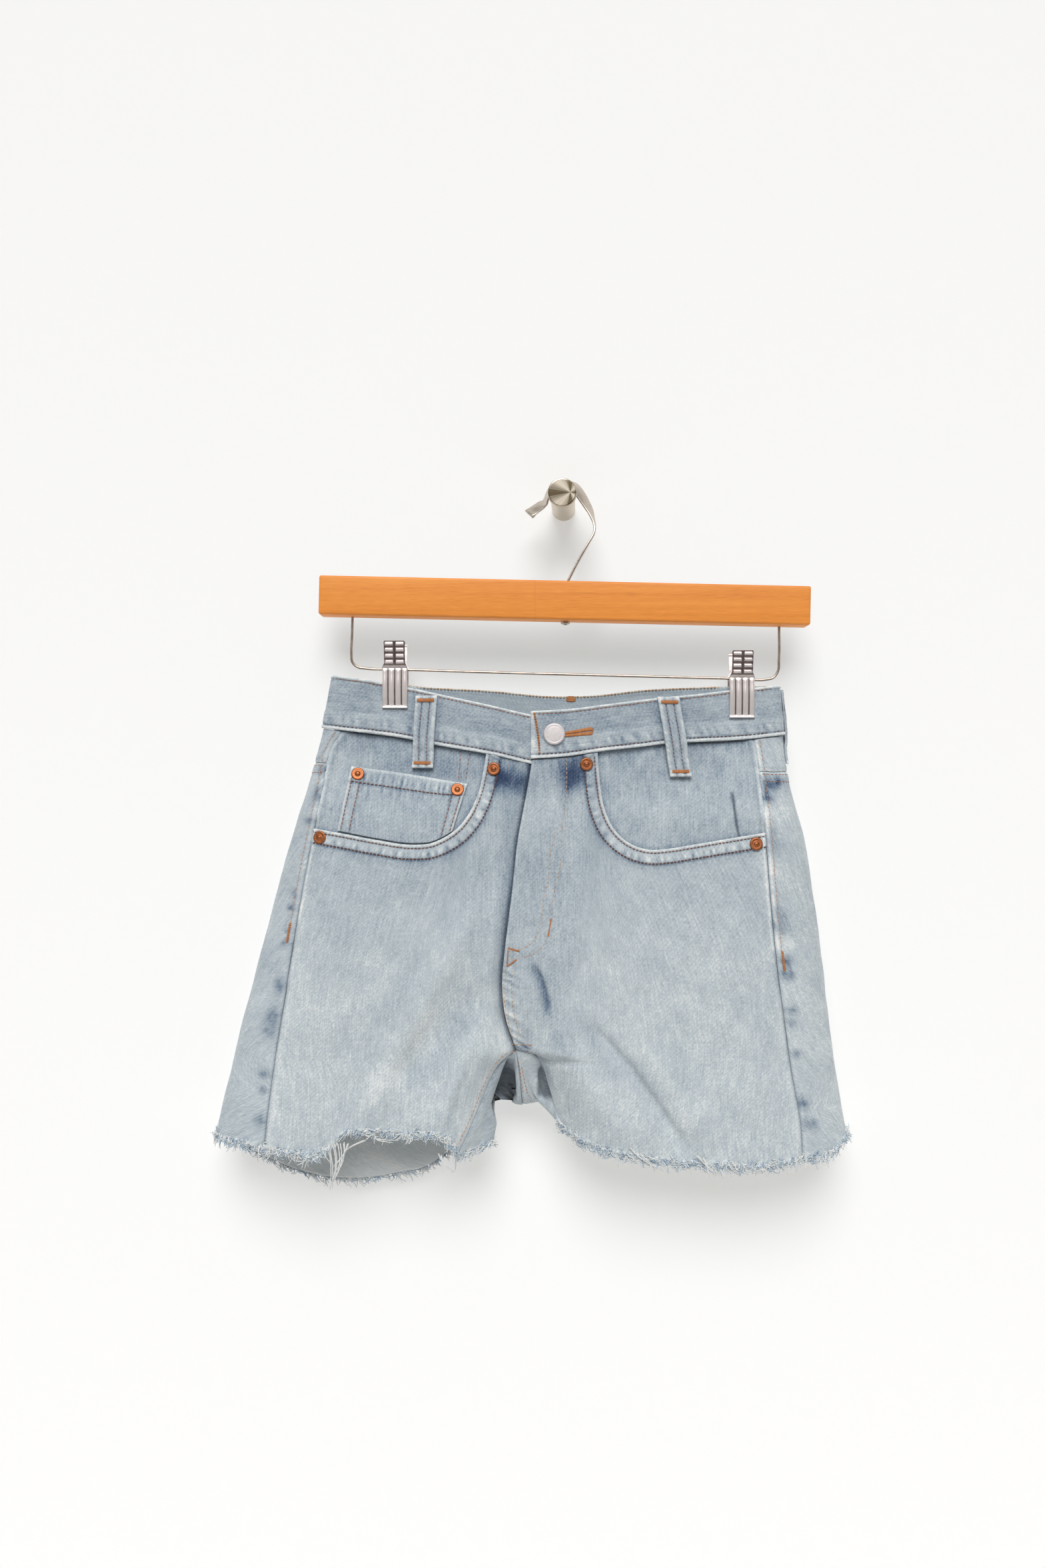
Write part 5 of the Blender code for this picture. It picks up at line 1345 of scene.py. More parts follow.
def front_relief(side, x, z):
    """How far the cloth's detail stands out of the front's smooth face."""
    d, s = nearest(MOUTH_LINE[side], x, z)
    height = folded_edge(d, s, MOUTH_HEM, MOUTH_PUCKERS[side])
    d, s = nearest(SIDE_LINE[side], x, z)
    height -= 0.75 * bump(d, 0.0, 1.3)
    height += 0.35 * bump(d, 3.2, 2.2) * (1 + 0.5 * ripple(s, 13, 3.0))
    d, s = nearest(INSEAM_LINE[side], x, z)
    height -= 0.7 * bump(d, 0.0, 1.1) - 0.45 * bump(d, 5.5, 3.5) * (1 + 0.6 * ripple(s, 11, 4.0))
    d, s = nearest(FLY_LINE, x, z)
    if side == LEFT:
        height -= 0.5 * bump(d, 0.0, 0.9)
        height += 0.25 * bump(d, 3.0, 3.0) * (1 + 0.4 * ripple(s, 21, 5.0))
        d, s = nearest(FLY_STITCH, x, z)
        height -= 0.22 * bump(d, 0.0, 1.1) - 0.15 * ripple(s, 12, 2.0) * bump(d, 0.0, 6.0)
        height += fork_puckers(x, z)
    d, s = nearest(HEM_LINE[side], x, z)
    height += (0.9 * ripple(s, 19, 1.0) + 0.4 * ripple(s, 8, 5.0)) * ease((9 - d) / 9)
    near_band = ease((BAND_FADE[0] - 12 - z) / 30)
    soft = 0.5 * cloud(x, z, 34, 5) + 0.3 * cloud(x, z, 17, 6) + 0.13 * cloud(x, z, 8, 7)
    height += (soft + crease_height(CREASES, x, z)) * near_band
    for x_rivet, z_rivet in (row[1:3] for row in RIVETS):
        height = height * (1 - np.exp(-((np.hypot(x - x_rivet, z - z_rivet) / RIVET_FLAT) ** 4)))
    return height


def front_face(side, x, z, lift=0.0):
    """Points on the front's detailed face, and the smooth face's normals."""
    x, z = np.asarray(x, float), np.asarray(z, float)
    normal = front_normal(x, z)
    return on_front(x, z) + normal * (front_relief(side, x, z) + lift)[..., None], normal


def front_fade(side, x, z):
    """How faded a front is: its worn edges, creases and spots, with painted shade beside the fly's edge,
    along the pocket's hem, in the folds and under the waistband.
    """
    fade = 0.84 + spotted(x, z) + 0.03 * cloud(x, z, 40, 8) + 0.025 * cloud(x, z, 14, 9)
    fade += 0.065 * ease((-290 - z) / 120)
    d, s = nearest(MOUTH_LINE[side], x, z)
    fade += edge_fade(d, s, MOUTH_HEM, MOUTH_PUCKERS[side])
    d, s = nearest(SIDE_LINE[side], x, z)
    above_tack = ease((TACK_Z[side] - z) / -8)
    worn_rim = 0.28 * above_tack * bump(d, 1.9, 1.2) * (1 + 0.4 * ripple(s, 15, 3.0))
    fade -= mix(0.24, 0.10, above_tack) * bump(d, 0.3, 1.0) - worn_rim - 0.06 * bump(d, 3.6, 2.4)
    fade -= (0.16 * np.exp(-(((z + 358) / 14) ** 2)) * bump(d, 0.0, 7.0) if side == LEFT else 0)
    d, s = nearest(INSEAM_LINE[side], x, z)
    fade -= 0.12 * bump(d, 0.3, 1.0) - 0.04 * bump(d, 5, 3)
    d, s = nearest(FLY_LINE, x, z)
    if side == LEFT:
        fade += 0.14 * bump(d, 0.9, 1.1) * (1 + 0.5 * ripple(s, 12, 1.0))
        fade -= 0.05 * ease((24 - d) / 14)
        fade -= 0.04 * bump(nearest(FLY_STITCH, x, z)[0], 0.0, 2.4)
        fade += 0.28 * fork_puckers(x, z)
    else:
        # painted shade in the gap beside the fly's edge, which this front runs under
        fade -= 0.10 * ease((7 - d) / 7) + 0.30 * bump(d, 0.0, 2.2)
    d, s = nearest(HEM_LINE[side], x, z)
    fade += 0.05 * ease((6 - d) / 6) + 0.26 * cloud(s, d, 2.6, 11) * ease((6 - d) / 5)
    return fade + waist_shade(side, x, z)


def waist_shade(side, x, z):
    """The darker, puckered cloth right below the waistband: painted shade under the band's edge, darker
    towards the band, and darker places among its puckers.
    """
    waist = band_low_front[side](x) - z
    puckers = np.clip(-ripple(x, 9, 2), 0, 1) * bump(waist, 5.0, 4.0) * (0.6 + 0.4 * cloud(x, z, 17, 10))
    return -0.14 * ease((6 - waist) / 6) - 0.06 * ease((40 - waist) / 40) - 0.26 * puckers


def spread_stations(*spans):
    """Stations of a grid: (from, to, count) spans joined end to end."""
    parts = [np.linspace(a, b, count + 1)[1:] for a, b, count in spans]
    return np.concatenate([[spans[0][0]], *parts])


FRONT_FINE_COLUMNS = spread_stations((0, 0.03, 8), (0.03, WAIST_SHARE, 26), (WAIST_SHARE, 0.97, 88),
                                     (0.97, 1, 6))
FRONT_FINE_ROWS = spread_stations((0, 0.056, 22), (0.056, FORK_ROW, 92), (FORK_ROW, 0.97, 44), (0.97, 1, 5))


def flat_of(points, start_across):
    """Coordinates in the flat cloth: the length across the warp, and 0 along it."""
    across = lengths(points, 1) + start_across[:, None]
    return np.stack([across, np.zeros_like(across)], -1)


def both_faces(base, normals, height, drop):
    """The outer and inner face of a cloth whose detail stands out of its smooth points, less a drop."""
    return [base + normals * (level - drop)[..., None] for level in (height, under(height))]


def front_panel(side):
    """A front leg's cloth."""
    points, normals, drop = front_grid(side, FRONT_FINE_COLUMNS, FRONT_FINE_ROWS)
    x, z = points[..., 0], points[..., 2]
    base = inset(points)
    outer, inner = both_faces(base, normals, front_relief(side, x, z), drop)
    sign = 1.0 if side == LEFT else -1.0
    flat = flat_of(base, base[:, 0, 0] * sign)
    flat[..., 0] *= sign
    flat[..., 1] = z
    # painted shade in the dark gap beside the fly's edge
    fly_gap_shade = 0.62 * bump(nearest(FLY_LINE, x, z)[0], 0.0, 2.1) if side == RIGHT else 0.0
    fade = front_fade(side, x, z)
    made = cloth(f"front_{side}_cloth", outer, inner, fade, flat, f"front_{side}", grime=fly_gap_shade)
    declare(made, base, ["waistband_cloth"], [f"fringe_front_{side}"])


SEAM_LAP = 1.0  # by which a hip piece laps over the side seam
FACING_POINTS = (110, 56)  # across it and down


def facing_grid(side, across, down):
    """The hip piece's smooth points: the same patch as the solid's, finer."""
    t = np.linspace(0, 1, across)
    inward = 1 if side == RIGHT else -1
    near = mouth(side)(t) + np.stack([8 * inward * (1 - t) ** 0.5, -9 * np.minimum(1, 1.6 * t)], -1)
    near[0, 1] = band_low_front[side](near[0, 0])
    near[-1, 0] = seam_x[side](near[-1, 1])
    z_top = SIDE_TOP_Z[side] - 2.2
    x_far = float(seam_x[side](z_top))
    half = (across + 1) // 2
    along_waist = np.linspace(near[0, 0], x_far, half)
    down_seam = np.linspace(float(band_low_front[side](x_far)), near[-1, 1], across - half + 1)[1:]
    far = np.concatenate([
        np.stack([along_waist, band_low_front[side](along_waist)], -1),
        np.stack([seam_x[side](down_seam) - SEAM_LAP * inward, down_seam], -1),
    ])
    return mix(near[None], far[None], np.linspace(0, 1, down)[:, None, None])


def facing_relief(side, x, z):
    """The height of a hip piece over its level inside the pocket mouth."""
    soft = 0.35 * cloud(x, z, 26, 15) + 0.2 * cloud(x, z, 12, 16) + 0.1 * cloud(x, z, 6, 17)
    d, s = nearest(MOUTH_LINE[side], x, z)
    soft = soft * ease((d - 1) / 8) + 0.25 * bump(d, 0, 3.0)
    clear_of_mouth = ease((d - 4) / 8)
    d, s = nearest(SIDE_LINE[side], x, z)
    soft += (FACING_DROP - 0.1) * ease((8 - d) / 7) * clear_of_mouth
    soft -= 0.6 * bump(d, 0, 1.2) - 0.3 * bump(d, 4, 2.5) * (1 + 0.6 * ripple(s, 12, 2))
    return soft + (crease_height(FACING_CREASES, x, z) if side == LEFT else 0)


def facing_face(side, x, z, lift=0.0):
    """Points of a hip piece's face, and the front's normals there."""
    x, z = np.asarray(x, float), np.asarray(z, float)
    normal = front_normal(x, z)
    return on_front(x, z) + normal * (facing_relief(side, x, z) - FACING_DROP + lift)[..., None], normal


def facing_fade(side, x, z):
    """How faded a hip piece is, with painted shade inside the mouth, under the waistband and in its sharp
    crease.
    """
    fade = 0.715 + 0.06 * cloud(x, z, 22, 18) + 0.05 * cloud(x, z, 9, 19) + 0.03 * cloud(x, z, 4.5, 20)
    d = nearest(MOUTH_LINE[side], x, z)[0]
    fade += 0.03 * bump(d, 22, 14) - 0.14 * bump(d, 0.0, 2.6) + waist_shade(side, x, z)
    d = nearest(SIDE_LINE[side], x, z)[0]
    fade += 0.24 * bump(d, 0.6, 1.5) - 0.12 * bump(d, 3.0, 0.9) + 0.04 * bump(d, 6.0, 2.0)
    if side == LEFT:
        # painted shade in the sharp crease of the left hip piece
        return fade - 0.30 * bump(nearest(SHARP_CREASE, x, z)[0], 0.0, 1.1)
    return fade - 0.13 * np.exp(-(((x + 96) / 26) ** 2) - ((z + 206) / 14) ** 2)


def pocket_facing(side):
    """The hip piece that is seen inside a pocket mouth."""
    grid = facing_grid(side, *FACING_POINTS)
    x, z = grid[..., 0], grid[..., 1]
    base = inset(on_front(x, z), 0.4)
    outer, inner = both_faces(base, front_normal(x, z), facing_relief(side, x, z), FACING_DROP)
    # painted shade in the same sharp crease, towards the grey
    grime = 0.6 * bump(nearest(SHARP_CREASE, x, z)[0], 0.0, 0.9)
    fade = facing_fade(side, x, z)
    made = cloth(f"hip_piece_{side}_cloth", outer, inner, fade, grid, f"pocket_facing_{side}", grime=grime)
    declare(made, base, [f"front_{side}_cloth"])


COIN_HEM = 10.5
COIN_POINTS = (100, 56)
COIN_WIDE, COIN_TALL = 86, 46
COIN_STITCH = (2.4, 8.6)  # distances from the sides


def coin_grid(u, v):
    """x and z on the coin pocket: u across it, v from its top to its foot."""
    lip = MOUTH_LINE[RIGHT]
    foot_x = mix(*COIN_FOOT_X, u)
    foot = np.stack([foot_x, np.interp(foot_x, lip[::-1, 0], lip[::-1, 1]) + 1.3], -1)
    top = path(COIN_TOP)(u)
    return mix(top, foot, v[..., None])


def coin_relief(u, v):
    """x and z on the coin pocket, and how far its detail stands out."""
    x, z = np.moveaxis(coin_grid(u, v), -1, 0)
    side, top = np.minimum(u, 1 - u) * COIN_WIDE, v * COIN_TALL
    height = 0.5 * ease((COIN_STITCH[1] + 2 - side) / 2) - 0.5 * bump(side, 0, 0.7)
    height -= 0.25 * bump(side, COIN_STITCH[0], 0.8) + 0.3 * bump(side, COIN_STITCH[1], 0.9)
    height += 0.5 * ease((COIN_HEM + 1 - top) / 1.6) - 0.5 * bump(top, 0, 0.7)
    height -= 0.4 * bump(top, COIN_HEM, 0.9) - 0.4 * ripple(u * COIN_WIDE, 5.6, 1.4) * bump(top, 6, 3.5)
    height += 0.2 * ripple(z, 9, 2.0) * bump(side, 5, 4) + 0.3 * cloud(x, z, 22, 21)
    return x, z, height * ease((1 - v) / 0.06)


def coin_face(u, v, lift=0.0):
    """Points of the coin pocket's face, and the front's normals there."""
    x, z, height = coin_relief(np.asarray(u, float), np.asarray(v, float))
    normal = front_normal(x, z)
    return on_front(x, z) + normal * (COIN_LEVEL + height + lift)[..., None], normal


def coin_pocket():
    """The small pocket on the right hip piece."""
    u, v = np.meshgrid(*(np.linspace(0, 1, n) for n in COIN_POINTS))
    outer, normals = coin_face(u, v)
    at = coin_grid(u, v)
    x, z = np.moveaxis(at, -1, 0)
    side, top = np.minimum(u, 1 - u) * COIN_WIDE, v * COIN_TALL
    puckers = ripple(u * COIN_WIDE, 5.6, 1.4)
    fade = 0.72 + 0.28 * bump(side, 0.6, 1.4) + 0.28 * bump(top, 0.6, 1.4) + 0.06 * bump(side, 5, 2.4)
    fade -= 0.16 * bump(side, COIN_STITCH[0] + 0.3, 0.7) + 0.16 * bump(side, COIN_STITCH[1] + 0.3, 0.9)
    fade -= 0.20 * bump(top, COIN_HEM + 0.6, 1.2) + 0.42 * np.clip(-puckers, 0, 1) * bump(top, 6.4, 3.0)
    fade += 0.26 * np.clip(puckers, 0, 1) * bump(top, 6.0, 3.0)
    # painted shade below the hem, in the puckers' hollows
    fade -= 0.12 * bump(top, COIN_HEM + 4, 3) * ease(-3 * puckers)
    fade += 0.04 * cloud(x, z, 14, 22) + 0.03 * cloud(x, z, 5, 23)
    base = on_front(x, z)
    made = cloth("coin_pocket_cloth", outer, base + normals * (COIN_LEVEL - CLOTH), fade, at, "coin_pocket")
    declare(made, base, ["hip_piece_right_cloth"])


def sew_front(group, side, line, **how):
    """Stitches along a line of (x, z) on a front."""
    sew(group, *front_face(side, line[:, 0], line[:, 1]), **how)


COIN_CORD = (((-79.0, -192.5), (-80.5, -212.5)), ((-72.2, -192.5), (-75.0, -212.5)))  # beside the inner rivet
FORK_CROSSINGS = (((-41.5, -409.6), (-25.0, -409.2)), ((-41.5, -415.2), (-25.0, -416.4)))
# The fly's bar tacks: start, end, width and tone.
FLY_TACKS = (
    ((-11.4, -315.5), (-13.4, -328.0), 1.5, 0.6),
    ((-43.0, -337.2), (-34.8, -339.6), 1.4, 0.58),
    ((-43.8, -350.8), (-37.0, -346.0), 1.4, 0.55),
    ((-43.0, -339.0), (-43.8, -350.0), 0.8, 0.55),
)


def front_stitches():
    """All stitches and tacks of the fronts."""
    for side, mouth_line in MOUTH_LINE.items():
        for offset, tone, radius in MOUTH_STITCHES:
            line = beside(mouth_line, offset, (0.0, -1.0))[2:-1]
            sew_front(f"pocket_{side}", side, line, pitch=2.7, share=0.94, radius=radius, tone=tone, lift=0.0,
                      seed=3)
    for line in (FLY_STITCH, FLY_STITCH_INNER):
        sew_front("fly", LEFT, line, pitch=3.4, radius=0.34, tone=0.84, lift=0.0, seed=4)
    for offset in (1.5, 7.2):
        line = down_line(lambda z: fly_x(z) + offset, -353.0, -404.0, 40)
        sew_front("fork", LEFT, line, pitch=3.3, radius=0.32, tone=0.8, lift=0.02, seed=5)
    for ends in FORK_CROSSINGS:
        sew_front("fork", LEFT, np.linspace(*ends, 16), radius=0.3, tone=0.74, seed=5)
    line = beside(INSEAM_LINE[RIGHT], 4.2, (-1.0, 0.0))[3:-1]
    sew_front("inseam", RIGHT, line, radius=0.28, tone=0.7, lift=0.04, seed=6)
    coin_stitches()
    for start, end, wide, tone in FLY_TACKS:
        points, normals = front_face(LEFT, *zip(start, end))
        bar_tack("tacks", points[0], points[1], normals[0], wide, 0.5, 0.32, tone)


def coin_stitches():
    """The stitches down the coin pocket's sides and along its hem, and those of its cord on the hip piece."""
    v = np.linspace(0.03, 0.97, 30)
    shares = [offset / COIN_WIDE for offset in COIN_STITCH]
    for u in (*shares, *(1 - share for share in reversed(shares))):
        points, normals = coin_face(np.full_like(v, u), v)
        sew("coin_pocket", points, normals, 3.0, 0.85, 0.4, 0.36, seed=7)
    u = np.linspace(0.02, 0.98, 60)
    points, normals = coin_face(u, np.full_like(u, COIN_HEM / COIN_TALL))
    sew("coin_pocket", points, normals, 3.0, 0.88, 0.48, 0.2, seed=8)
    for ends in COIN_CORD:
        line = np.linspace(*ends, 8)
        points, normals = facing_face(RIGHT, line[:, 0], line[:, 1])
        sew("coin_pocket", points, normals, 3.0, 0.8, 0.28, 0.4, seed=9)


# ---------------------------------------------------------------- back

BACK_FINE_COLUMNS = spread_stations((0, 0.02, 5), (0.02, 0.24, 30), (0.24, 0.72, 38), (0.72, 0.97, 46),
                                    (0.97, 1, 9))
BACK_FIELD = {s: back_field(s, BACK_FINE_COLUMNS) for s in (RIGHT, LEFT)}
SIDE_BLOTCHES = {RIGHT: 3, LEFT: 4}  # seeds of the dark places along the side seams, behind
# Dye that stayed on the strips beside the side seams: z, distance from the seam, the two radii, and the
# change of fading.
SIDE_MARKS = {
    RIGHT: (
        (-205.5, 5.0, 4.5, 5.5, -0.36), (-223.5, 6.0, 5.0, 7.0, -0.26), (-243.5, 8.0, 7.0, 3.5, -0.30),
        (-268.0, 5.0, 5.0, 4.0, -0.10), (-297.5, 8.5, 4.5, 5.0, -0.26), (-307.5, 9.0, 6.0, 3.0, -0.30),
        (-324.0, 9.0, 4.0, 3.0, -0.26), (-334.0, 9.0, 6.0, 3.5, -0.30), (-365.0, 8.5, 5.5, 6.5, -0.30),
        (-388.0, 9.0, 8.5, 9.0, -0.20), (-400.0, 10.0, 6.0, 5.0, -0.24), (-430.5, 9.0, 4.5, 3.5, -0.26),
        (-442.5, 9.0, 4.0, 4.0, -0.24), (-463.5, 8.5, 5.0, 5.0, -0.24), (-350.0, 7.0, 5.0, 9.0, 0.07),
        (-418.0, 7.0, 5.0, 9.0, 0.05),
    ),
    LEFT: (
        (-215.5, 12.0, 13.0, 6.5, -0.46), (-226.0, 6.5, 7.0, 6.0, -0.36), (-250.0, 7.0, 9.0, 6.0, -0.12),
        (-261.0, 9.0, 9.0, 8.0, -0.14), (-313.5, 8.0, 8.0, 6.0, -0.30), (-322.5, 8.0, 8.0, 5.0, -0.26),
        (-346.5, 10.0, 7.0, 5.0, -0.36), (-357.0, 9.0, 6.0, 5.0, -0.42), (-383.5, 9.0, 7.0, 3.0, -0.26),
        (-393.0, 8.0, 5.0, 4.0, -0.22), (-415.5, 7.5, 5.0, 4.0, -0.28), (-452.0, 7.0, 5.0, 5.0, -0.28),
        (-467.0, 10.0, 9.0, 6.0, -0.24), (-237.0, 6.0, 7.0, 5.0, 0.10), (-285.0, 8.0, 9.0, 16.0, 0.05),
        (-335.0, 12.0, 10.0, 5.0, 0.10), (-370.0, 12.0, 10.0, 7.0, 0.05),
    ),
}
# The hollow beside the strap between the legs, and the crease on its other side, pressed in and painted dark
# as shade: the corners of each, as x and z.
HOLLOWS_IN_SHADE = {
    RIGHT: (((-41.3, -420.0), (-53.5, -457.0), (-50.5, -468.0), (-37.5, -452.0), (-40.3, -436.0)), 8.0),
    LEFT: (((-18.4, -428.0), (-21.0, -452.0), (-9.5, -454.0), (-16.0, -432.0)), 4.5),
}


def within(corners, x, z, soft):
    """How far inside a polygon each point lies, from 0 outside to 1, over a soft edge."""
    depth = np.full(np.broadcast(x, z).shape, 1e3)
    middle = np.mean(corners, axis=0)
    for a, b in zip(corners, corners[1:] + corners[:1]):
        out = np.array([b[1] - a[1], a[0] - b[0]]) / math.dist(a, b)
        out = out if out @ (np.array(a) - middle) > 0 else -out
        depth = np.minimum(depth, -((x - a[0]) * out[0] + (z - a[1]) * out[1]))
    return ease(depth / soft + 0.5)


def blotches(s, seed, pitch=(13, 27)):
    """Uneven dark places along a seam, from 0 to 1."""
    draw = random.Random(seed)
    total, at = np.zeros_like(s), 0.0
    while at < s.max() + 30:
        total += draw.uniform(0.35, 1.0) * bump(s, at, draw.uniform(2.5, 5.5))
        at += draw.uniform(*pitch)
    return np.clip(total, 0, 1)


def under_back_pocket(side, x, y, z):
    """1 where the back lies under its patch pocket, 0 outside."""
    beside = ease((BACK_POCKET_HALF[0] - np.abs(x - BACK_POCKET_CENTRE[side])) / 8)
    below = ease((BACK_POCKET_TOP + 4 - z) / 6) * ease((z - BACK_POCKET_TOP + BACK_POCKET_TALL + 24) / 8)
    return beside * below * (y > Y_MID + 4)


BACK_FADE = {RIGHT: 0.81, LEFT: 0.885}
SEAM_RIDGE = {RIGHT: 0.12, LEFT: 0.24}  # how much paler the ridge beside the side seam is, above its tack
# the painted shade in the hollows beside the strap: its strength on each side, and the fading it takes the
# cloth to
HOLLOW_PAINTED_SHADE = {RIGHT: 0.62, LEFT: 0.38}
HOLLOW_SHADE_FADE = 0.62


def back_base(side, first, last, shares):
    """The smooth grid of a back piece between two rows of the back's field, and its normals."""
    rows, points, normals = BACK_FIELD[side]
    columns = BACK_FINE_COLUMNS
    at = mix(first(columns)[None], last(columns)[None], shares[:, None])
    numbers = np.interp(at, rows, np.arange(len(rows)))
    where = np.broadcast_to(np.arange(len(columns), dtype=float), at.shape)
    return inset(sample(points, numbers, where), 0.2), unit(sample(normals, numbers, where))


def back_places(side, grid, is_yoke):
    """How far each point of a back piece is from its edges, and how far along them."""
    at = SimpleNamespace(x=grid[..., 0], y=grid[..., 1], z=grid[..., 2])
    at.across, at.down = lengths(grid, 1), lengths(grid, 0)
    at.from_seat, at.from_side = at.across, at.across[:, -1:] - at.across
    at.from_top, at.from_foot = at.down, at.down[-1:] - at.down
    at.from_yoke_seam = at.from_foot if is_yoke else at.from_top
    at.along_side = np.broadcast_to(at.down[:, -1:] + (0 if is_yoke else 30), at.x.shape)
    at.along_seat = np.broadcast_to(at.down[:, :1], at.x.shape)
    at.forward = ease((Y_MID + 2 - at.y) / 6)
    at.blotches = (1 - at.forward) * blotches(at.along_side, SIDE_BLOTCHES[side])
    at.toward_front = at.y < Y_MID + 12
    return at


def back_relief(side, at, is_yoke):
    """A back piece's height over its smooth grid: seams, puckers, soft folds and the hollow in the shade."""
    height = -0.7 * bump(at.from_side, 0, 1.3)
    height += 0.5 * bump(at.from_side, 5.5, 3.6) * (1 + 0.5 * ripple(at.along_side, 14, 2.0))
    height -= 0.35 * at.blotches * bump(at.from_side, 9.5, 3.0)
    height -= 0.6 * bump(at.from_seat, 0, 1.0)
    height += 0.4 * bump(at.from_seat, 5.0, 4.0) * (1 + 0.5 * ripple(at.along_seat, 12, 1))
    height -= 0.6 * bump(at.from_yoke_seam, 0, 1.1)
    height += 0.4 * bump(at.from_yoke_seam, 4.5, 3.0) * (1 + 0.5 * ripple(at.across, 12, 1))
    round_body = at.x + at.y
    soft = 0.55 * cloud(round_body, at.z, 36, 33)
    soft += 0.3 * cloud(round_body, at.z, 17, 34)
    soft += 0.12 * cloud(round_body, at.z, 8, 35)
    if is_yoke:
        soft = soft * 0.4
    else:
        hem_waves = 0.9 * ripple(at.across, 19, 7.0) + 0.4 * ripple(at.across, 8, 2.0)
        height += hem_waves * ease((9 - at.from_foot) / 9)
        soft = mix(soft, -0.4, under_back_pocket(side, at.x, at.y, at.z))
    clear_of_seams = ease((at.from_side + 1) / 10) * ease((at.from_seat + 1) / 10)
    height += soft * clear_of_seams
    corners, deep = HOLLOWS_IN_SHADE[side]
    height -= deep * within(corners, at.x, at.z, 6.0) * at.toward_front
    return height


def back_fade(side, at, is_yoke):
    """How faded a back piece is, and the painted shade in its hollow beside the strap and between the legs.
    """
    round_body = at.x + at.y
    fade = BACK_FADE[side] + 0.03 * cloud(round_body, at.z, 34, 31) + 0.03 * cloud(round_body, at.z, 13, 32)
    above_tack = ease((TACK_Z[side] - at.z) / -8)
    ridge = mix(0.04, SEAM_RIDGE[side], above_tack)
    fade -= 0.13 * bump(at.from_side, 0.3, 0.9)
    fade += ridge * bump(at.from_side, 1.6, 1.1) * (1 + 0.4 * ripple(at.along_side, 17, 6))
    fade -= 0.26 * at.blotches * bump(at.from_side, 9.5, 3.4)
    fade -= 0.06 * above_tack * bump(at.from_side, 4.6, 1.0)
    for z_mark, off, wide, tall, change in SIDE_MARKS[side]:
        uneven = 1 + 0.5 * cloud(at.from_side, at.z, 3.5, 36)
        reach = ((at.from_side - off + 3) / (0.88 * wide)) ** 2 + ((at.z - z_mark) / (0.88 * tall)) ** 2
        fade += 1.4 * change * uneven * np.exp(-reach) * at.forward
    fade -= 0.10 * bump(at.from_seat, 0.2, 1.0)
    fade += 0.05 * bump(at.from_seat, 4.5, 3.0) * (1 + ripple(at.along_seat, 10, 1))
    fade += 0.12 * bump(at.from_yoke_seam, 0.8, 1.0) * (1 + 0.5 * ripple(at.across, 9, 3))
    fade -= 0.07 * bump(at.from_yoke_seam, 2.6, 0.9)
    fade -= 0.12 * np.clip(ripple(at.across, 13, 5), 0, 1) * bump(at.from_yoke_seam, 5.5, 3.5)
    if is_yoke:
        fade -= 0.12 * ease((9 - at.from_top) / 9)
    else:
        fade += 0.05 * ease((6 - at.from_foot) / 6)
        fade += 0.26 * cloud(at.across, at.from_foot, 2.6, 12) * ease((6 - at.from_foot) / 5)
    # painted shade between the legs, near the fork
    fade -= 0.03 * (at.toward_front * ease((-416 - at.z) / 8) * (np.abs(at.x - FORK[0]) < 24))
    # painted shade in the hollow beside the strap: darker cloth and the grey of painted shade
    shade = within(HOLLOWS_IN_SHADE[side][0], at.x, at.z, 3.0) * at.toward_front
    return mix(fade, HOLLOW_SHADE_FADE, shade), shade * HOLLOW_PAINTED_SHADE[side]


def back_flat(side, grid, across):
    """The piece's flat coordinates: across from the seat line, with a straight side, and z."""
    z = grid[..., 2]
    start, length = grid[:, :1, 0] * (1 if side == LEFT else -1), across[:, -1:]
    end = np.polyval(np.polyfit(z[:, 0], (start + length)[:, 0], 1), z[:, :1])
    return np.stack([mix(start, end, across / length), z], -1)


def back_piece(name, side, first, last, shares, is_yoke=False):
    """A back piece between two rows of the back's field: the object, its grid, its face and its normals."""
    grid, n = back_base(side, first, last, shares)
    at = back_places(side, grid, is_yoke)
    height = back_relief(side, at, is_yoke)
    fade, grime = back_fade(side, at, is_yoke)
    final, inner = grid + n * height[..., None], grid + n * under(height)[..., None]
    flat = back_flat(side, grid, at.across)
    made = cloth(f"{name}_cloth", final, inner, fade, flat, name, 0.92, grime)
    return made, grid, final, n


def back_lines(group, final, n, rows, columns, tone, radius):
    """A stitch line on a back piece, along fractional rows and columns."""
    rows, columns = np.broadcast_arrays(np.asarray(rows, float), np.asarray(columns, float))
    normals = unit(sample(n, rows, columns))
    sew(group, sample(final, rows, columns), normals, 3.1, 0.8, radius, tone, seed=11)


def at_distance(distances, wanted):
    """The fractional number at which each line of distances, rising or falling along axis 1, is wanted."""
    numbers = np.arange(distances.shape[1])
    return np.array([np.interp(wanted, line, numbers) if line[0] < line[-1] else
                     np.interp(wanted, line[::-1], numbers[::-1]) for line in distances])


SEAT_STITCH = {RIGHT: (), LEFT: (1.4, 6.8)}  # from the seat seam: only the left piece shows it
YOKE_STITCH = (2.0, 7.6)
SIDE_STITCH = 4.2


def seat_stitches(side, grid, final, n, rows):
    """The stitches beside the seat seam."""
    across = lengths(grid, 1)
    for offset in SEAT_STITCH[side]:
        back_lines("seat", final, n, rows, at_distance(across[rows], offset), 0.62, 0.3)


def side_stitches(side, grid, final, n):
    """The stitches beside the side seam, above its tack."""
    run = lengths(grid, 1)
    from_side = run[:, -1:] - run[:, ::-1]
    rows = np.array([row for row in range(1, len(run) - 1) if grid[row, -1, 2] > TACK_Z[side]])
    columns = run.shape[1] - 1 - at_distance(from_side[rows], SIDE_STITCH)
    back_lines("side_seams", final, n, rows, columns, 0.72, 0.24)


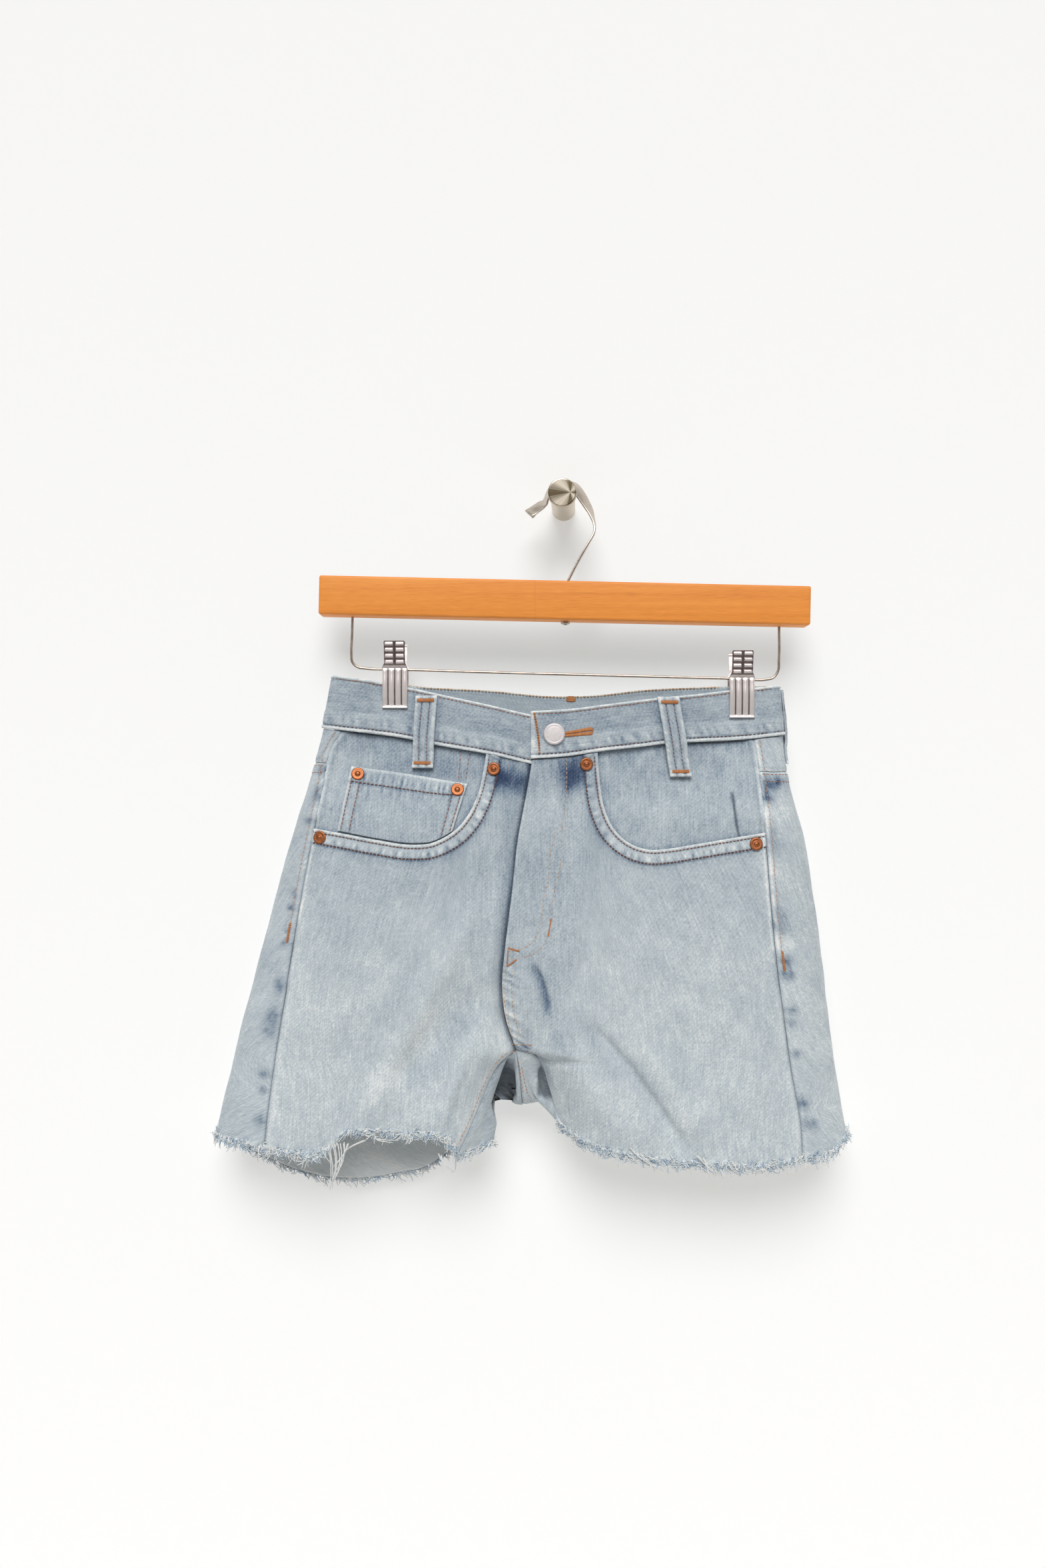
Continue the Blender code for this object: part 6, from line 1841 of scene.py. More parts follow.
def side_tack(side, grid, final, n):
    """The bar tack at the foot of the side seam's stitches."""
    ends_z = (TACK_Z[side] + 3, TACK_Z[side] - 11)
    rows = np.interp(ends_z, grid[::-1, -1, 2], np.arange(len(grid))[::-1])
    run = lengths(grid, 1)[rows.astype(int)]
    columns = grid.shape[1] - 1 - at_distance(run[:, -1:] - run[:, ::-1], 4.6)
    ends, ways = sample(final, rows, columns), sample(n, rows, columns)
    bar_tack("tacks", ends[0], ends[1], ways[0], 2.4, 0.7, 0.36, 0.62)


def backs():
    """The two backs and yokes with their seams, and the patch pockets on them."""
    for side in (RIGHT, LEFT):
        top = YOKE_V["centre"]
        turn, fork = ((v - top) / (1 - top) for v in SEAT_V[side])
        shares = spread_stations((0, 0.03, 5), (0.03, turn, 62), (turn, fork, 28), (fork, 0.97, 28),
                                 (0.97, 1, 5))
        made, *back = back_piece(f"back_{side}", side, yoke_v, np.ones_like, shares)
        grid, final, n = back
        declare(made, grid, ["waistband_cloth"], [f"fringe_back_{side}"])
        fork_row = int(np.interp(fork, shares, np.arange(len(shares))))
        seat_stitches(side, *back, np.arange(0, fork_row + 1, 2))
        columns = np.arange(3, grid.shape[1] - 3, 2)
        down = lengths(grid, 0)
        for offset in YOKE_STITCH:
            back_lines("yoke", final, n, at_distance(down.T[columns], offset), columns, 0.5, 0.3)
        shares = spread_stations((0, 0.8, 26), (0.8, 1, 10))
        made, *yoke = back_piece(f"yoke_{side}", side, np.zeros_like, yoke_v, shares, True)
        declare(made, yoke[0], ["waistband_cloth", f"back_{side}_cloth"])
        seat_stitches(side, *yoke, np.arange(1, yoke[0].shape[0] - 1, 2))
        side_stitches(side, *back)
        side_stitches(side, *yoke)
        side_tack(side, *back)
        back_pocket(side)


POCKET_STITCH = (2.2, 7.6)
POCKET_TOP_STITCH = 11.0


# The half width and the height of a patch pocket to which the distances from its edges refer.
POCKET_EDGE_HALF, POCKET_EDGE_TALL = 61, 128
POCKET_STATIONS = 80


def back_pocket(side):
    """A patch pocket, with two rows of stitches along its edge, one under its mouth, and two tacks."""
    u, v = np.meshgrid(np.linspace(-1, 1, POCKET_STATIONS), np.linspace(0, 1, POCKET_STATIONS))
    lean = 6 if side == RIGHT else -6

    def place(u, v):
        """x and z at a share across and a share down."""
        x = BACK_POCKET_CENTRE[side] + u * mix(*BACK_POCKET_HALF, v) - lean * v
        return x, BACK_POCKET_TOP - v * (BACK_POCKET_TALL + BACK_POCKET_POINT * (1 - np.abs(u)))

    x, z = place(u, v)
    from_side, from_foot = (1 - np.abs(u)) * POCKET_EDGE_HALF, (1 - v) * POCKET_EDGE_TALL
    top, edge = v * POCKET_EDGE_TALL, np.minimum(from_side, from_foot)
    run = np.where(from_side < from_foot, top, u * POCKET_EDGE_HALF)
    height = 0.5 * ease((9 - edge) / 2) - 0.55 * bump(edge, 0, 0.8) - 0.25 * bump(edge, POCKET_STITCH[0], 0.8)
    height -= 0.3 * bump(edge, POCKET_STITCH[1], 0.9) - 0.2 * ripple(run, 9, 1) * bump(edge, 5, 3)
    height += 0.5 * ease((12 - top) / 2) - 0.5 * bump(top, 0, 0.8) - 0.35 * bump(top, POCKET_TOP_STITCH, 0.9)
    height += 0.28 * ripple(x, 9, 2) * bump(top, 6, 4)
    height += 0.4 * cloud(x, z, 30, 41) * ease(edge / 14)
    fade = 0.845 + 0.13 * bump(edge, 0, 1.0) + 0.13 * bump(top, 0, 1.1) - 0.08 * bump(edge, 2.5, 0.8)
    fade -= 0.10 * bump(edge, 7.9, 1.1) + 0.11 * bump(top, 11.3, 1.1)
    fade += 0.03 * cloud(x, z, 18, 42)
    fade -= 0.12 * np.clip(-ripple(run, 9, 1), 0, 1) * bump(edge, 5, 3)
    base, normals = on_back(x, z), back_normal(x, z)
    inner = base + normals * BACK_POCKET_LIFT
    outer = base + normals * (BACK_POCKET_LIFT + CLOTH + height * ease(edge / 1.2 + 0.4))[..., None]
    flat = np.stack([x, z], -1)
    made = cloth(f"back_pocket_{side}_cloth", outer, inner, fade, flat, f"back_pocket_{side}")
    declare(made, base, [f"back_{side}_cloth"])

    def on_face(us, vs):
        """Points on the pocket's face, and the back's normals there."""
        rows, columns = vs * (POCKET_STATIONS - 1), (us + 1) / 2 * (POCKET_STATIONS - 1)
        return sample(outer, rows, columns), back_normal(*place(us, vs))

    for offset in POCKET_STITCH:
        side_at, foot_at = 1 - offset / POCKET_EDGE_HALF, 1 - offset / POCKET_EDGE_TALL
        us = np.concatenate([np.full(30, -side_at), np.linspace(-side_at, side_at, 60), np.full(30, side_at)])
        vs = np.concatenate([np.linspace(0.01, foot_at, 30), np.full(60, foot_at),
                             np.linspace(foot_at, 0.01, 30)])
        sew("back_pockets", *on_face(us, vs), 3.1, 0.8, 0.3, 0.5, seed=12)
    us, vs = np.linspace(-0.98, 0.98, 60), np.full(60, POCKET_TOP_STITCH / POCKET_EDGE_TALL)
    sew("back_pockets", *on_face(us, vs), 3.1, 0.8, 0.32, 0.45, seed=13)
    for end in (-0.93, 0.93):
        ends, normals = on_face(np.full(2, end), np.array([0.01, 0.085]))
        bar_tack("tacks", ends[0], ends[1], normals[0], 3.0, 0.8, 0.34, 0.5)


# ---------------------------------------------------------------- waistband, loops and metal

BAND_SCALE = 5
BAND_END_STITCH = ((-23.6, -162.6), (-22.2, -170.3), (-20.9, -178.0), (-20.0, -186.0), (-19.6, -193.8))
BAND_LEVELS = spread_stations((0, 0.09, 9), (0.09, 0.9, 22), (0.9, 1, 9))
BAND_STITCH = (2.5, 3.0)  # from the top edge and from the foot
BACK_TACK = (6.2, -147.8, -152.6)  # x and the two ends in z of the tack seen inside the back of the band


BAND_SEAM = 14.5  # the top of the ridge over the turned-in waist seam, from the foot
BUTTONHOLE = ((-2.0, 19.0), (-179.3, -176.6))  # x of its two ends and z of them
TO_FRONT = np.array([0.0, -1.0, 0.0])


def band_places(base):
    """How far each point of the band is from its edges, along it and from its over end."""
    at = SimpleNamespace(x=base[..., 0], y=base[..., 1], z=base[..., 2])
    at.run, at.down = lengths(base, 1), lengths(base, 0)
    at.top, at.foot = at.down, at.down[-1:] - at.down
    under_half = np.arange(base.shape[1]) < base.shape[1] // 2
    at.end = np.abs(at.x - BAND_OVER_END) + 100 * under_half
    at.in_front = at.y < Y_MID
    return at


def band_relief(at):
    """The band's height over its smooth face: stitched edges, the seam's ridge and puckers."""
    top, foot, run = at.top, at.foot, at.run
    height = 0.3 * bump(top, 1.2, 0.9) - 0.3 * bump(top, 0, 0.5) - 0.4 * bump(top, BAND_STITCH[0], 0.7)
    height += 0.5 * bump(foot, 1.3, 1.0) - 0.3 * bump(foot, 0, 0.5)
    height -= 0.6 * bump(foot, BAND_STITCH[1], 0.8)
    height += 0.55 * ease((BAND_SEAM - foot) / 2.2) * (1 + 0.35 * ripple(run, 10, 1))
    height += 0.3 * ripple(run, 9, 2) * bump(foot, 7, 4)
    height += 0.15 * ripple(run, 6, 3) * bump(top, 1.2, 1.5)
    height += 0.35 * cloud(run, at.down, 22, 51) + 0.15 * cloud(run, at.down, 9, 52) - 0.2
    return height - 0.5 * bump(at.end, 0, 0.8) * at.in_front


def band_fade(at):
    """How faded the band is: worn edges and puckers, and painted shade beside the loops."""
    top, foot, run, down = at.top, at.foot, at.run, at.down
    fade = 0.655 + 0.05 * cloud(run / 3, down, 9, 53)
    fade += 0.05 * cloud(run, down, 30, 54)
    fade += 0.04 * cloud(run, down, 6, 55)
    fade += 0.43 * bump(top, 0.5, 1.3) * (1 + 0.25 * ripple(run, 11, 1))
    fade -= 0.12 * bump(top, BAND_STITCH[0] + 0.2, 0.7)
    fade += 0.11 * ease((BAND_SEAM - foot) / 3) + 0.10 * bump(foot, 14.0, 1.2)
    fade += 0.36 * bump(foot, 1.1, 1.2)
    fade -= 0.28 * bump(foot, BAND_STITCH[1] + 0.1, 0.7)
    folds = ripple(run, 9, 2)
    fade += (0.20 * np.clip(folds, 0, 1) - 0.36 * np.clip(-folds, 0, 1)) * bump(foot, 7.5, 3.2)
    fade += 0.5 * bump(at.end, 1.0, 1.6) * at.in_front + 0.012 + 0.035 * ease((at.x - 60) / 90)
    # painted shade on the band just beside each loop's edges
    for loop in LOOPS:
        face, x_top, x_foot, z_top, z_foot = loop[1:6]
        loop_x = mix(x_top, x_foot, (at.z - z_top) / (z_foot - z_top))
        beside = np.abs(np.abs(at.x - loop_x) - 10.0)
        fade -= 0.14 * bump(beside, 0, 2.6) * (at.in_front == (face == "front"))
    return fade


def band_stitches(at, outer, inner, n):
    """The band's stitches along both edges, and the rope and the tack inside its back."""
    columns = np.arange(2, outer.shape[1] - 2, 2)
    rows_of_stitches = ((at.top, BAND_STITCH[0], 0.42, 0.3), (at.foot, BAND_STITCH[1], 0.12, 0.4))
    for distances, offset, tone, radius in rows_of_stitches:
        rows = at_distance(distances.T[columns], offset)
        points, normals = sample(outer, rows, columns), unit(sample(n, rows, columns))
        sew("waistband", points, normals, 3.1, 0.82, radius, tone, seed=21)
    behind = columns[at.y[0, columns] > Y_MID + 3]
    points = sample(inner, np.full(len(behind), 1.4), behind)
    normals = -unit(sample(n, np.zeros(len(behind)), behind))
    sew("waistband_inside", points, normals, 2.6, 0.95, 0.85, 0.88, seed=22)
    column = behind[np.argmin(np.abs(at.x[0, behind] - BACK_TACK[0]))]
    rows = np.interp(BACK_TACK[1:], at.z[::-1, column], np.arange(len(at.z))[::-1])
    ends = sample(inner, rows, np.full(2, column))
    bar_tack("waistband_inside", ends[0], ends[1], -n[0, column], 8.0, 0.4, 0.6, 0.6, 0.3)


def on_band_end(x, z):
    """Points just over the over end's outer face, and its normals."""
    x, z = np.asarray(x, float), np.asarray(z, float)
    normal = front_normal(x, z, 4.0)
    return on_front(x, z) + normal * (BAND_OUT + 0.1), normal


def band_end_stitches():
    """The thick stitches down the over end, the buttonhole's two sides and the tack across its far end."""
    end_line = path(BAND_END_STITCH)(np.linspace(0, 1, 24))
    sew("band_end", *on_band_end(end_line[:, 0], end_line[:, 1]), 1.9, 1.05, 0.85, 0.56, seed=23)
    start, end = on_band_end(*BUTTONHOLE)[0]
    for side in (-1, 1):
        up = unit(np.cross(TO_FRONT, end - start)) * side
        bar_tack("buttonhole", start + up * 0.9, end + up * 1.7, (0, -1, 0), (2.0, 3.0), 0.5, 0.5, 0.6, 0.3)
    far_tack = end + np.array([0.2, 0, -1.7]), end + np.array([0.6, 0, 1.7])
    bar_tack("buttonhole", *far_tack, (0, -1, 0), 1.6, 0.6, 0.42, 0.56, 0.45)


def waistband():
    """The band: one strip, its over end lapped on its under end, with all its stitches."""
    base = inset(np.array([band_row(level, BAND_SCALE) for level in BAND_LEVELS]))
    n = ring_normals(base)
    at = band_places(base)
    under_end = 9 * BAND_SCALE
    drop = np.zeros(base.shape[:2])
    drop[:, :under_end] = BAND_DROP * ease((base[:, :under_end, 0] + 38) / 10)
    inner = base + n * (BAND_IN - drop)[..., None]
    outer = base + n * (BAND_OUT - drop + band_relief(at))[..., None]
    flat = np.stack([at.down, at.run], -1)
    lining = 0.60 + 0.25 * bump(at.top, 0, 1.2) - 0.08 * bump(at.top, 3.0, 0.8)
    made = cloth("waistband_cloth", outer, inner, band_fade(at), flat, "waistband", lining)
    declare(made, base, ["clip_right_front_jaw_part", "clip_left_front_jaw_part"])
    band_stitches(at, outer, inner, n)
    band_end_stitches()


LOOP_EDGE, LOOP_STITCH = 8.2, 5.2


LOOP_ROWS, LOOP_COLUMNS = 64, 27
LOOP_LONG = 54  # the length to which the distances along a loop refer
LOOP_TACK_COLUMNS = (3.4, 22.6)


def belt_loop(name, face, x_top, x_foot, z_top, z_foot, clear):
    """A belt loop over the band, with a stitch line along each edge and a tack across each end."""
    u, v = np.meshgrid(np.linspace(-1, 1, LOOP_COLUMNS), np.linspace(0, 1, LOOP_ROWS))
    x, z = mix(x_top, x_foot, v) + u * LOOP_HALF, mix(z_top, z_foot, v)
    if face == "front":
        side = RIGHT if x_top < -26 else LEFT
        points, normals, low = on_front(x, z), front_normal(x, z), band_low_front[side](x)
    else:
        points, normals, low = on_back(x, z), back_normal(x, z), band_low_back(x)
    level = clear + BAND_OUT * ease((z - low + 9) / 7) + LOOP_LIFT * np.sin(math.pi * v) ** 2
    edge, end, s = (1 - np.abs(u)) * LOOP_EDGE, np.minimum(v, 1 - v) * LOOP_LONG, v * LOOP_LONG
    height = LOOP_THICK - 0.6 * bump(edge, 0, 0.8)
    height += 0.35 * bump(edge, 2.2, 1.6)
    height -= 0.45 * bump(edge, LOOP_STITCH, 0.8)
    height += 0.25 * bump(edge, LOOP_EDGE, 1.8) + 0.25 * ripple(s, 6, 1) * bump(edge, 1, 2)
    height += 0.15 * ripple(s, 4.5, 3 + np.sign(u)) * bump(edge, 0.8, 1.4)
    height += 0.5 * ease((5 - end) / 2)
    height -= 0.5 * bump(end, 0, 0.8) - 0.2 * cloud(x, z, 9, 61)
    fade = 0.69 + 0.26 * bump(edge, 1.0, 1.7) * (1 + 0.4 * ripple(s, 7, np.sign(u)))
    fade -= 0.20 * bump(edge, LOOP_STITCH, 0.9)
    fade += 0.24 * bump(end, 0.6, 1.4) + 0.06 * ease((5 - end) / 3)
    fade += 0.06 * cloud(u * LOOP_EDGE, s, 7, 62)
    inner = points + normals * level[..., None]
    outer = points + normals * (level + height)[..., None]
    flat = np.stack([u * LOOP_EDGE, s], -1)
    made = cloth(f"belt_loop_{name}_cloth", outer, inner, fade, flat, f"belt_loop_{name}")
    declare(made, points, ["waistband_cloth"])
    for at in (-1 + LOOP_STITCH / LOOP_EDGE, 1 - LOOP_STITCH / LOOP_EDGE):
        rows = np.linspace(3, LOOP_ROWS - 4, 40)
        columns = np.full(40, (at + 1) / 2 * (LOOP_COLUMNS - 1))
        line, ways = sample(outer, rows, columns), sample(normals, rows, columns)
        sew("belt_loops", line, ways, 2.7, 0.78, 0.3, 0.24, seed=31)
    for row_at in (0.065, 0.94):
        rows, columns = np.full(2, row_at * (LOOP_ROWS - 1)), np.array(LOOP_TACK_COLUMNS)
        ends, ways = sample(outer, rows, columns), sample(normals, rows, columns)
        bar_tack("loop_tacks", ends[0], ends[1], ways[0], 2.9, 0.55, 0.46, 0.57, 0.3)


def lathe(profile, centre, axis, sides):
    """Points and faces of a solid of revolution from (radius, height) pairs, bottom centre first."""
    axis = unit(np.array(axis, float))
    side = unit(np.cross(axis, (0.0, 0.0, 1.0)))
    turn = 2 * math.pi * np.arange(sides) / sides
    circle = np.cos(turn)[:, None] * side + np.sin(turn)[:, None] * np.cross(axis, side)
    verts = np.concatenate([np.array(centre) + axis * height + circle * radius for radius, height in profile])
    quads, ends = tube_faces(len(profile), sides)
    return verts, quads + ends


BUTTON_FINE = ((6.2, 0.0), (7.4, 0.3), (7.95, 0.9), (8.0, 1.6), (7.8, 2.3), (7.3, 2.75), (6.8, 2.95),
               (6.4, 2.85), (6.1, 2.7), (5.7, 2.8), (5.0, 2.92), (4.0, 2.98), (3.0, 3.0), (2.0, 3.03),
               (1.0, 3.05), (0.3, 3.05))
RIVET_FINE = ((4.3, 0.0), (4.75, 0.15), (4.85, 0.5), (4.7, 0.9), (4.25, 1.1), (3.6, 1.1), (2.8, 0.95),
              (2.1, 0.95), (1.75, 1.2), (1.45, 1.7), (1.0, 1.95), (0.3, 2.05))


def button_and_rivets():
    """The fly button and the six rivets, turned round the cloth's own normals."""
    centre, n = on_cloth(*BUTTON_AT, BAND_OUT + GAP + 0.1)
    verts, faces = lathe(BUTTON_FINE, centre, n, 64)
    piece("button_metal_part", verts, faces, WHITE_METAL, ("button",), "button_metal", 50)
    for name, x, z, layer in RIVETS:
        level = GAP + 0.35 + (COIN_LEVEL if layer == "coin" else 0)
        centre, n = on_cloth(x, z, level)
        verts, faces = lathe(RIVET_FINE, centre, n, 40)
        piece(f"rivet_{name}_part", verts, faces, COPPER, (f"rivet_{name}",), "copper", 50)


# ---------------------------------------------------------------- frayed hems

YARN_STATIONS = np.linspace(0, 1, 7)
LONGEST_CURL = 10.0
YARN_SIDES = 3
PER_MM, BACK_PER_MM = 6.5, 4.5  # ravelled threads along the hems


def yarns(lines, radii, tones):
    """Tapered threads: lines is (threads, stations, 3)."""
    count, stations = lines.shape[:2]
    side = unit(np.cross(unit(np.gradient(lines, axis=1)), np.array([0.3, 0.9, 0.2])))
    up = np.cross(unit(np.gradient(lines, axis=1)), side)
    turn = 2 * math.pi * np.arange(YARN_SIDES) / YARN_SIDES
    cosine, sine = np.cos(turn)[None, None, :, None], np.sin(turn)[None, None, :, None]
    taper = (radii[:, None] * (1 - 0.45 * np.linspace(0, 1, stations)[None] ** 2))[..., None, None]
    verts = lines[:, :, None] + taper * (cosine * side[:, :, None] + sine * up[:, :, None])
    faces = faces_of_many(count, stations, YARN_SIDES)
    return verts.reshape(-1, 3), faces, np.repeat(tones, stations * YARN_SIDES)


def ravelled(edge, above, normal, draw, per_mm=PER_MM):
    """Threads that curl at a ravelled hem: their lines, radii and tones."""
    down, along = unit(edge - above), running(edge)
    tangent = unit(np.gradient(edge, axis=0))
    count = int(along[-1] * per_mm)
    s = draw.uniform(1.0, along[-1] - 1.0, count)
    s = s + 0.9 * np.sin(s * 2.1) + 0.8 * np.sin(s * 0.9 + 2)

    def read(field):
        return read_along(field, along, s)[:, None]

    def walked(parts):
        """How far each thread has gone at each station, from its steps."""
        return np.concatenate([np.zeros((count, 1)), np.cumsum(parts[:, :-1] * step, 1)], 1)

    at, fall, n, t = read(edge), unit(read(down)), unit(read(normal)), unit(read(tangent))
    clump = 0.5 + 0.5 * np.sin(s * 0.8 + 3 * np.sin(s * 0.17)) * np.sin(s * 0.41 + 1)
    reach = draw.gamma(3.0, 1.1, count) * (0.6 + 0.8 * clump) + 2.2
    reach = np.minimum(reach, LONGEST_CURL)[:, None]
    heading = draw.normal(0, 0.55, count) + 0.4 * np.sin(s * 0.33 + 2)
    turning = draw.normal(0, 2.6, count) + 0.8 * np.sin(s * 0.6)
    angle = heading[:, None] + turning[:, None] * YARN_STATIONS
    step = reach / (len(YARN_STATIONS) - 1)
    ahead, aside = walked(np.cos(angle)), walked(np.sin(angle))
    root = draw.uniform(-3.6, 0.2, count)[:, None]
    start_off, way_off = draw.uniform(-CLOTH, 0.35, count)[:, None], draw.normal(0.5, 0.6, count)[:, None]
    off = start_off + way_off * YARN_STATIONS**1.2 * 2.2
    off = np.where(root + ahead < 0.4, np.maximum(off, 0.15), off)
    line = at + fall * (root + ahead)[..., None] + t * aside[..., None] + n * off[..., None]
    tones = np.clip(draw.normal(0.74, 0.18, count) + 0.22 * clump, 0.2, 1.05)
    tones = np.where(draw.random(count) < 0.14, draw.uniform(1.0, 1.2, count), tones)
    return line, draw.uniform(0.26, 0.56, count), tones


# Long white weft threads on the fronts: from x, z to x, z, and how far they bow to the right.
LONG_THREADS = (
    (-174.5, -480.5, -171.8, -512.5, 1.5),
    (-171.0, -479.0, -172.4, -510.0, 3.0),
    (-167.5, -478.5, -171.2, -507.0, 3.5),
    (-163.5, -479.0, -171.5, -503.0, 3.5),
    (-160.0, -480.0, -170.6, -497.0, 2.0),
    (-177.5, -482.0, -172.6, -494.0, -1.0),
    (-148.0, -477.0, -161.5, -486.0, -2.5),
    (-93.0, -487.5, -82.5, -502.0, -2.0),
    (47.5, -483.0, 69.8, -498.6, -3.0),
    (54.0, -487.0, 66.5, -497.5, -1.0),
    (76.0, -488.0, 92.8, -502.0, -2.5),
    (95.5, -488.0, 111.5, -503.0, -1.5),
    (99.5, -490.0, 104.5, -502.5, 1.0),
    (118.0, -494.0, 127.0, -503.5, -1.0),
    (-140.0, -476.0, -126.0, -478.5, -2.5),
)


FRINGE_SEED = {RIGHT: 71, LEFT: 72}
LONG_THREAD_RADIUS = 0.42


def long_threads(side, draw):
    """The lines of the long white threads of one leg, two strands each."""
    made = []
    for x0, z0, x1, z1, bow in LONG_THREADS:
        if (x0 < FORK[0]) != (side == RIGHT):
            continue
        for strand in range(2):
            wander = draw.normal(0, 0.7, 4)
            arc = np.sin(math.pi * YARN_STATIONS)
            x = mix(x0 + wander[0], x1 + wander[1], YARN_STATIONS) + bow * arc
            z = mix(z0 + wander[2], z1 + wander[3], YARN_STATIONS)
            y = Y_MID - front_depth(x, np.maximum(z, -482.0)) - 0.9 - 0.8 * arc - 0.3 * strand
            made.append(np.stack([x, y, z], -1))
    return np.array(made)


def fringe_piece(name, lines, radii, tones):
    """A piece of loose yarns at one hem."""
    verts, faces, tone = yarns(lines, radii, tones)
    nodes = (f"hem_fray_{name}",)
    piece(f"fringe_{name}", verts, faces, FRINGE_FINISH, nodes, "loose_threads", fade=tone)


def fringes():
    """The ravelled hems, front and back."""
    for side in (RIGHT, LEFT):
        draw = np.random.default_rng(FRINGE_SEED[side])
        points = front_grid(side, np.linspace(0, 1, 120), np.array([0.0, 0.97, 1.0]))[0]
        normals = front_normal(points[..., 0], points[..., 2])
        lines, radii, tones = ravelled(points[-1], points[-2], normals[-1], draw)
        long = long_threads(side, draw)
        lines = np.concatenate([lines, long])
        radii = np.concatenate([radii, np.full(len(long), LONG_THREAD_RADIUS)])
        tones = np.concatenate([tones, np.full(len(long), 1.0)])
        fringe_piece(f"front_{side}", lines, radii, tones)
        points, normals = BACK_FIELD[side][1:]
        fringe_piece(f"back_{side}", *ravelled(points[-1], points[-5], normals[-1], draw, BACK_PER_MM))


# ---------------------------------------------------------------- hanger and peg


BACKWARD = (0.0, 1.0, 0.0)


def sweep(line, across, sections):
    """Points and faces of a bar along a line. Its sections, one per station, are across and over the line."""
    line = np.asarray(line, float)
    tangent = unit(np.gradient(line, axis=0))
    side = np.broadcast_to(np.asarray(across, float), line.shape)
    side = unit(side - tangent * (side * tangent).sum(1, keepdims=True))
    up = np.cross(tangent, side)
    verts = line[:, None] + side[:, None] * sections[..., :1] + up[:, None] * sections[..., 1:]
    quads, ends = tube_faces(*sections.shape[:2])
    return verts.reshape(-1, 3), quads + ends


def rounded(half_wide, half_high, radius, per_corner=5):
    """The outline of a rectangle with round corners."""
    corners = []
    for sx, sy, first in ((1, 1, 0), (-1, 1, 90), (-1, -1, 180), (1, -1, 270)):
        for k in range(per_corner + 1):
            a = math.radians(first + 90 * k / per_corner)
            corners.append((sx * (half_wide - radius) + radius * math.cos(a),
                            sy * (half_high - radius) + radius * math.sin(a)))
    return np.array(corners)


def ring(radius, sides):
    """The corners of a regular outline."""
    turn = 2 * math.pi * np.arange(sides) / sides
    return radius * np.stack([np.cos(turn), np.sin(turn)], -1)


def hanger_bar():
    """The beech bar, with its ends rounded over."""
    ends = [np.array([x, Y_MID, z]) for x, z in (BAR_LEFT, BAR_RIGHT)]
    length = np.linalg.norm(ends[1] - ends[0])
    turn = np.linspace(0, math.pi / 2, 7)
    edge, drawn_in = BAR_ROUND * (1 - np.cos(turn)), BAR_ROUND * (1 - np.sin(turn))
    at = np.concatenate([edge, np.linspace(edge[-1], length - edge[-1], 40)[1:-1], length - edge[::-1]])
    less = np.concatenate([drawn_in, np.zeros(38), drawn_in[::-1]])
    line = mix(ends[0], ends[1], (at / length)[:, None])
    sections = np.array([rounded(BAR_DEEP / 2 - d, BAR_TALL / 2 - d, max(BAR_ROUND - d, 0.05) + 0.4)
                         for d in less])
    verts, faces = sweep(line, BACKWARD, sections)
    bar = piece("hanger_bar_wood", verts, faces, BEECH, ("hanger_bar",), "beech", 50)
    bar.visible_diffuse = False  # so that its orange doesn't tint the wall


def hanger_wire():
    """The wire frame, from the bar's one end down and along to its other."""
    stations, sides = 200, 14
    line = path(WIRE)(np.linspace(0, 1, stations))
    line = np.stack([line[:, 0], np.full(stations, Y_MID), line[:, 1]], -1)
    sections = np.broadcast_to(ring(WIRE_RADIUS, sides), (stations, sides, 2))
    verts, faces = sweep(line, BACKWARD, sections)
    piece("hanger_wire_steel", verts, faces, WIRE_STEEL, ("hanger_wire",), "wire", 60)


GRIP_RIDGES = (18.4, 13.9, 9.4, 4.9)
jaw_at = {name: smooth([(row[0], row[k + 1]) for row in JAW]) for k, name in enumerate(("opening", "half"))}


def jaw_relief(rise, u):
    """A jaw's ridges and flutes, and the painted light on them: painted shade in the hollows, painted
    highlights on the ridges, the flutes and the lip.
    """
    ridges = sum(np.exp(-(((rise - at) / 1.25) ** 4)) for at in GRIP_RIDGES)
    pads = ease((np.abs(u) - 0.06) / 0.1) * ease((0.96 - np.abs(u)) / 0.1)
    upper = ease((rise - 2.2) / 1.0)
    flutes = (0.5 - 0.5 * np.cos(4 * math.pi * (u * 0.93 + 1) / 2 * 2)) ** 0.7
    lower = ease((0.5 - rise) / 1.5) * ease((rise + 28.3) / 2.0)
    lip = np.exp(-(((rise + 29.0) / 0.8) ** 2))
    height = 0.95 * ridges * pads * upper + 0.75 * flutes * lower + 0.5 * lip
    painted_light = mix(0.6, 0.1 + 0.9 * ease(flutes / 0.45), lower)
    painted_light = mix(painted_light, 0.14 + 0.56 * ridges * pads, upper) + 0.4 * lip
    return height, painted_light


SPRING_TURNS, SPRING_STATIONS = 6, 150
SPRING_WIRE, SPRING_SIDES = 0.7, 8
WIRE_SLOPE = -0.026  # the wire's fall from the photo's left to its right, at the clips


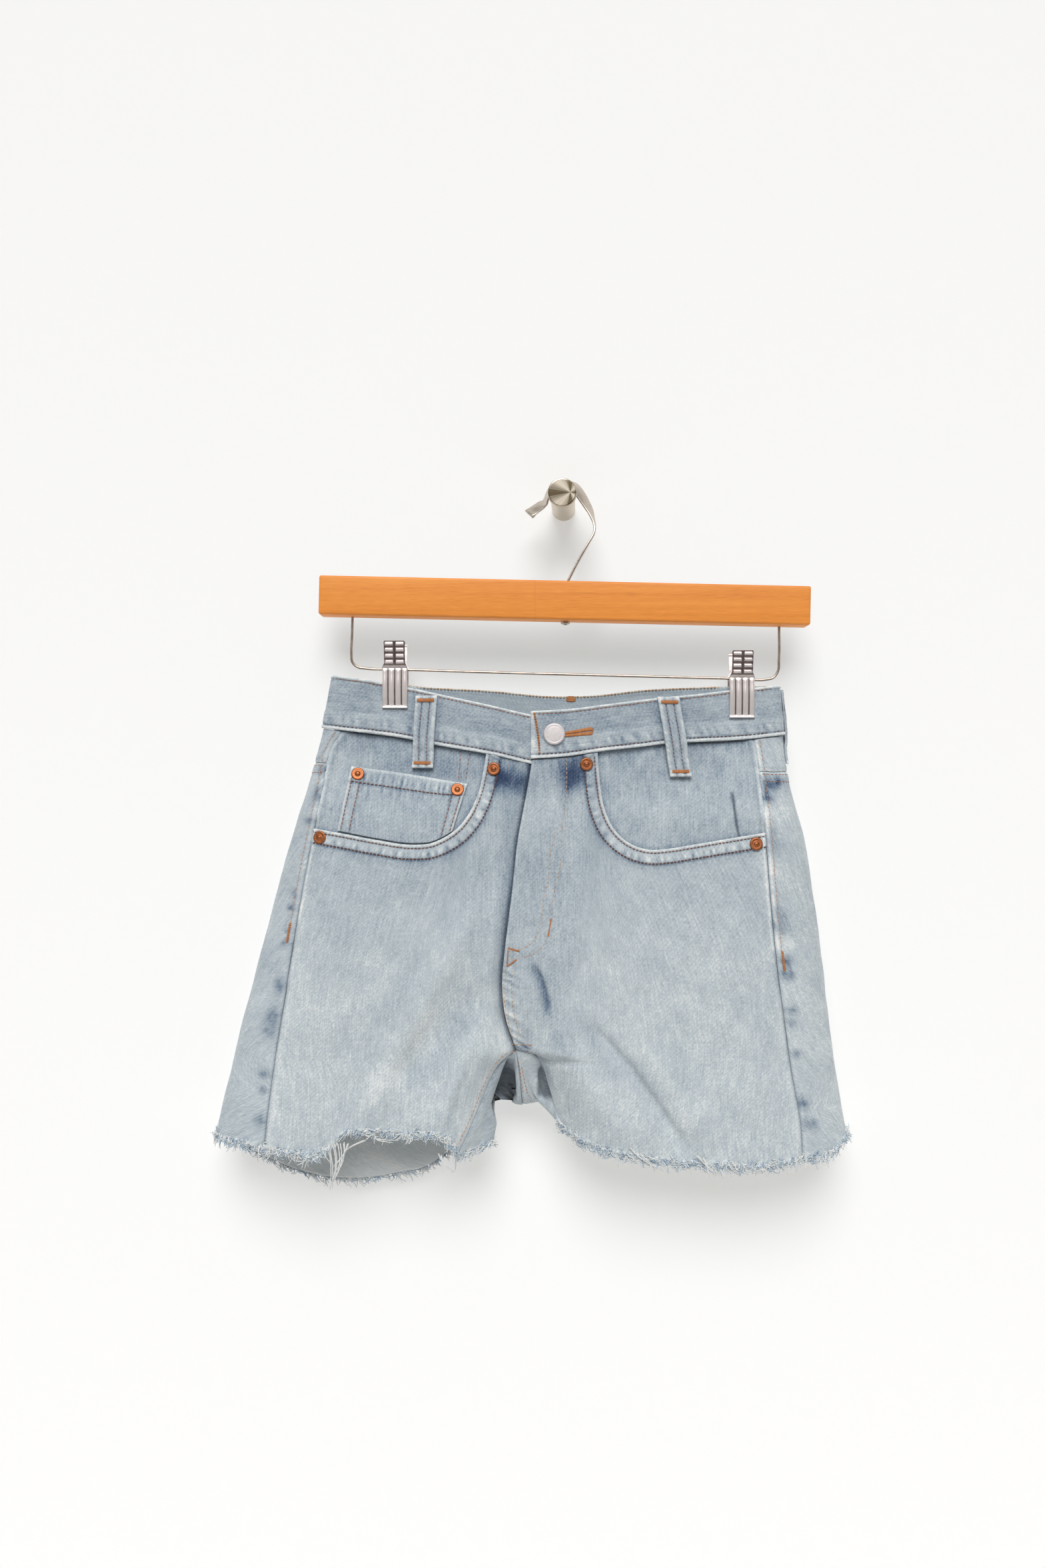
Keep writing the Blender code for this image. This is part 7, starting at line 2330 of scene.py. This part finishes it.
def clip_jaw(side, name, facing):
    """A pressed jaw, ridged over the wire and fluted under it, with painted light in its colour."""
    u, rise = np.meshgrid(np.linspace(-1, 1, 41), np.linspace(20.6, -29.6, 100))
    relief, painted_light = jaw_relief(rise, u)
    edge = -0.45 * ease((np.abs(u) - 0.93) / 0.07)
    x, y = CLIP_X[side] + jaw_at["half"](rise) * u, Y_MID + facing * jaw_at["opening"](rise)
    inner = np.stack([x, y, CLIP_Z[side] + rise], -1)
    outer = inner + np.array([0.0, facing, 0.0]) * (JAW_THICK + relief + edge)[..., None]
    verts, faces = wall_between(outer, inner)
    # painted light on the outer face, an even middle value on the inner face
    painted_light_field = np.concatenate([painted_light.ravel(), np.full(painted_light.size, 0.6)])
    nodes = (f"clip_{side}_{name}_jaw",)
    piece(f"clip_{side}_{name}_jaw_part", verts, faces, CHROME, nodes, "clip_chrome", 45, fade=painted_light_field)


def clip_spring(side):
    """The coil round the wire between a clip's jaws."""
    t = np.linspace(0, 1, SPRING_STATIONS)
    along = unit(np.array([1.0, 0.0, WIRE_SLOPE]))
    radius = (SPRING_OUTER + SPRING_INNER) / 2 + 0.6
    turn = 2 * math.pi * SPRING_TURNS * t
    middle = np.array([CLIP_X[side], Y_MID, CLIP_Z[side]])
    line = middle + along * (mix(-1, 1, t) * (SPRING_HALF - SPRING_WIRE))[:, None]
    line = line + np.stack([0 * turn, radius * np.cos(turn), radius * np.sin(turn)], -1)
    sections = np.broadcast_to(ring(SPRING_WIRE, SPRING_SIDES), (SPRING_STATIONS, SPRING_SIDES, 2))
    verts, faces = sweep(line, along, sections)
    piece(f"clip_{side}_spring_coil", verts, faces, WIRE_STEEL, (f"clip_{side}_spring",), "wire", 60)


def clip(side):
    """One of the two clips on the wire."""
    clip_jaw(side, "front", -1)
    clip_jaw(side, "back", 1)
    clip_spring(side)


def hanger_hook():
    """The flat steel hook, which turns on its way from the bar over the peg."""
    table = path(HOOK)(np.linspace(0, 1, 160))
    line, turn, thick = table[:, :3], np.radians(table[:, 3]), table[:, 4]
    tangent = np.gradient(line, axis=0)
    tangent[:, 1] = 0
    tangent = unit(tangent)
    behind = np.array(BACKWARD)
    across = np.cos(turn)[:, None] * behind + np.sin(turn)[:, None] * np.cross(tangent, behind)
    sections = np.array([rounded(HOOK_WIDE / 2, t / 2, min(0.6, t / 2 - 0.05), 3) for t in thick])
    verts, faces = sweep(line, across, sections)
    piece("hanger_hook_steel", verts, faces, STEEL, ("hanger_hook",), "wire", 50)


NUT_SIDES, NUT_RADIUS, NUT_TALL = 6, 3.4, 2.4


def hook_nut():
    """The nut on the hook's shank, under the bar."""
    share = (0 - BAR_LEFT[0]) / (BAR_RIGHT[0] - BAR_LEFT[0])
    foot = mix(BAR_LEFT[1], BAR_RIGHT[1], share) - BAR_TALL / 2
    profile = ((0.4, -0.6), (1.5, -0.6), (1.6, 0.0), (NUT_RADIUS - 0.4, 0.0), (NUT_RADIUS, 0.4),
               (NUT_RADIUS, NUT_TALL))
    verts, faces = lathe(profile, (0.0, Y_MID, foot - NUT_TALL), (0.0, 0.001, 1.0), NUT_SIDES)
    piece("hook_nut", verts, faces, STEEL, (), "wire", 30)


PEG_END = 62.8  # how far the peg's end stands out of the wall
# The angles round the end at which highlights are painted into its colour: dark, then light.
PEG_HIGHLIGHT_RAMP = ((0.1, (0.0, 0.0, 0.0, 1)), (1.0, (1, 1, 1, 1)))
# the colours of the peg end's painted shade and painted highlights
PEG_PAINTED_SHADE, PEG_PAINTED_HIGHLIGHT = srgb(112, 98, 76), srgb(246, 234, 214)
PEG_FINE = ((8.6, 0.0), (9.1, 0.5), (9.1, 50.0), (9.4, 53.0), (10.1, 55.4), (10.5, 56.2), (10.7, 57.4),
            (10.7, 61.9), (10.5, PEG_END - 0.3),
            *((radius, PEG_END) for radius in (10.1, 9.6, 7.0, 4.0, 1.0, 0.1)))


def peg_steel():
    """Turned steel: fine rings on the end, and highlights painted into its colour in four sectors round it.
    """
    n = Nodes("peg_steel")
    apart = n.add("ShaderNodeSeparateXYZ", {0: n.scaled(n.place(), (1, 1, 1))}).outputs
    x, z = n.math("ADD", apart["X"], PEG_LEAN * PEG_END * MM), apart["Z"]
    angle = n.math("ARCTAN2", z, x)
    highlight_sector = n.math("COSINE", n.times(n.math("ADD", angle, math.radians(-45)), 4.0))
    highlight_streaks = n.noise(n.add("ShaderNodeCombineXYZ", {"X": n.times(angle, 9.0)}).outputs[0], 3.0)
    # painted highlights in four sectors round the end, with streaks
    gloss = n.ramp(n.plus(n.times(highlight_sector, 0.5), n.times(highlight_streaks, 1.4), 0.45), PEG_HIGHLIGHT_RAMP, True)
    on_end = n.math("LESS_THAN", apart["Y"], (0.2 - PEG_END) * MM)
    tone = n.blend(on_end, (0.55, 0.55, 0.55, 1), gloss)
    reach = n.math("SQRT", n.plus(n.times(x, x), n.times(z, z)))
    rings = n.noise(n.add("ShaderNodeCombineXYZ", {"X": n.times(reach, 9000.0)}).outputs[0], 1.0)
    n.bump(n.times(rings, on_end), 0.03, 0.5)
    return n.finish(Base_Color=n.blend(tone, PEG_PAINTED_SHADE, PEG_PAINTED_HIGHLIGHT), Metallic=1.0, Roughness=0.34)


def wall_peg():
    """The turned peg, which leans a little to the side as it comes out of the wall."""
    verts, faces = lathe(PEG_FINE, (0.0, 0.0, 0.0), (0.0, -1.0, 0.0), 96)
    verts[:, 0] -= PEG_LEAN * verts[:, 1]
    piece("wall_peg_steel", verts, faces, peg_steel(), ("wall_peg",), "peg_steel", 40)


WIRE_STEEL = metal("wire_steel", srgb(214, 200, 188), srgb(160, 146, 134), 0.36, (200, 200, 200))

# ---------------------------------------------------------------- stage, light and camera

WALL, FLOOR = 1.0, -1450.0
PALE = srgb(250, 249, 247)
WALL_PAINT, WALL_GLOW = (0.62, 0.62, 0.62, 1), (0.396, 0.391, 0.376, 1)
FLOOR_PAINT = (0.74, 0.737, 0.73, 1)


def plane(name, corners, finish):
    """One flat face of the stage."""
    mesh = bpy.data.meshes.new(name)
    mesh.from_pydata((np.array(corners) * MM).tolist(), [], [(0, 1, 2, 3)])
    made = bpy.data.objects.new(name, mesh)
    made.data.materials.append(finish)
    bpy.context.scene.collection.objects.link(made)
    return made


def plaster(name, one_sided):
    """Plain pale paint. A one-sided wall lets the part be seen and lit from behind."""
    n = Nodes(name)
    n.bump(n.noise(n.scaled(n.place(), (60, 60, 60)), 3.0), 0.1, 0.1)
    if not one_sided:
        n.finish(Base_Color=FLOOR_PAINT, Roughness=0.9, Specular_IOR_Level=0.1)
        return n.material
    n.finish(Base_Color=WALL_PAINT, Roughness=0.9, Specular_IOR_Level=0.1, Emission_Color=WALL_GLOW,
             Emission_Strength=1.0)
    behind = n.add("ShaderNodeNewGeometry").outputs["Backfacing"]
    clear = n.add("ShaderNodeBsdfTransparent")
    mixed = n.add("ShaderNodeMixShader", {0: behind, 1: n.shader.outputs[0], 2: clear.outputs[0]})
    output = next(node for node in n.tree.nodes if node.type == "OUTPUT_MATERIAL")
    n.put(output.inputs["Surface"], mixed.outputs[0])
    return n.material


def stage():
    """The wall behind the peg, and a floor far below."""
    wide, high = 2600.0, 1800.0
    wall = plane("wall", ((-wide, WALL, FLOOR), (wide, WALL, FLOOR), (wide, WALL, high), (-wide, WALL, high)),
                 plaster("wall_paint", True))
    wall.visible_shadow = False
    plane("floor", ((-wide, -wide, FLOOR), (wide, -wide, FLOOR), (wide, wide, FLOOR), (-wide, wide, FLOOR)),
          plaster("floor_paint", False))


# Suns: name, the direction that each comes from, its strength and its apparent size in degrees.
LIGHTS = (
    ("key", -0.05, -1.0, 0.88, 2.33, 35),
    ("left", -1.0, -0.6, 0.3, 0.12, 45),
    ("right", 1.0, -0.6, 0.3, 0.10, 45),
    ("back_left", -0.7, 1.0, 0.6, 0.36, 50),
    ("back_right", 0.8, 1.0, 0.5, 0.28, 50),
)
# The sky's brightness, from straight below to straight above.
SKY = ((0.0, 0.14), (0.45, 0.14), (0.6, 0.165), (1.0, 0.26))


def light():
    """The suns, a soft sky, and the pale colour that the camera sees behind everything."""
    world = bpy.data.worlds.new("studio")
    bpy.context.scene.world = world
    world.use_nodes = True
    tree = world.node_tree
    background = tree.nodes["Background"]
    where = tree.nodes.new("ShaderNodeTexCoord")
    split = tree.nodes.new("ShaderNodeSeparateXYZ")
    level = tree.nodes.new("ShaderNodeMapRange")
    ramp = tree.nodes.new("ShaderNodeValToRGB")
    tree.links.new(where.outputs["Generated"], split.inputs[0])
    tree.links.new(split.outputs["Z"], level.inputs["Value"])
    level.inputs["From Min"].default_value = -1
    tree.links.new(level.outputs[0], ramp.inputs[0])
    while len(ramp.color_ramp.elements) < len(SKY):
        ramp.color_ramp.elements.new(0.5)
    for element, (position, value) in zip(ramp.color_ramp.elements, SKY):
        element.position, element.color = position, (value, value * 0.995, value * 0.985, 1)
    shown = tree.nodes.new("ShaderNodeBackground")
    shown.inputs[0].default_value = PALE
    path_kind = tree.nodes.new("ShaderNodeLightPath")
    either = tree.nodes.new("ShaderNodeMixShader")
    output = next(node for node in tree.nodes if node.type == "OUTPUT_WORLD")
    tree.links.new(ramp.outputs[0], background.inputs[0])
    tree.links.new(path_kind.outputs["Is Camera Ray"], either.inputs[0])
    tree.links.new(background.outputs[0], either.inputs[1])
    tree.links.new(shown.outputs[0], either.inputs[2])
    tree.links.new(either.outputs[0], output.inputs["Surface"])
    for name, x, y, z, strength, angle in LIGHTS:
        data = bpy.data.lights.new(name, "SUN")
        data.energy, data.angle = strength, math.radians(angle)
        lamp = bpy.data.objects.new(name, data)
        lamp.rotation_euler = Vector((x, y, z)).to_track_quat("Z", "Y").to_euler()
        bpy.context.scene.collection.objects.link(lamp)


CAMERA_AT, CAMERA_LENS = (-32.4, -1050.0, -216.1), 30.61


def camera():
    """The camera, where the photo was taken from."""
    data = bpy.data.cameras.new("camera")
    data.sensor_width, data.lens = 36.0, CAMERA_LENS
    data.clip_start, data.clip_end = 0.05, 50
    made = bpy.data.objects.new("camera", data)
    made.location = [c * MM for c in CAMERA_AT]
    made.rotation_euler = (math.pi / 2, 0, 0)
    bpy.context.scene.collection.objects.link(made)
    bpy.context.scene.camera = made


# ---------------------------------------------------------------- the whole

bpy.context.scene.view_settings.view_transform = "Standard"
camera()
for wearer_side in (RIGHT, LEFT):
    front_panel(wearer_side)
    pocket_facing(wearer_side)
    clip(wearer_side)
coin_pocket()
front_stitches()
backs()
waistband()
for row in LOOPS:
    belt_loop(*row)
button_and_rivets()
stitches()
fringes()
hanger_bar()
hanger_wire()
hanger_hook()
hook_nut()
wall_peg()
for made, points, rests_on, with_pieces, held in SHEETS:
    flat, area = cut_size(points)
stage()
light()

bpy.context.view_layer.update()
